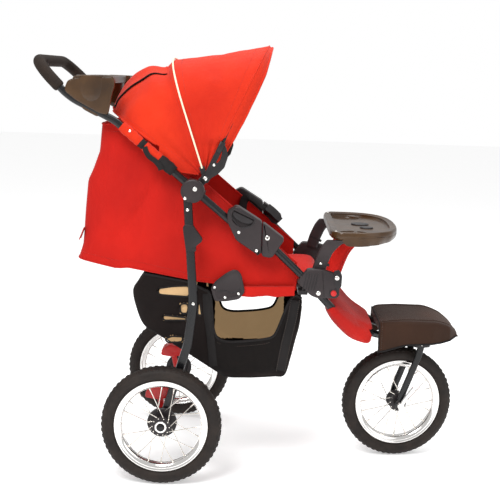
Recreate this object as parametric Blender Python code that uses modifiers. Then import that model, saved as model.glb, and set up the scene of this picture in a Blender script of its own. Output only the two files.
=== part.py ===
# Three-wheeled folding pushchair with spoked wheels, canopy, child tray and basket.
# X runs forward, Y to the child's left, Z up. Every side-profile point below is (x, z)
# measured from the rear axle's middle on the floor; the finished part is then moved so
# that the middle of its footprint is the origin.
import math

import bmesh
import bpy
from mathutils import Matrix, Vector

# Driving dimensions, metres
touch_gap = 0.0003            # space kept between pieces that touch
turn_gap = 0.0004             # radial clearance of a pin in its hole

tyre_radius = 0.1525
tyre_width = 0.047
tread_width = 0.018
rim_radius = 0.117
rim_width = 0.033
rim_depth = 0.0185            # how far the rim reaches in from its flange
tyre_bead_depth = 0.0105
tyre_bead_width = 0.0222
wheel_steps = 32              # flats round each wheel; one of them lies on the floor
spoke_count = 20
spoke_radius = 0.0013
spoke_twist = math.radians(38)
spoke_spread = 0.0045         # how far the spokes' ends stand from the rim's middle
hub_length = 0.047
hub_radius = 0.0115
hub_flange_radius = 0.0245
hub_flange_width = 0.0032
drum_radius = 0.038
axle_radius = 0.006
axle_cap_length = 0.0052
axle_cap_radius = 0.0085

rear_track = 0.552
wheelbase = 0.619
caster_trail = 0.061          # how far the front axle trails its swivel axis
swivel_x = wheelbase + caster_trail
caster_steer = math.radians(7.9)
fork_half_width = 0.0405      # middle of each fork blade
fork_blade_width = 0.0185
fork_blade_thickness = 0.008
fork_crown_bottom = 0.3110
fork_crown_top = 0.3270
fork_stem_radius = 0.0105
fork_stem_top = 0.3650
caster_head_depth = 0.0250    # from the swivel axis to the head's front and rear face
caster_head_half_width = 0.0290
caster_head_bottom = 0.3310
caster_head_top = 0.3908

tube_radius = 0.0095
leg_half_width = rear_track / 2 - 0.0335        # middle of the rear legs
frame_half_width = leg_half_width - 0.0275      # middle of the handle tube and the front tubes
leg_width = 0.022
leg_thickness = 0.012
rail_half_width = frame_half_width - 0.019      # middle of the seat rails
rail_thickness = 0.013
rail_width = 0.018
leg_clip_points = ((0.0560, 0.6500), (0.0640, 0.5900))
leg_clip_width = 0.027
leg_foot_step = 0.0005
brake_pedal_y = leg_half_width - 0.0375
brake_collar_radius = 0.0145
brake_pad_half_width = 0.024
brake_pad_outline = ((-0.0480, 0.2060), (-0.0440, 0.2260), (-0.0200, 0.2380), (0.0180, 0.2330),
                     (0.0250, 0.2180), (0.0150, 0.2060), (-0.0150, 0.2010))
pin_radius = 0.004
rivet_head_radius = 0.0055

hub_pivot = (0.0703, 0.7440)         # rear leg on the handle tube
fold_pivot = (0.2249, 0.5936)        # handle frame on the front frame
canopy_pivot = (0.0928, 0.7673)
rail_rear_pivot = (0.0718, 0.4572)   # seat rail on the rear leg
rail_front_pivot = (0.3823, 0.4898)  # seat rail at the front frame
rail_bends = ((0.1050, 0.4800), (0.2000, 0.4830))
recline_pivot = (0.1720, 0.5250)

handle_tube_end = (0.1840, 0.6406)
handle_bend = (-0.1325, 0.9030)
handle_rise = (-0.2430, 0.9560)
handle_corner = (-0.3300, 1.0430)
handle_bend_radius = 0.09
handle_rise_radius = 0.15
handle_corner_radius = 0.075
grip_radius = 0.0152
grip_start = 0.0330           # the grip begins this far past the rise

front_tube_points = ((0.2640, 0.6015), (0.3578, 0.5145), (0.4150, 0.4525), (0.4750, 0.3880),
                     (swivel_x - 0.1200, 0.3500), (swivel_x - 0.0180, 0.3500))
front_tube_spread = (frame_half_width, frame_half_width, frame_half_width, frame_half_width - 0.0650, 0.0750,
                     0.0170)
front_tube_bends = (0.20, 0.12, 0.12, 0.12)

knuckle_centre = (0.0643, 0.7384)
knuckle_radius = 0.0295
knuckle_thickness = 0.024
leg_points = ((0.0525, 0.7180), (0.0590, 0.6250), (0.0718, 0.4572), (0.0600, 0.3550), (0.0, 0.0))

housing_thickness = 0.039
housing_split = 0.0125        # the split lies this far in front of the fold pivot
fold_tongue_thickness = 0.009
fold_tongue_radius = 0.0088
lever_depth = 0.0075
lever_head = 0.0016           # how far the flap rises above its hinge line
lever_room = 0.0034           # how far its recess does

clamp_inner = frame_half_width - 0.0115
clamp_outer = frame_half_width + 0.0118
clamp_half_length = 0.026
clamp_half_height = 0.0165
canopy_ear_outer = frame_half_width - 0.0030
canopy_bracket_outer = frame_half_width + 0.0072

housing_rear_outline = ((0.1502, 0.6640), (0.1495, 0.6912), (0.1737, 0.7043),
                        (0.2290, 0.5815), (0.1730, 0.6180))
housing_split_top = 0.6655
housing_front_outline = ((0.2942, 0.6238), (0.2638, 0.5753))
lever_hinge = (0.1650, 0.6895), (0.2150, 0.6670)
lever_drop = 0.0150

strap_start = 0.012           # from the handle's bend to the wrist strap's sleeve
strap_length = 0.030
strap_cloth = 0.0025
strap_buckle = (-0.0750, 0.8420)

canopy_cloth = 0.003
canopy_seam = 0.0009          # each cloth stops this far from the middle bow's plane
canopy_squareness = 2.5       # a higher value squares the bows' shoulders
canopy_shoulder = 0.55        # share of a bow that rises straight before it curves in
canopy_sag = 0.985
front_bow_angle = math.radians(65)
front_bow_reach = 0.357
front_bow_radius = 0.0040
front_bow_half_width = frame_half_width + 0.0045
middle_bow_angle = math.radians(108.5)
middle_bow_reach = 0.3076
middle_bow_radius = 0.0025
middle_bow_half_width = frame_half_width + 0.0008
canopy_side_low = frame_half_width - 0.0065     # middle of the cloth near its pivots and higher up
canopy_side_high = frame_half_width - 0.0040
canopy_side_change = (0.100, 0.160)
canopy_rear_rows = ((113.5, 0.2890), (121.0, 0.3050), (131.0, 0.3050), (140.0, 0.3040), (147.0, 0.2990))
cloth_start = 0.020           # how far from the canopy's pivot the cloth begins
bow_socket = (0.072, 0.100)

parent_tray_top = 1.010
parent_tray_back = -0.2400
parent_tray_front = -0.1520
parent_tray_half_width = frame_half_width - 0.0250
parent_tray_depth = 0.020
tray_bracket_inner = frame_half_width - 0.0160
tray_bracket_outer = frame_half_width + 0.0160
tray_bracket_outline = ((-0.2260, 1.0020), (-0.1660, 1.0020), (-0.1720, 0.9480), (-0.1700, 0.9080),
                        (-0.2140, 0.9300), (-0.2200, 0.9600))
pocket_half_width = frame_half_width - 0.1450
cup_centre_y = frame_half_width - 0.0890
cup_radius = 0.0420
cup_wall = 0.003
cup_depth = 0.074

child_tray_top = 0.6420
child_tray_thickness = 0.021
child_tray_rim = 0.008
child_tray_well = 0.010
child_tray_half_width = frame_half_width - 0.0070
recess_half_width = child_tray_half_width - 0.1200
child_tray_outline = ((0.4080, 0.0), (0.4080, child_tray_half_width - 0.0580),
                      (0.4130, child_tray_half_width - 0.0180), (0.4300, child_tray_half_width),
                      (0.4900, child_tray_half_width), (0.5350, child_tray_half_width - 0.0160),
                      (0.5680, child_tray_half_width - 0.0530), (0.5860, 0.1000), (0.5920, 0.0400))
tray_pin = (0.4300, clamp_inner - 0.0064)       # seen from above: where the left post carries the tray
tray_pin_radius = 0.005
tray_well_x = 0.4700
tray_well_y = child_tray_half_width - 0.0680
tray_well_radius = 0.0380
post_points = ((0.3810, 0.5400), (0.3900, 0.5700), (0.4030, 0.6000), (0.4240, 0.6220), (0.4500, 0.6360))
post_width = 0.033
post_thickness = 0.0122

bracket_outline = ((0.3264, 0.5168), (0.3537, 0.5505), (0.3800, 0.5500), (0.3960, 0.5480), (0.4180, 0.5420),
                   (0.4344, 0.5330), (0.4370, 0.5150), (0.4330, 0.4860), (0.4220, 0.4770), (0.4060, 0.4770),
                   (0.3823, 0.4760), (0.3637, 0.4826))
bracket_outer = frame_half_width + 0.0125
release_button = (0.4202, 0.4910)
button_radius = 0.0075
button_travel = 0.003

seat_half_width = rail_half_width - 0.0145      # middle of the seat's side cloth
seat_cloth = 0.003
seat_tub_top = 0.8920
seat_flare = 0.062            # the cloth's rear end reaches this much further back below
seat_back_half_width = seat_half_width - 0.0135
seat_rise = 0.0340            # how far the side cloth stands above the handle arms
seat_low = 0.4890             # lowest edge of the side cloth
seat_back_length = 0.352
seat_back_board = 0.007
seat_back_pad = 0.026
seat_back_angle = math.radians(171)
pad_start = 0.036
cushion_bottom = 0.4990
cushion_height = 0.033
cushion_half_width = seat_half_width - 0.0095
cushion_rear = 0.2000
cushion_front = 0.3930
seat_board_thickness = 0.004
seat_brace_places = (0.2250, 0.3450)
seat_brace_bottom = 0.4770
seat_brace_top = 0.4870
d_plate_outline = ((0.1229, 0.4569), (0.1120, 0.4900), (0.1230, 0.5080), (0.1755, 0.5405), (0.1890, 0.5330),
                   (0.1989, 0.4835), (0.1850, 0.4640))
d_plate_inner = rail_half_width + 0.0070
d_plate_outer = rail_half_width + 0.0138

basket_half_width = seat_half_width - 0.0025
basket_cloth = 0.003
basket_sag = 0.006
basket_edge = ((-0.0620, 0.5090), (-0.0860, 0.4735), (-0.0760, 0.4200), (-0.0560, 0.3790), (0.0500, 0.3130),
               (0.1558, 0.2490), (0.2300, 0.2500), (0.3058, 0.2590), (0.3230, 0.3200), (0.3400, 0.3900),
               (0.3440, 0.4540))
basket_rim = ((-0.0600, 0.5160), (-0.0400, 0.5130), (-0.0150, 0.5090), (0.0150, 0.5040), (0.0500, 0.4980),
              (0.0880, 0.4780), (0.1120, 0.4060), (0.1900, 0.4080), (0.2600, 0.4200), (0.3100, 0.4400),
              (0.3430, 0.4640))

footrest_half_width = 0.118
footrest_wall = 0.004
footrest_side_wall = 0.026
footrest_profile = ((-0.1295, 0.3840), (-0.1150, 0.3940), (-0.0624, 0.3980), (0.0193, 0.3970),
                    (0.0468, 0.3890), (0.0700, 0.3760), (0.0847, 0.3613), (0.0828, 0.3500),
                    (0.0376, 0.3400), (-0.0565, 0.3330), (-0.0782, 0.3270), (-0.1200, 0.3130))
footrest_outline = tuple((swivel_x + x, z) for x, z in footrest_profile)
leg_rest_half_width = frame_half_width + 0.0140
leg_rest_sections = ((0.4120, 0.4565, 0.0180, leg_rest_half_width, 42.0),
                     (0.4400, 0.4230, 0.0240, leg_rest_half_width - 0.0150, 40.0),
                     (0.4840, 0.3790, 0.0270, leg_rest_half_width - 0.0590, 50.0),
                     (swivel_x - 0.1440, 0.3500, 0.0300, footrest_half_width - 0.0010, 82.0))

axle_height = tyre_radius * math.cos(math.pi / wheel_steps)
sides = {"left": 1, "right": -1}
half_turn = math.pi


# Materials: colour, roughness, metallic
finishes = {
    "tyre_rubber": ((0.030, 0.026, 0.024), 0.75, 0.0),
    "chrome": ((0.80, 0.79, 0.77), 0.15, 1.0),
    "black_metal": ((0.018, 0.018, 0.020), 0.35, 0.2),
    "grey_plastic": ((0.085, 0.075, 0.080), 0.50, 0.0),
    "black_plastic": ((0.030, 0.027, 0.026), 0.45, 0.0),
    "brown_plastic": ((0.060, 0.042, 0.030), 0.35, 0.0),
    "foam": ((0.040, 0.034, 0.031), 0.90, 0.0),
    "red_fabric": ((0.75, 0.050, 0.020), 0.85, 0.0),
    "black_fabric": ((0.028, 0.024, 0.024), 0.90, 0.0),
    "red_plastic": ((0.65, 0.030, 0.025), 0.40, 0.0),
    "piping": ((0.90, 0.82, 0.68), 0.60, 0.0),
}


def clear_scene():
    for old in list(bpy.data.objects):
        bpy.data.objects.remove(old, do_unlink=True)


clear_scene()
part_collection = bpy.data.collections.new("pushchair")
cutter_collection = bpy.data.collections.new("cutters")
bpy.context.scene.collection.children.link(part_collection)
bpy.context.scene.collection.children.link(cutter_collection)
footprint = bpy.data.objects.new("footprint", None)
part_collection.objects.link(footprint)


def make_material(name):
    colour, roughness, metallic = finishes[name]
    material = bpy.data.materials.get(name)
    if material:
        return material
    material = bpy.data.materials.new(name)
    material.use_nodes = True
    shader = material.node_tree.nodes["Principled BSDF"]
    shader.inputs["Base Color"].default_value = (*colour, 1.0)
    shader.inputs["Roughness"].default_value = roughness
    shader.inputs["Metallic"].default_value = metallic
    return material


def keep(name, data, finish, cutter=False):
    """Wrap a mesh or curve as one named piece, or without a finish as a hidden cutter."""
    piece = bpy.data.objects.new(name, data)
    if cutter or finish is None:
        cutter_collection.objects.link(piece)
        piece.hide_render = True
        piece.display_type = "WIRE"
    else:
        part_collection.objects.link(piece)
        data.materials.append(make_material(finish))
    piece.parent = footprint
    return piece


def as_mesh(piece):
    """Replace a curve or a modified piece by its plain welded mesh."""
    bpy.context.view_layer.update()
    graph = bpy.context.evaluated_depsgraph_get()
    mesh = bpy.data.meshes.new_from_object(piece.evaluated_get(graph))
    matrix = piece.matrix_world.copy()
    name = piece.name
    collection = piece.users_collection[0]
    hidden = piece.hide_render
    bpy.data.objects.remove(piece, do_unlink=True)
    mesh.transform(matrix)
    form = bmesh.new()
    form.from_mesh(mesh)
    bmesh.ops.remove_doubles(form, verts=form.verts, dist=0.000004)
    bmesh.ops.recalc_face_normals(form, faces=form.faces)
    form.to_mesh(mesh)
    form.free()
    plain = bpy.data.objects.new(name, mesh)
    collection.objects.link(plain)
    plain.hide_render = hidden
    plain.parent = footprint
    return plain


def combine(piece, others, operation):
    for other in others:
        change = piece.modifiers.new(operation.lower(), "BOOLEAN")
        change.operation = operation
        change.solver = "EXACT"
        change.object = other
    return piece


def cut(piece, cutters):
    for cutter in cutters:
        cutter.hide_render = True
        cutter.display_type = "WIRE"
    return combine(piece, cutters, "DIFFERENCE")


def join_solids(piece, others):
    """Union of touching solids, made a plain mesh at once."""
    combine(piece, others, "UNION")
    solid = as_mesh(piece)
    for other in others:
        bpy.data.objects.remove(other, do_unlink=True)
    return solid


def tube(name, points, radius, finish, resolution=3, cutter=False):
    curve = bpy.data.curves.new(name, "CURVE")
    curve.dimensions = "3D"
    curve.bevel_depth = radius
    curve.bevel_resolution = resolution
    curve.use_fill_caps = True
    spline = curve.splines.new("POLY")
    spline.points.add(len(points) - 1)
    for spot, point in zip(spline.points, points):
        spot.co = (*point, 1.0)
    return as_mesh(keep(name, curve, finish, cutter))


def plate(name, outline, near, far, finish, holes=(), cutter=False):
    """Flat outline in the XZ plane, filled and given thickness from y=near to y=far."""
    curve = bpy.data.curves.new(name, "CURVE")
    curve.dimensions = "2D"
    curve.fill_mode = "BOTH"
    curve.extrude = abs(far - near) / 2
    for loop in (outline, *holes):
        spline = curve.splines.new("POLY")
        spline.points.add(len(loop) - 1)
        for spot, (x, z) in zip(spline.points, loop):
            spot.co = (x, z, 0.0, 1.0)
        spline.use_cyclic_u = True
    piece = keep(name, curve, finish, cutter)
    piece.rotation_euler = (half_turn / 2, 0.0, 0.0)
    piece.location = (0.0, (near + far) / 2, 0.0)
    return as_mesh(piece)


def slab(name, outline, bottom, top, finish, cutter=False):
    """Flat outline in the XY plane, given thickness from z=bottom to z=top."""
    curve = bpy.data.curves.new(name, "CURVE")
    curve.dimensions = "2D"
    curve.fill_mode = "BOTH"
    curve.extrude = (top - bottom) / 2
    spline = curve.splines.new("POLY")
    spline.points.add(len(outline) - 1)
    for spot, (x, y) in zip(spline.points, outline):
        spot.co = (x, y, 0.0, 1.0)
    spline.use_cyclic_u = True
    piece = keep(name, curve, finish, cutter)
    piece.location = (0.0, 0.0, (bottom + top) / 2)
    return as_mesh(piece)


def rod(name, start, end, radius, finish, steps=12, end_radius=None, cutter=False):
    start, end = Vector(start), Vector(end)
    form = bmesh.new()
    turn = Vector((0, 0, 1)).rotation_difference(end - start).to_matrix().to_4x4()
    bmesh.ops.create_cone(
        form, cap_ends=True, segments=steps, radius1=radius,
        radius2=radius if end_radius is None else end_radius,
        depth=(end - start).length, matrix=Matrix.Translation((start + end) / 2) @ turn)
    mesh = bpy.data.meshes.new(name)
    form.to_mesh(mesh)
    form.free()
    return keep(name, mesh, finish, cutter)


def block(name, low, high, finish, bevel=0.0, cutter=False):
    form = bmesh.new()
    size = [b - a for a, b in zip(low, high)]
    middle = [(a + b) / 2 for a, b in zip(low, high)]
    matrix = Matrix.Translation(middle) @ Matrix.Diagonal((*size, 1.0))
    bmesh.ops.create_cube(form, size=1.0, matrix=matrix)
    mesh = bpy.data.meshes.new(name)
    form.to_mesh(mesh)
    form.free()
    piece = keep(name, mesh, finish, cutter)
    if bevel:
        rounding = piece.modifiers.new("rounding", "BEVEL")
        rounding.width = bevel
        rounding.segments = 2
    return piece


def turned(name, profile, centre, finish, steps, heading=0.0, cutter=False):
    """Closed (radius, offset) profile turned about an axle along Y, headed by `heading`."""
    mesh = bpy.data.meshes.new(name)
    points = [(radius, 0.0, offset) for radius, offset in profile]
    edges = [(i, (i + 1) % len(points)) for i in range(len(points))]
    mesh.from_pydata(points, edges, [])
    piece = keep(name, mesh, finish, cutter)
    screw = piece.modifiers.new("turn", "SCREW")
    screw.axis = "Z"
    screw.steps = steps
    screw.render_steps = steps
    screw.use_merge_vertices = True
    screw.merge_threshold = 0.00001
    screw.use_normal_calculate = True
    half_step = math.pi / steps
    piece.matrix_world = (
        Matrix.Translation(centre) @ Matrix.Rotation(heading, 4, "Z")
        @ Matrix.Rotation(-half_turn / 2, 4, "X") @ Matrix.Rotation(half_step + half_turn / 2, 4, "Z"))
    return as_mesh(piece)


def loft(name, rings, finish, closed_ends=True):
    """Skin over rings of equal point count, with a cap on each end."""
    form = bmesh.new()
    loops = [[form.verts.new(point) for point in ring] for ring in rings]
    count = len(loops[0])
    for first, second in zip(loops, loops[1:]):
        for i in range(count):
            j = (i + 1) % count
            form.faces.new((first[i], first[j], second[j], second[i]))
    if closed_ends:
        form.faces.new(list(reversed(loops[0])))
        form.faces.new(loops[-1])
    bmesh.ops.recalc_face_normals(form, faces=form.faces)
    mesh = bpy.data.meshes.new(name)
    form.to_mesh(mesh)
    form.free()
    return keep(name, mesh, finish)


def sheet(name, rows, thickness, finish, offset=0.0):
    """Open cloth surface through rows of points, thickened by Solidify."""
    form = bmesh.new()
    grid = [[form.verts.new(point) for point in row] for row in rows]
    for upper, lower in zip(grid, grid[1:]):
        for i in range(len(upper) - 1):
            form.faces.new((upper[i], upper[i + 1], lower[i + 1], lower[i]))
    mesh = bpy.data.meshes.new(name)
    form.to_mesh(mesh)
    form.free()
    piece = keep(name, mesh, finish)
    wall = piece.modifiers.new("cloth", "SOLIDIFY")
    wall.thickness = thickness
    wall.offset = offset
    wall.use_even_offset = True
    return as_mesh(piece)


def arc(centre, radius, start, end, steps):
    """Points on an arc in any plane given as (a, b) pairs, angles in degrees."""
    points = []
    for i in range(steps + 1):
        angle = math.radians(start + (end - start) * i / steps)
        points.append((centre[0] + radius * math.cos(angle), centre[1] + radius * math.sin(angle)))
    return points


def disc(centre, radius, steps=16):
    return arc(centre, radius, 0.0, 360.0 * (steps - 1) / steps, steps - 1)


def rounded_path(points, radii, steps=6):
    """Straight runs joined by arcs of the given radius at each inner point."""
    points = [Vector(point) for point in points]
    path = [points[0]]
    for before, corner, after, radius in zip(points, points[1:], points[2:], radii):
        to_before = (before - corner).normalized()
        to_after = (after - corner).normalized()
        half = to_before.angle(to_after) / 2
        reach = radius / math.tan(half)
        centre = corner + (to_before + to_after).normalized() * radius / math.sin(half)
        start = corner + to_before * reach - centre
        end = corner + to_after * reach - centre
        whole = start.angle(end)
        for i in range(steps + 1):
            share = i / steps
            path.append(centre + (start * math.sin((1 - share) * whole)
                                  + end * math.sin(share * whole)) / math.sin(whole))
    path.append(points[-1])
    return path


def lift(point, y):
    return (point[0], y, point[1])


def toward(start, end, distance):
    run = Vector(end) - Vector(start)
    return tuple(Vector(start) + run.normalized() * distance)


def between(start, end, share):
    return tuple(a + (b - a) * share for a, b in zip(start, end))


# Wheels
def wheel(prefix, centre, heading, drum_side=0):
    half = tyre_width / 2
    lip = rim_width / 2
    bead = tyre_bead_width / 2
    outer, flat = tyre_radius, tread_width / 2
    seat = rim_radius - tyre_bead_depth
    tyre_half = [
        (outer, flat), (outer - 0.0060, half - 0.0045), (outer - 0.0180, half),
        (outer - 0.0300, half - 0.0040), (rim_radius + touch_gap, bead), (seat + touch_gap, bead)]
    tyre_profile = tyre_half + [(r, -t) for r, t in reversed(tyre_half)]
    turned(prefix + "_tyre", tyre_profile, centre, "tyre_rubber", wheel_steps, heading)
    edge = bead + touch_gap
    rim_inner = rim_radius - rim_depth
    rim_half = [(seat, edge), (rim_radius, edge), (rim_radius, lip), (rim_inner, lip - 0.006)]
    rim_profile = rim_half + [(r, -t) for r, t in reversed(rim_half)]
    turned(prefix + "_rim", rim_profile, centre, "chrome", wheel_steps, heading)

    reach = hub_length / 2
    inner = reach - 0.005
    flange = inner - hub_flange_width
    hub_half = [
        (axle_radius + turn_gap, reach), (hub_radius - 0.002, reach), (hub_radius - 0.002, inner),
        (hub_flange_radius, inner), (hub_flange_radius, flange), (hub_radius, flange)]
    other_half = [(r, -t) for r, t in reversed(hub_half)]
    if drum_side:
        other_half[4:] = [(drum_radius, -inner), (drum_radius, -reach), (axle_radius + turn_gap, -reach)]
        if drum_side < 0:
            flipped = [(r, -t) for r, t in reversed(other_half)]
            other_half = [(r, -t) for r, t in reversed(hub_half)]
            hub_half = flipped
    hub = turned(prefix + "_hub_and_spokes", hub_half + other_half, centre, "chrome", 16, heading)
    frame = Matrix.Translation(centre) @ Matrix.Rotation(heading, 4, "Z")
    spokes = bmesh.new()
    start_radius = hub_flange_radius - 0.003
    end_radius = rim_inner * math.cos(math.pi / wheel_steps) - touch_gap
    for i in range(spoke_count):
        side = 1 if i % 2 else -1
        angle = 2 * math.pi * i / spoke_count
        lean = angle + side * spoke_twist
        start = Vector((start_radius * math.cos(lean), side * (flange + inner) / 2,
                        start_radius * math.sin(lean)))
        end = Vector((end_radius * math.cos(angle), side * spoke_spread, end_radius * math.sin(angle)))
        end -= (end - start).normalized() * spoke_radius * 0.2
        turn = Vector((0, 0, 1)).rotation_difference(end - start).to_matrix().to_4x4()
        bmesh.ops.create_cone(
            spokes, cap_ends=True, segments=4, radius1=spoke_radius, radius2=spoke_radius,
            depth=(end - start).length, matrix=frame @ Matrix.Translation((start + end) / 2) @ turn)
    mesh = bpy.data.meshes.new(prefix + "_spokes")
    spokes.to_mesh(mesh)
    spokes.free()
    join_solids(hub, [keep(prefix + "_spokes", mesh, "chrome")])


def front_wheel_centre():
    swivel = Vector((swivel_x, 0.0, axle_height))
    return swivel + Matrix.Rotation(caster_steer, 3, "Z") @ Vector((-caster_trail, 0.0, 0.0))


def wheels():
    for name, side in sides.items():
        wheel("rear_wheel_" + name, (0.0, side * rear_track / 2, axle_height), 0.0, side)
    wheel("front_wheel", front_wheel_centre(), caster_steer)


# Rear frame: legs, knuckles, axle, brake pedals
def bar(name, points, width, y_low, y_high, finish):
    """Flat bar of the given width along a path in the XZ plane."""
    path = [Vector(point) for point in points]
    left, right = [], []
    for i, point in enumerate(path):
        ahead = path[min(i + 1, len(path) - 1)] - path[max(i - 1, 0)]
        normal = Vector((-ahead.y, ahead.x)).normalized() * width / 2
        left.append(tuple(point + normal))
        right.append(tuple(point - normal))
    return plate(name, left + right[::-1], y_low, y_high, finish)


def flat_path(points, radii, steps=3):
    soft = rounded_path([(x, 0.0, z) for x, z in points], radii, steps)
    return [(point.x, point.z) for point in soft]


def leg_path():
    return flat_path([*leg_points, (0.0, axle_height)], (0.6, 0.25, 0.25))


def y_rod(name, point, start, end, radius, finish=None, steps=12):
    return rod(name, lift(point, start), lift(point, end), radius, finish, steps)


def rear_leg(name, side):
    inner = side * (leg_half_width - leg_thickness / 2)
    outer = side * (leg_half_width + leg_thickness / 2)
    axle_point = (0.0, axle_height)
    leg = bar("rear_leg_" + name, leg_path(), leg_width, inner, outer, "black_metal")
    foot = plate("leg_foot_" + name, disc(axle_point, leg_width / 2 + 0.004, 20),
                 inner + side * leg_foot_step, outer - side * leg_foot_step, "black_metal")
    pin_end = side * (rail_half_width - rail_thickness / 2 - 0.0015)
    pin = y_rod("rail_pin_" + name, rail_rear_pivot, outer - side * 0.002, pin_end, pin_radius, "black_metal")
    clip = bar("leg_clip_" + name, leg_clip_points, leg_clip_width, inner - side * 0.002,
               outer + side * 0.002, "black_metal")
    leg = join_solids(leg, [foot, pin, clip])
    bore = y_rod("leg_bore_" + name, axle_point, inner - side * 0.02, outer + side * 0.02,
                 axle_radius + touch_gap)
    cut(leg, [bore])

    knuckle_low = side * (leg_half_width - knuckle_thickness / 2)
    knuckle_high = side * (leg_half_width + knuckle_thickness / 2)
    knuckle = plate("leg_knuckle_" + name, disc(knuckle_centre, knuckle_radius, 24),
                    knuckle_low, knuckle_high, "grey_plastic")
    path = leg_path()
    end = toward(path[1], path[0], (Vector(path[0]) - Vector(path[1])).length + touch_gap)
    slot = bar("leg_slot_" + name, [end, *path[1:]], leg_width + 2 * touch_gap,
               inner - side * touch_gap, outer + side * touch_gap, None)
    pivot = y_rod("knuckle_bore_" + name, hub_pivot, knuckle_low - side * 0.01,
                  knuckle_high + side * 0.01, pin_radius + turn_gap)
    cut(knuckle, [slot, pivot])


def rear_axle():
    tip = rear_track / 2 + hub_length / 2 + touch_gap
    shoulder = leg_half_width - leg_thickness / 2 - touch_gap
    cap = tip + axle_cap_length
    half = [(tube_radius, shoulder), (axle_radius, shoulder), (axle_radius, tip), (axle_cap_radius, tip),
            (axle_cap_radius, cap - 0.0015), (axle_cap_radius - 0.002, cap), (0.0, cap)]
    profile = [(r, t) for r, t in reversed(half)] + [(r, -t) for r, t in half]
    open_turn("rear_axle", profile, (0.0, 0.0, axle_height), "black_metal", 14, 0.0)


def open_turn(name, profile, centre, finish, steps, heading):
    """Profile that starts and ends on the axle's own line, turned about Y."""
    mesh = bpy.data.meshes.new(name)
    mesh.from_pydata([(r, 0.0, t) for r, t in profile], [(i, i + 1) for i in range(len(profile) - 1)], [])
    piece = keep(name, mesh, finish)
    screw = piece.modifiers.new("turn", "SCREW")
    screw.axis = "Z"
    screw.steps = steps
    screw.render_steps = steps
    screw.use_merge_vertices = True
    screw.merge_threshold = 0.00001
    piece.matrix_world = (
        Matrix.Translation(centre) @ Matrix.Rotation(heading, 4, "Z")
        @ Matrix.Rotation(-half_turn / 2, 4, "X"))
    return as_mesh(piece)


def brake_pedal(name, side):
    """Collar on the axle, a short arm and a broad pad for the foot."""
    axle_point = (0.0, axle_height)
    middle = side * brake_pedal_y
    collar = y_rod("brake_pedal_" + name, axle_point, middle - 0.012, middle + 0.012,
                   brake_collar_radius, "red_plastic", 16)
    arm = bar("brake_arm_" + name, ((-0.002, axle_height + 0.010), (-0.012, axle_height + 0.058)),
              0.014, middle - 0.008, middle + 0.008, "red_plastic")
    pad = plate("brake_pad_" + name, brake_pad_outline, middle - brake_pad_half_width,
                middle + brake_pad_half_width, "red_plastic")
    pedal = join_solids(collar, [arm, pad])
    bore = y_rod("brake_bore_" + name, axle_point, middle - 0.03, middle + 0.03, tube_radius + turn_gap)
    cut(pedal, [bore])
    hang(pedal, lift(axle_point, middle))


def hang(piece, point):
    """Bake the piece and put its origin at the point that it moves about."""
    plain = as_mesh(piece)
    plain.data.transform(Matrix.Translation(-Vector(point)))
    plain.location = point
    return plain


def rear_frame():
    for name, side in sides.items():
        rear_leg(name, side)
        brake_pedal(name, side)
    rear_axle()


# Handle frame: tube, grip, clamps, housings, tray
def handle_path(points=None, radii=None):
    points = points or (handle_tube_end, handle_bend, handle_rise, handle_corner)
    radii = radii or (handle_bend_radius, handle_rise_radius, handle_corner_radius)
    left = [lift(point, frame_half_width) for point in points]
    right = [lift(point, -frame_half_width) for point in reversed(points)]
    return rounded_path(left + right, (*radii, *reversed(radii)))


def handle():
    tube("handle_tube", handle_path(), tube_radius, "black_metal", 2)
    start = toward(handle_rise, handle_corner, grip_start)
    grip = tube("handle_grip", handle_path((start, handle_corner), (handle_corner_radius,)),
                grip_radius, "foam", 2)
    bore = tube("grip_bore", handle_path(), tube_radius + 3 * touch_gap, None, 2, True)
    cut(grip, [bore])


def along(point, end, distance, lateral=0.0):
    """Point at a distance from `point` toward `end`, shifted to the left of that run."""
    run = (Vector(end) - Vector(point)).normalized()
    side = Vector((-run.y, run.x))
    return tuple(Vector(point) + run * distance + side * lateral)


def hub_clamp(name, side, tube_cutter):
    line = (handle_bend, handle_tube_end)
    run = (Vector(line[1]) - Vector(line[0])).normalized()
    foot = (Vector(hub_pivot) - Vector(line[0])).dot(run)
    middle = along(*line, foot)
    low, high = side * clamp_inner, side * clamp_outer
    body = plate("hub_clamp_" + name, [
        along(middle, line[1], -clamp_half_length, -clamp_half_height),
        along(middle, line[1], clamp_half_length, -clamp_half_height),
        along(middle, line[1], clamp_half_length + 0.003, 0.0),
        along(middle, line[1], clamp_half_length, clamp_half_height),
        along(middle, line[1], -clamp_half_length, clamp_half_height),
        along(middle, line[1], -clamp_half_length - 0.003, 0.0)], low, high, "grey_plastic")
    ear = bar("clamp_ear_" + name, (middle, canopy_pivot), 0.020, low, side * canopy_ear_outer,
              "grey_plastic")
    boss = plate("clamp_boss_" + name, disc(canopy_pivot, 0.0115, 14), low, side * canopy_ear_outer,
                 "grey_plastic")
    pin = y_rod("clamp_pin_" + name, hub_pivot, high - side * 0.002,
                side * (leg_half_width + knuckle_thickness / 2 + 0.0012), pin_radius, "grey_plastic")
    head_start = side * (leg_half_width + knuckle_thickness / 2 + touch_gap)
    head = y_rod("clamp_pin_head_" + name, hub_pivot, head_start, head_start + side * 0.002,
                 rivet_head_radius + 0.0012, "grey_plastic")
    canopy_pin = y_rod("canopy_pin_" + name, canopy_pivot, side * (canopy_ear_outer - 0.002),
                       side * (canopy_bracket_outer + 0.0015), pin_radius, "grey_plastic")
    cap_start = side * (canopy_bracket_outer + touch_gap)
    canopy_cap = y_rod("canopy_cap_" + name, canopy_pivot, cap_start, cap_start + side * 0.002,
                       rivet_head_radius + 0.0007, "grey_plastic")
    clamp = join_solids(body, [ear, boss, pin, head, canopy_pin, canopy_cap])
    cut(clamp, [tube_cutter])


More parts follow.
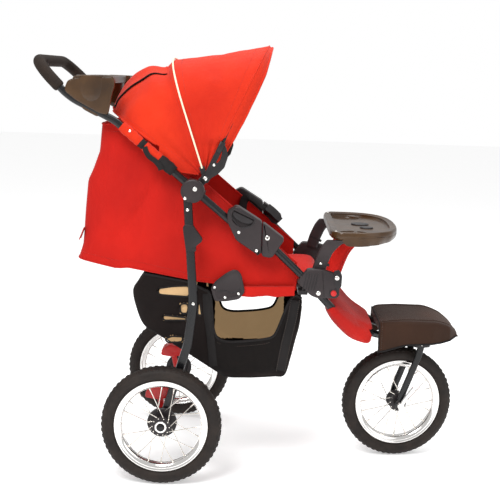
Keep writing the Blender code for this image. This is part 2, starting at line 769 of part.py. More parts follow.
def rear_housing(name, side, tube_cutter):
    low = side * (frame_half_width - housing_thickness / 2)
    high = side * (frame_half_width + housing_thickness / 2)
    split = fold_pivot[0] + housing_split - touch_gap
    corner = arc(fold_pivot, housing_split - touch_gap, 0.0, -70.0, 4)
    outline = [*housing_rear_outline[:3], (split, housing_split_top), *corner, *housing_rear_outline[3:]]
    housing = plate("fold_housing_rear_" + name, outline, low, high, "grey_plastic")
    half = fold_tongue_thickness / 2 + touch_gap
    slot_low, slot_high = side * frame_half_width - half, side * frame_half_width + half
    reach = fold_tongue_radius + turn_gap
    slot = plate("tongue_slot_" + name, [
        (fold_pivot[0] - reach - 0.003, fold_pivot[1] - 0.05),
        (fold_pivot[0] - reach - 0.003, fold_pivot[1] + reach),
        (split + 0.01, fold_pivot[1] + reach), (split + 0.01, fold_pivot[1] - 0.05)],
        slot_low, slot_high, None)
    recess = plate("lever_recess_" + name, lever_outline(lever_room, touch_gap + 0.0004, 0.012),
                   high - side * lever_depth, high + side * 0.01, None)
    hinge_hole = rod("lever_hole_" + name, *lever_hinge_line(side, 0.003 + touch_gap), 0.0016, None, 10)
    cut(housing, [slot, recess, hinge_hole, tube_cutter])
    housing = as_mesh(housing)
    pin = y_rod("fold_pin_" + name, fold_pivot, side * frame_half_width - half - 0.002,
                side * frame_half_width + half + 0.002, pin_radius, "grey_plastic")
    join_solids(housing, [pin])


def lever_outline(above, grow=0.0, finger=0.0):
    """Half-oval flap below its straight hinge edge; `finger` opens the gap under it."""
    start, end = lever_hinge
    run = Vector(end) - Vector(start)
    length = run.length
    depth = lever_drop + grow + finger
    points = [along(start, end, -grow, above + grow), along(start, end, length + grow, above + grow)]
    for i in range(7):
        angle = math.pi * i / 6
        points.append(along(start, end, length / 2 + (length / 2 + grow) * math.cos(angle),
                            -depth * math.sin(angle) ** 0.8))
    return points


def lever_hinge_line(side, extra):
    y = side * (frame_half_width + housing_thickness / 2 - lever_depth / 2)
    start, end = lever_hinge
    length = (Vector(end) - Vector(start)).length
    return lift(along(start, end, -extra), y), lift(along(start, end, length + extra), y)


def fold_lever(name, side):
    high = side * (frame_half_width + housing_thickness / 2 - 0.0004)
    low = side * (frame_half_width + housing_thickness / 2 - lever_depth + 0.0007)
    flap = plate("fold_lever_" + name, lever_outline(lever_head), low, high, "black_plastic")
    pins = rod("lever_pins_" + name, *lever_hinge_line(side, 0.0025), 0.0012, "black_plastic", 8)
    lever = join_solids(flap, [pins])
    start, end = lever_hinge_line(side, 0.0)
    hang(lever, tuple((a + b) / 2 for a, b in zip(start, end)))


def parent_tray(tube_cutter):
    """Shallow tray with two cup wells, held by a bracket round each handle arm."""
    middle_x = (parent_tray_back + parent_tray_front) / 2
    half_x = (parent_tray_front - parent_tray_back) / 2
    half_y = parent_tray_half_width
    outline = []
    for sx, sy, first in ((1, -1, -90), (1, 1, 0), (-1, 1, 90), (-1, -1, 180)):
        centre = (middle_x + sx * (half_x - 0.02), sy * (half_y - 0.02))
        outline += arc(centre, 0.02, first, first + 90, 3)
    tray = slab("parent_tray", outline, parent_tray_top - parent_tray_depth, parent_tray_top, "brown_plastic")
    cup_x = middle_x
    added = []
    for side in (1, -1):
        cup = rod("cup_%d" % side, (cup_x, side * cup_centre_y, parent_tray_top - cup_depth),
                  (cup_x, side * cup_centre_y, parent_tray_top - 0.004), cup_radius - 0.005,
                  "brown_plastic", 24, cup_radius)
        bracket = plate("tray_bracket_%d" % side, tray_bracket_outline, side * tray_bracket_inner,
                        side * tray_bracket_outer, "brown_plastic")
        arm_near = min(side * cup_centre_y, side * tray_bracket_outer)
        arm_far = max(side * cup_centre_y, side * tray_bracket_outer)
        arm = block("tray_arm_%d" % side, (cup_x - 0.030, arm_near, parent_tray_top - parent_tray_depth),
                    (cup_x + 0.030, arm_far, parent_tray_top - 0.004), "brown_plastic")
        added += [cup, bracket, arm]
    tray = join_solids(tray, added)
    wells = [tube_cutter]
    for side in (1, -1):
        wells.append(rod("cup_well_%d" % side,
                         (cup_x, side * cup_centre_y, parent_tray_top - cup_depth + cup_wall),
                         (cup_x, side * cup_centre_y, parent_tray_top + 0.004),
                         cup_radius - 0.005 - cup_wall, None, 24, cup_radius - cup_wall))
    pocket = block("pocket_well",
                   (cup_x - half_x + 0.008, -pocket_half_width,
                    parent_tray_top - parent_tray_depth + cup_wall),
                   (cup_x + half_x - 0.008, pocket_half_width, parent_tray_top + 0.01), None)
    wells.append(pocket)
    cut(tray, wells)


def wrist_strap(tube_cutter):
    """Cloth sleeve round the right handle arm with a webbing tail and its buckle."""
    side = sides["right"]
    y = side * frame_half_width
    line = (handle_bend, handle_tube_end)
    start, end = along(*line, strap_start), along(*line, strap_start + strap_length)
    sleeve = rod("wrist_strap", lift(start, y), lift(end, y), tube_radius + strap_cloth + touch_gap,
                 "red_fabric", 16)
    low = y - side * (tube_radius + strap_cloth + 0.0035)
    high = low + side * 0.005
    middle = along(*line, strap_start + strap_length / 2)
    tail = bar("strap_tail", (middle, (middle[0] + 0.004, middle[1] - 0.030), strap_buckle), 0.020,
               low, high, "red_fabric")
    buckle = block("strap_buckle", (strap_buckle[0] - 0.013, min(low, high) - 0.002, strap_buckle[1] - 0.017),
                   (strap_buckle[0] + 0.013, max(low, high) + 0.0015, strap_buckle[1] + 0.017), "red_fabric")
    strap = join_solids(sleeve, [tail, buckle])
    cut(strap, [tube_cutter])


def handle_frame():
    tube_cutter = tube("handle_bore", handle_path(), tube_radius + 2 * touch_gap, None, 2, True)
    handle()
    for name, side in sides.items():
        hub_clamp(name, side, tube_cutter)
        rear_housing(name, side, tube_cutter)
        fold_lever(name, side)
    parent_tray(tube_cutter)
    wrist_strap(tube_cutter)


# Canopy: two bows that turn on the clamps' pins, and the cloth between and behind them
def bow_row(angle, reach, low_width, high_width, start, shift=0.0, turn=7):
    """Half-hoop in a plane through the canopy's pivots, from one side over to the other."""
    ray = Vector((math.cos(angle), 0.0, math.sin(angle)))
    across = Vector((-ray.z, 0.0, ray.x))
    base = Vector(lift(canopy_pivot, 0.0)) + across * shift
    shoulder = canopy_shoulder * reach
    half = [(start, low_width), (canopy_side_change[0], low_width), (canopy_side_change[1], high_width)]
    for i in range(turn + 1):
        phi = math.pi / 2 * i / turn
        power = 2 / canopy_squareness
        half.append((shoulder + (reach - shoulder) * math.sin(phi) ** power,
                     high_width * max(math.cos(phi), 0.0) ** power))
    left = [base + ray * s + Vector((0, y, 0)) for s, y in half]
    right = [base + ray * s - Vector((0, y, 0)) for s, y in reversed(half[:-1])]
    return left + right


def canopy_bow(name, angle, reach, half_width, radius, start, layer, finish):
    """Wire hoop with an eye at each end that fits the clamps' canopy pins."""
    high_width = canopy_side_high if radius == front_bow_radius else half_width
    wire = tube(name, bow_row(angle, reach, half_width, high_width, start), radius, finish, 1)
    ray = (math.cos(angle), math.sin(angle))
    ends = []
    for side in (1, -1):
        tip = tuple(a + b * (start + 0.004) for a, b in zip(canopy_pivot, ray))
        low, high = side * layer[0], side * layer[1]
        ends.append(bar("bow_arm_%d" % side, (canopy_pivot, tip), 0.013, low, high, finish))
        ends.append(plate("bow_eye_%d" % side, disc(canopy_pivot, 0.0112, 14),
                          low - side * 0.0002, high + side * 0.0002, finish))
        if radius == front_bow_radius:
            inner = tuple(a + b * bow_socket[0] for a, b in zip(canopy_pivot, ray))
            outer = tuple(a + b * bow_socket[1] for a, b in zip(canopy_pivot, ray))
            ends.append(bar("bow_socket_%d" % side, (inner, outer), 0.0140,
                            side * (half_width - 0.0055), side * (half_width + 0.0055), finish))
    bow = join_solids(wire, ends)
    holes = [y_rod("bow_hole_%d" % side, canopy_pivot, side * (layer[0] - 0.01), side * (layer[1] + 0.01),
                   pin_radius + turn_gap) for side in (1, -1)]
    cut(bow, holes)
    hang(bow, lift(canopy_pivot, 0.0))


def canopy():
    middle_layer = (canopy_ear_outer + 0.0005, canopy_ear_outer + 0.0045)
    front_layer = (middle_layer[1] + 0.0007, canopy_bracket_outer - touch_gap)
    canopy_bow("canopy_front_bow", front_bow_angle, front_bow_reach, front_bow_half_width,
               front_bow_radius, bow_socket[0] + 0.006, front_layer, "black_plastic")
    canopy_bow("canopy_middle_bow", middle_bow_angle, middle_bow_reach, middle_bow_half_width,
               middle_bow_radius, 0.050, middle_layer, "piping")
    widths = (canopy_side_low, canopy_side_high)
    middle_reach = middle_bow_reach - middle_bow_radius - canopy_cloth / 2 - 2 * touch_gap
    front = bow_row(front_bow_angle, front_bow_reach, *widths, cloth_start, front_bow_radius + 2 * touch_gap)
    back = bow_row(middle_bow_angle, middle_reach, *widths, cloth_start, -canopy_seam)
    pivot = Vector(lift(canopy_pivot, 0.0))
    rows = []
    for i in range(5):
        share = i / 4
        sag = 1 - (1 - canopy_sag) * math.sin(math.pi * share)
        rows.append([pivot + (a.lerp(b, share) - pivot) * (sag if 3 < k < len(front) - 4 else 1.0)
                     for k, (a, b) in enumerate(zip(front, back))])
    sheet("canopy_front", rows, canopy_cloth, "red_fabric")
    rows = [bow_row(middle_bow_angle, middle_reach, *widths, cloth_start, canopy_seam)]
    rows += [bow_row(math.radians(angle), reach, *widths, cloth_start) for angle, reach in canopy_rear_rows]
    sheet("canopy_rear", rows, canopy_cloth, "red_fabric")


# Front frame: tubes, housings, brackets, tray, footrest, caster
def front_tube_path(side, extra=0.0):
    points = [(x, side * y, z) for (x, z), y in zip(front_tube_points, front_tube_spread)]
    points[-1] = (points[-1][0] + extra, points[-1][1], points[-1][2])
    return rounded_path(points, front_tube_bends, 4)


def front_housing(name, side, tube_cutter):
    low = side * (frame_half_width - housing_thickness / 2)
    high = side * (frame_half_width + housing_thickness / 2)
    split = fold_pivot[0] + housing_split + touch_gap
    body = plate("fold_housing_front_" + name,
                 [(split, 0.5790), (split, housing_split_top), *housing_front_outline],
                 low, high, "grey_plastic")
    half = fold_tongue_thickness / 2
    tongue = bar("fold_tongue_" + name, ((split + 0.003, fold_pivot[1]), fold_pivot), 2 * fold_tongue_radius,
                 side * frame_half_width - half, side * frame_half_width + half, "grey_plastic")
    eye = plate("fold_eye_" + name, disc(fold_pivot, fold_tongue_radius, 18),
                side * frame_half_width - half, side * frame_half_width + half, "grey_plastic")
    housing = join_solids(body, [tongue, eye])
    hole = y_rod("fold_hole_" + name, fold_pivot, low, high, pin_radius + turn_gap)
    cut(housing, [hole, tube_cutter])
    hang(housing, lift(fold_pivot, side * frame_half_width))


def lower_bracket(name, side, tube_cutter):
    low, high = side * clamp_inner, side * bracket_outer
    body = plate("lower_bracket_" + name, bracket_outline, low, high, "grey_plastic")
    bolt = y_rod("bracket_bolt_" + name, rail_front_pivot, high - side * 0.002, high + side * 0.0022,
                 rivet_head_radius + 0.0015, "grey_plastic")
    body = join_solids(body, [bolt])
    floor = high - side * (button_travel + 0.004)
    well = y_rod("button_well_" + name, release_button, floor, high + side * 0.01, button_radius + turn_gap)
    cut(body, [tube_cutter, well])
    button = y_rod("release_button_" + name, release_button, floor + side * (button_travel + touch_gap),
                   high + side * 0.004, button_radius, "red_plastic", 16)
    hang(button, lift(release_button, high))


def tray_post(name, side):
    outer = side * (clamp_inner - touch_gap)
    inner = outer - side * post_thickness
    top = child_tray_top - child_tray_thickness - touch_gap
    post = bar("tray_post_" + name, flat_path(post_points, (0.08, 0.06, 0.06)), post_width, inner, outer,
               "black_plastic")
    above = block("post_trim_" + name, (post_points[0][0] - 0.03, min(inner, outer) - 0.01, top),
                  (post_points[-1][0] + 0.03, max(inner, outer) + 0.01, child_tray_top + 0.04), None)
    cut(post, [above])
    if side > 0:
        plain = as_mesh(post)
        pin = rod("tray_pin", (tray_pin[0], tray_pin[1], top - 0.004),
                  (tray_pin[0], tray_pin[1], top + child_tray_thickness * 0.5), tray_pin_radius,
                  "black_plastic")
        join_solids(plain, [pin])


def child_tray():
    bottom = child_tray_top - child_tray_thickness
    outline = list(child_tray_outline[1:]) + [(x, -y) for x, y in reversed(child_tray_outline[1:])]
    tray = slab("child_tray", outline, bottom, child_tray_top, "brown_plastic")
    floor = child_tray_top - child_tray_well
    cutters = []
    for side in (1, -1):
        cutters.append(rod("tray_well_%d" % side, (tray_well_x, side * tray_well_y, floor - 0.004),
                           (tray_well_x, side * tray_well_y, child_tray_top + 0.01), tray_well_radius, None,
                           20))
    rim = child_tray_rim
    back, front = child_tray_outline[0][0] + 2 * rim, child_tray_outline[-1][0] - rim
    centre = [(back, -recess_half_width), (front - 0.03, -recess_half_width), (front, -0.0400),
              (front, 0.0400), (front - 0.03, recess_half_width), (back, recess_half_width)]
    cutters.append(slab("tray_recess", centre, floor, child_tray_top + 0.01, None))
    cutters.append(rod("tray_pin_hole", (tray_pin[0], tray_pin[1], bottom - 0.01),
                       (tray_pin[0], tray_pin[1], bottom + child_tray_thickness * 0.5 + touch_gap),
                       tray_pin_radius + turn_gap, None))
    cut(tray, cutters)
    hang(tray, (tray_pin[0], tray_pin[1], bottom))


def footrest(tube_cutters):
    half = footrest_half_width
    shell = plate("footrest", footrest_outline, -half, half, "black_plastic")
    near = [(swivel_x - 0.1400, 0.0100 - half), (swivel_x - 0.1100, -half), (swivel_x + 0.0100, -half),
            (swivel_x + 0.0600, 0.022 - half), (swivel_x + 0.0860, 0.060 - half)]
    plan = slab("footrest_plan", near + [(x, -y) for x, y in reversed(near)], 0.30, 0.42, None)
    combine(shell, [plan], "INTERSECT")
    shell = as_mesh(shell)
    wall = footrest_wall
    top = [(x, z - wall) for x, z in footrest_outline[1:5]]
    back, front = footrest_outline[0][0] + 2 * wall, footrest_outline[5][0] - wall
    open_end = footrest_outline[-1][1] - 0.013
    hollow = plate("footrest_hollow", [
        (back, open_end), (back, footrest_outline[0][1] - wall), *top,
        (front, footrest_outline[5][1] - 1.5 * wall), (front, open_end)],
        -half + footrest_side_wall, half - footrest_side_wall, None)
    cut(shell, [hollow, *tube_cutters])


def caster_head(tube_cutters):
    low = (swivel_x - caster_head_depth, -caster_head_half_width, caster_head_bottom)
    high = (swivel_x + caster_head_depth, caster_head_half_width, caster_head_top)
    head = block("caster_head", low, high, "black_metal")
    bore = rod("stem_bore", (swivel_x, 0.0, caster_head_bottom - 0.01),
               (swivel_x, 0.0, fork_stem_top + touch_gap), fork_stem_radius + 2 * turn_gap, None, 16)
    cut(head, [bore, *tube_cutters])
    face = high[0] + touch_gap
    lock = block("swivel_lock", (face, -0.009, caster_head_bottom - 0.001), (face + 0.011, 0.009, 0.3560),
                 "red_plastic")
    hang(lock, (face, 0.0, 0.3440))


def caster_matrix():
    swivel = Vector((swivel_x, 0.0, 0.0))
    return Matrix.Translation(swivel) @ Matrix.Rotation(caster_steer, 4, "Z") @ Matrix.Translation(-swivel)


def steer(piece):
    plain = as_mesh(piece)
    plain.data.transform(caster_matrix())
    return plain


def caster_fork():
    wheel_x = swivel_x - caster_trail
    inner = fork_half_width - fork_blade_thickness / 2
    outer = fork_half_width + fork_blade_thickness / 2
    near = [(swivel_x - 0.030, -outer), (swivel_x + 0.012, -outer), (swivel_x + 0.022, -0.020)]
    crown = slab("caster_fork", near + [(x, -y) for x, y in reversed(near)], fork_crown_bottom,
                 fork_crown_top, "grey_plastic")
    added = [rod("fork_stem", (swivel_x, 0, fork_crown_top - 0.004), (swivel_x, 0, fork_stem_top),
                 fork_stem_radius, "grey_plastic", 16)]
    path = flat_path(((wheel_x, axle_height), (wheel_x + 0.006, 0.185), (swivel_x - 0.018, 0.2850),
                      (swivel_x - 0.008, fork_crown_top - 0.001)), (0.08, 0.08))
    holes = []
    for side in (1, -1):
        added.append(bar("fork_blade_%d" % side, path, fork_blade_width, side * inner,
                         side * (outer - 0.0002), "grey_plastic"))
        added.append(plate("fork_foot_%d" % side, disc((wheel_x, axle_height), 0.0135, 20),
                           side * (inner + 0.0002), side * (outer - 0.0004), "grey_plastic"))
        holes.append(y_rod("fork_hole_%d" % side, (wheel_x, axle_height), side * (inner - 0.004),
                           side * (outer + 0.004), axle_radius + touch_gap))
    fork = join_solids(crown, added)
    cut(fork, holes)
    fork = steer(fork)
    hang(fork, (swivel_x, 0.0, axle_height))

    hub_end = hub_length / 2 + touch_gap
    cap = outer + touch_gap
    half = [(axle_radius, hub_end), (0.0085, hub_end), (0.0085, inner - touch_gap),
            (axle_radius, inner - touch_gap), (axle_radius, cap), (0.0095, cap), (0.0095, cap + 0.0050),
            (0.0, cap + 0.0050)]
    profile = [(r, t) for r, t in reversed(half)] + [(r, -t) for r, t in half]
    open_turn("front_axle", profile, front_wheel_centre(), "chrome", 12, caster_steer)
    lever_y = -(cap + 0.0050 + touch_gap)
    tail = (wheel_x - 0.004, axle_height - 0.010)
    bends = (tail, (wheel_x + 0.010, axle_height + 0.018), (wheel_x + 0.036, axle_height + 0.056))
    lever = steer(bar("quick_release_lever", bends, 0.012, lever_y, lever_y - 0.005, "chrome"))
    hang(lever, tuple(caster_matrix() @ Vector(lift(tail, lever_y))))


def leg_rest_cover(tube_cutters):
    """Padded cloth from the seat's front edge to the footrest, round-edged and drawn in."""
    rings = []
    for x, z, thick, half, tilt in leg_rest_sections:
        up = Vector((math.cos(math.radians(tilt)), 0.0, math.sin(math.radians(tilt))))
        middle = Vector((x, 0.0, z))
        ring = []
        for i in range(20):
            angle = 2 * math.pi * i / 20
            c, d = math.cos(angle), math.sin(angle)
            across = half * math.copysign(abs(c) ** 0.35, c)
            high = thick * math.copysign(abs(d) ** 0.6, d)
            ring.append(middle + up * high + Vector((0.0, across, 0.0)))
        rings.append(ring)
    cover = loft("leg_rest_cover", rings, "red_fabric")
    spread = 2 * touch_gap
    middle = (sum(x for x, z in bracket_outline) / len(bracket_outline),
              sum(z for x, z in bracket_outline) / len(bracket_outline))
    grown = [toward(middle, point, (Vector(point) - Vector(middle)).length + spread)
             for point in bracket_outline]
    notches = [plate("bracket_notch_" + name, grown, side * (clamp_inner - spread),
                     side * (bracket_outer + 0.02), None) for name, side in sides.items()]
    cut(cover, [*tube_cutters, *notches])


def front_frame():
    bore = tube_radius + 2 * touch_gap
    cutters = {name: tube("front_bore_" + name, front_tube_path(side, touch_gap), bore, None, 2, True)
               for name, side in sides.items()}
    for name, side in sides.items():
        tube("front_tube_" + name, front_tube_path(side), tube_radius, "black_metal", 2)
        front_housing(name, side, cutters[name])
        lower_bracket(name, side, cutters[name])
        tray_post(name, side)
    child_tray()
    both = list(cutters.values())
    footrest(both)
    caster_head(both)
    caster_fork()
    leg_rest_cover(both)


# Seat frame, seat and basket
def seat_rail(name, side):
    low = side * (rail_half_width - rail_thickness / 2)
    high = side * (rail_half_width + rail_thickness / 2)
    path = flat_path((rail_rear_pivot, *rail_bends, rail_front_pivot), (0.05, 0.3))
    rail = bar("seat_rail_" + name, path, rail_width, low, high, "black_metal")
    step = side * leg_foot_step
    eyes = [plate("rail_eye_%s_%d" % (name, i), disc(point, 0.0112, 20), low + step, high - step,
                  "black_metal") for i, point in enumerate((rail_rear_pivot, rail_front_pivot))]
    rail = join_solids(rail, eyes)
    hole = y_rod("rail_hole_" + name, rail_rear_pivot, low - side * 0.01, high + side * 0.01,
                 pin_radius + turn_gap)
    cut(rail, [hole])
    hang(rail, lift(rail_rear_pivot, side * rail_half_width))


def d_plate(name, side):
    shield = plate("seat_side_plate_" + name, d_plate_outline, side * d_plate_inner, side * d_plate_outer,
                   "grey_plastic")
    pin = y_rod("recline_pin_" + name, recline_pivot, side * (d_plate_inner + 0.002),
                side * (seat_back_half_width - 0.006), pin_radius, "grey_plastic")
    join_solids(shield, [pin])


def seat_point(distance, rise, y):
    """Point on the reclined back: along its length, above its lower face, across."""
    run = Vector((math.cos(seat_back_angle), 0.0, math.sin(seat_back_angle)))
    up = Vector((run.z, 0.0, -run.x))
    return Vector(lift(recline_pivot, y)) + run * distance + up * rise


def seat_back():
    half = seat_back_half_width
    line = (seat_point(0, 0, 0).xz, seat_point(seat_back_length, 0, 0).xz)
    board = bar("seat_back_board", line, seat_back_board, -half, half, "black_plastic")
    barrel = y_rod("back_barrel", recline_pivot, -half, half, 0.0085, "black_plastic", 18)
    board = join_solids(board, [barrel])
    holes = [y_rod("back_hole_%d" % side, recline_pivot, side * (half - 0.008), side * (half + 0.01),
                   pin_radius + turn_gap) for side in (1, -1)]
    cut(board, holes)
    hang(board, lift(recline_pivot, 0.0))
    rings = []
    foot = seat_back_board / 2 + touch_gap
    steps = ((0.0, 0.35), (0.04, 0.85), (0.16, 1.0), (0.32, 1.0), (0.36, 0.86), (0.40, 1.0), (0.66, 1.0),
             (0.70, 0.86), (0.74, 1.0), (0.93, 0.95), (1.0, 0.4))
    for share, height in steps:
        distance = pad_start + (seat_back_length - pad_start) * share
        rings.append(pad_ring(lambda rise, y: seat_point(distance, foot + rise, y), half - 0.004,
                              seat_back_pad * height, 0.965 + 0.035 * math.cos(2 * math.pi * share)))
    pad = loft("seat_back_pad", rings, "red_fabric")
    hang(pad, lift(recline_pivot, 0.0))


def pad_ring(place, half, height, draw):
    """Flat below, crowned above, with the sides rounded and drawn in."""
    points = []
    for i in range(13):
        angle = math.pi * i / 12
        c = math.cos(angle)
        y = half * draw * math.copysign(abs(c) ** 0.55, c)
        crown = height * (0.82 + 0.18 * math.sin(angle)) * math.sin(angle) ** 0.45
        points.append(place(max(crown, 0.0), y))
    points.append(place(0.0, -half * draw * 0.5))
    points.append(place(0.0, half * draw * 0.5))
    return points


def seat_cushion():
    rings = []
    steps = ((0.0, 0.4), (0.06, 0.85), (0.25, 1.0), (0.46, 1.0), (0.50, 0.86), (0.54, 1.0), (0.80, 1.0),
             (0.94, 0.85), (1.0, 0.4))
    for share, height in steps:
        x = cushion_rear + (cushion_front - cushion_rear) * share
        rings.append(pad_ring(lambda rise, y: Vector((x, y, cushion_bottom + rise)), cushion_half_width,
                              cushion_height * height, 0.97 + 0.03 * math.cos(2 * math.pi * share)))
    loft("seat_cushion", rings, "red_fabric")
    rail_inner = rail_half_width - rail_thickness / 2 - touch_gap
    top = cushion_bottom - touch_gap
    board = block("seat_board", (cushion_rear, -cushion_half_width, top - seat_board_thickness),
                  (cushion_front - 0.015, cushion_half_width, top), "black_plastic")
    braces = []
    for i, x in enumerate(seat_brace_places):
        braces.append(block("seat_brace_%d" % i, (x - 0.012, -rail_inner, seat_brace_bottom),
                            (x + 0.012, rail_inner, seat_brace_top), "black_plastic"))
        braces.append(block("seat_riser_%d" % i,
                            (x - 0.010, 0.004 - cushion_half_width, seat_brace_bottom + 0.002),
                            (x + 0.010, cushion_half_width - 0.004, top - 0.001), "black_plastic"))
    join_solids(board, braces)


def handle_height(x):
    """Height of the handle arms' straight run at x."""
    (ax, az), (bx, bz) = handle_bend, handle_tube_end
    return az + (bz - az) * (x - ax) / (bx - ax)


def seat_tub():
    """Cloth round the seat, hung from the handle arms and open toward the front."""
    stations = []
    for x in (0.3280, 0.2900, 0.2400, 0.1900, 0.1400, 0.0900, 0.0300, -0.0300, -0.0900):
        stations.append((x, seat_half_width))
    stations += [(-0.1350, seat_half_width - 0.002), (-0.1560, seat_half_width - 0.014),
                 (-0.1650, seat_half_width - 0.040), (-0.1680, 0.090), (-0.1690, 0.0)]
    path = stations + [(x, -y) for x, y in reversed(stations[:-1])]
    rows = []
    for level in range(5):
        share = level / 4
        row = []
        for k, (x, y) in enumerate(path):
            top = min(handle_height(x) + seat_rise, seat_tub_top)
            low = seat_low + max(0.0, 0.1 - x) * 0.185
            if x > 0.26:
                top = min(top, 0.6060 - (x - 0.26) * 0.4)
            z = top + (low - top) * share
            bulge = 0.0025 * math.sin(math.pi * share) * math.cos(k * 1.9)
            back = max(0.0, (-0.1 - x) / 0.069)
            wide = y + math.copysign(bulge, y) if abs(y) > 0.1 else y
            row.append((x - back * seat_flare * share ** 1.3, wide, z))
        rows.append(row)
    tub = sheet("seat_tub", rows, seat_cloth, "red_fabric")
    holes = [y_rod("tub_hole_%d" % side, recline_pivot, side * (seat_half_width - 0.02),
                   side * (seat_half_width + 0.02), pin_radius + turn_gap) for side in (1, -1)]
    cut(tub, holes)


def basket():
    """Cloth bag hung from the seat rails; its lower edge and its rim are walked together."""
    rows = []
    for k, ((ex, ez), (rx, rz)) in enumerate(zip(basket_edge, basket_rim)):
        half = basket_half_width
        drawn = 0.012 if 0 < k < len(basket_edge) - 1 else 0.004
        sag = basket_sag * math.sin(math.pi * k / (len(basket_edge) - 1))
        fold = 0.003 * math.cos(k * math.pi)
        left = [(rx, half, rz), (rx + (ex - rx) * 0.4, half + fold * 0.5, rz + (ez - rz) * 0.4),
                (rx + (ex - rx) * 0.85, half - 0.002 + fold * 0.3, rz + (ez - rz) * 0.85),
                (ex, half - drawn, ez), (ex, half * 0.5, ez - sag * 0.7), (ex, 0.0, ez - sag)]
        rows.append(left + [(x, -y, z) for x, y, z in reversed(left[:-1])])
    sheet("basket", rows, basket_cloth, "black_fabric")


def harness():
    """Two shoulder straps and a crotch buckle lying on the pads."""
    rise = seat_back_board / 2 + seat_back_pad + 3 * touch_gap
    straps = []
    for side in (1, -1):
        rings = []
        for distance in (0.075, 0.24):
            y = side * (0.035 + 0.015 * (distance - 0.075) / 0.165)
            corners = ((0.0, -0.017), (0.0, 0.017), (0.003, 0.017), (0.003, -0.017))
            rings.append([seat_point(distance, rise + high, y + across) for high, across in corners])
        straps.append(loft("harness_strap_%d" % side, rings, "black_fabric"))
    buckle = loft("harness", [[seat_point(d, rise - 0.0001, -0.045), seat_point(d, rise - 0.0001, 0.045),
                               seat_point(d, rise + 0.012, 0.040), seat_point(d, rise + 0.012, -0.040)]
                              for d in (0.056, 0.100)], "black_fabric")
    whole = join_solids(buckle, straps)
    hang(whole, lift(recline_pivot, 0.0))


def seat_frame():
    for name, side in sides.items():
        seat_rail(name, side)
        d_plate(name, side)
    seat_back()
    seat_cushion()
    seat_tub()
    basket()
    harness()


def settle_origin():
    """Move everything so that the middle of the footprint's box is the origin."""
    bpy.context.view_layer.update()
    graph = bpy.context.evaluated_depsgraph_get()
    low, high = [1e9] * 3, [-1e9] * 3
    for piece in part_collection.objects:
        if piece.type != "MESH":
            continue
        shape = piece.evaluated_get(graph)
        for vertex in shape.data.vertices:
            point = shape.matrix_world @ vertex.co
            low = [min(a, b) for a, b in zip(low, point)]
            high = [max(a, b) for a, b in zip(high, point)]
    footprint.location = (-(low[0] + high[0]) / 2, -(low[1] + high[1]) / 2, -low[2])
    print("origin moved by", [round(value, 5) for value in footprint.location])


wheels()
rear_frame()
handle_frame()
canopy()
front_frame()
seat_frame()
settle_origin()
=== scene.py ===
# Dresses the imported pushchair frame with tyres, spokes, moulded fittings, padded cloth and trim.
# Side-profile points are (x, z) measured from the rear axle, the same datum as the frame's.
import math

import bmesh
import bpy
from mathutils import Matrix, Vector, noise


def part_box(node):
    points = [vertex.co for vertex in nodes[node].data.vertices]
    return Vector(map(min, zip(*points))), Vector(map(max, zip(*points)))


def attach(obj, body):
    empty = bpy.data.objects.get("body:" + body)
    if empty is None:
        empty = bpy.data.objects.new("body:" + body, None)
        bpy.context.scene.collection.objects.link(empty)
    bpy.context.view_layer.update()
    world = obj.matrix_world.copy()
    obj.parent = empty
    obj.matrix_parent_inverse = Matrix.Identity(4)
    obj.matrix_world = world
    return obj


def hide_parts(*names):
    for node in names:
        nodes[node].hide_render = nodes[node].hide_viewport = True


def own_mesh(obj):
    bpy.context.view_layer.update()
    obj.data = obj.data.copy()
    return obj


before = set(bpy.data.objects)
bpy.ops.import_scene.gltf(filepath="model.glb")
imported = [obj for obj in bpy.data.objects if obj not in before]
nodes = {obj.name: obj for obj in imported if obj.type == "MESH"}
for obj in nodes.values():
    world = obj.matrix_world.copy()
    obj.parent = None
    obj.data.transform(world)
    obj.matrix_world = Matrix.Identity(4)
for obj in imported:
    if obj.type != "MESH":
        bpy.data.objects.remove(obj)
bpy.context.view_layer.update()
scene = bpy.context.scene
axleLow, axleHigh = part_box("rear_axle")
originX = (axleLow.x + axleHigh.x) / 2
axleHeight = (axleLow.z + axleHigh.z) / 2
sides = {"left": 1, "right": -1}
print("frame loaded")


# A point in the frame from a side-profile place and its distance from the middle plane
def at(x, y, z):
    return Vector((x + originX, y, z))


def lift(point, y):
    return at(point[0], y, point[1])


# Camera, floor and light
view = {
    "target": (0.206, 0.0, 0.556), "distance": 2.854, "lens": 76.15,
    "azimuth": 0.663, "elevation": 9.474, "roll": 1.70,
    "floorColour": (0.95, 0.95, 0.95), "skyColour": (1.0, 1.0, 1.0), "skyStrength": 0.62, "backdrop": 1.0,
    "floorGlow": 0.36,
}


def setCamera():
    azimuth, elevation, roll = (math.radians(view[k]) for k in ("azimuth", "elevation", "roll"))
    back = Vector((math.sin(azimuth) * math.cos(elevation), -math.cos(azimuth) * math.cos(elevation),
                   math.sin(elevation)))
    right = Vector((math.cos(azimuth), math.sin(azimuth), 0.0))
    up = back.cross(right)
    turnedRight = right * math.cos(roll) + up * math.sin(roll)
    turnedUp = up * math.cos(roll) - right * math.sin(roll)
    data = bpy.data.cameras.new("camera")
    data.lens = view["lens"]
    data.sensor_width = 36.0
    camera = bpy.data.objects.new("camera", data)
    matrix = Matrix((turnedRight, turnedUp, back)).transposed().to_4x4()
    matrix.translation = at(*view["target"]) + back * view["distance"]
    camera.matrix_world = matrix
    scene.collection.objects.link(camera)
    scene.camera = camera


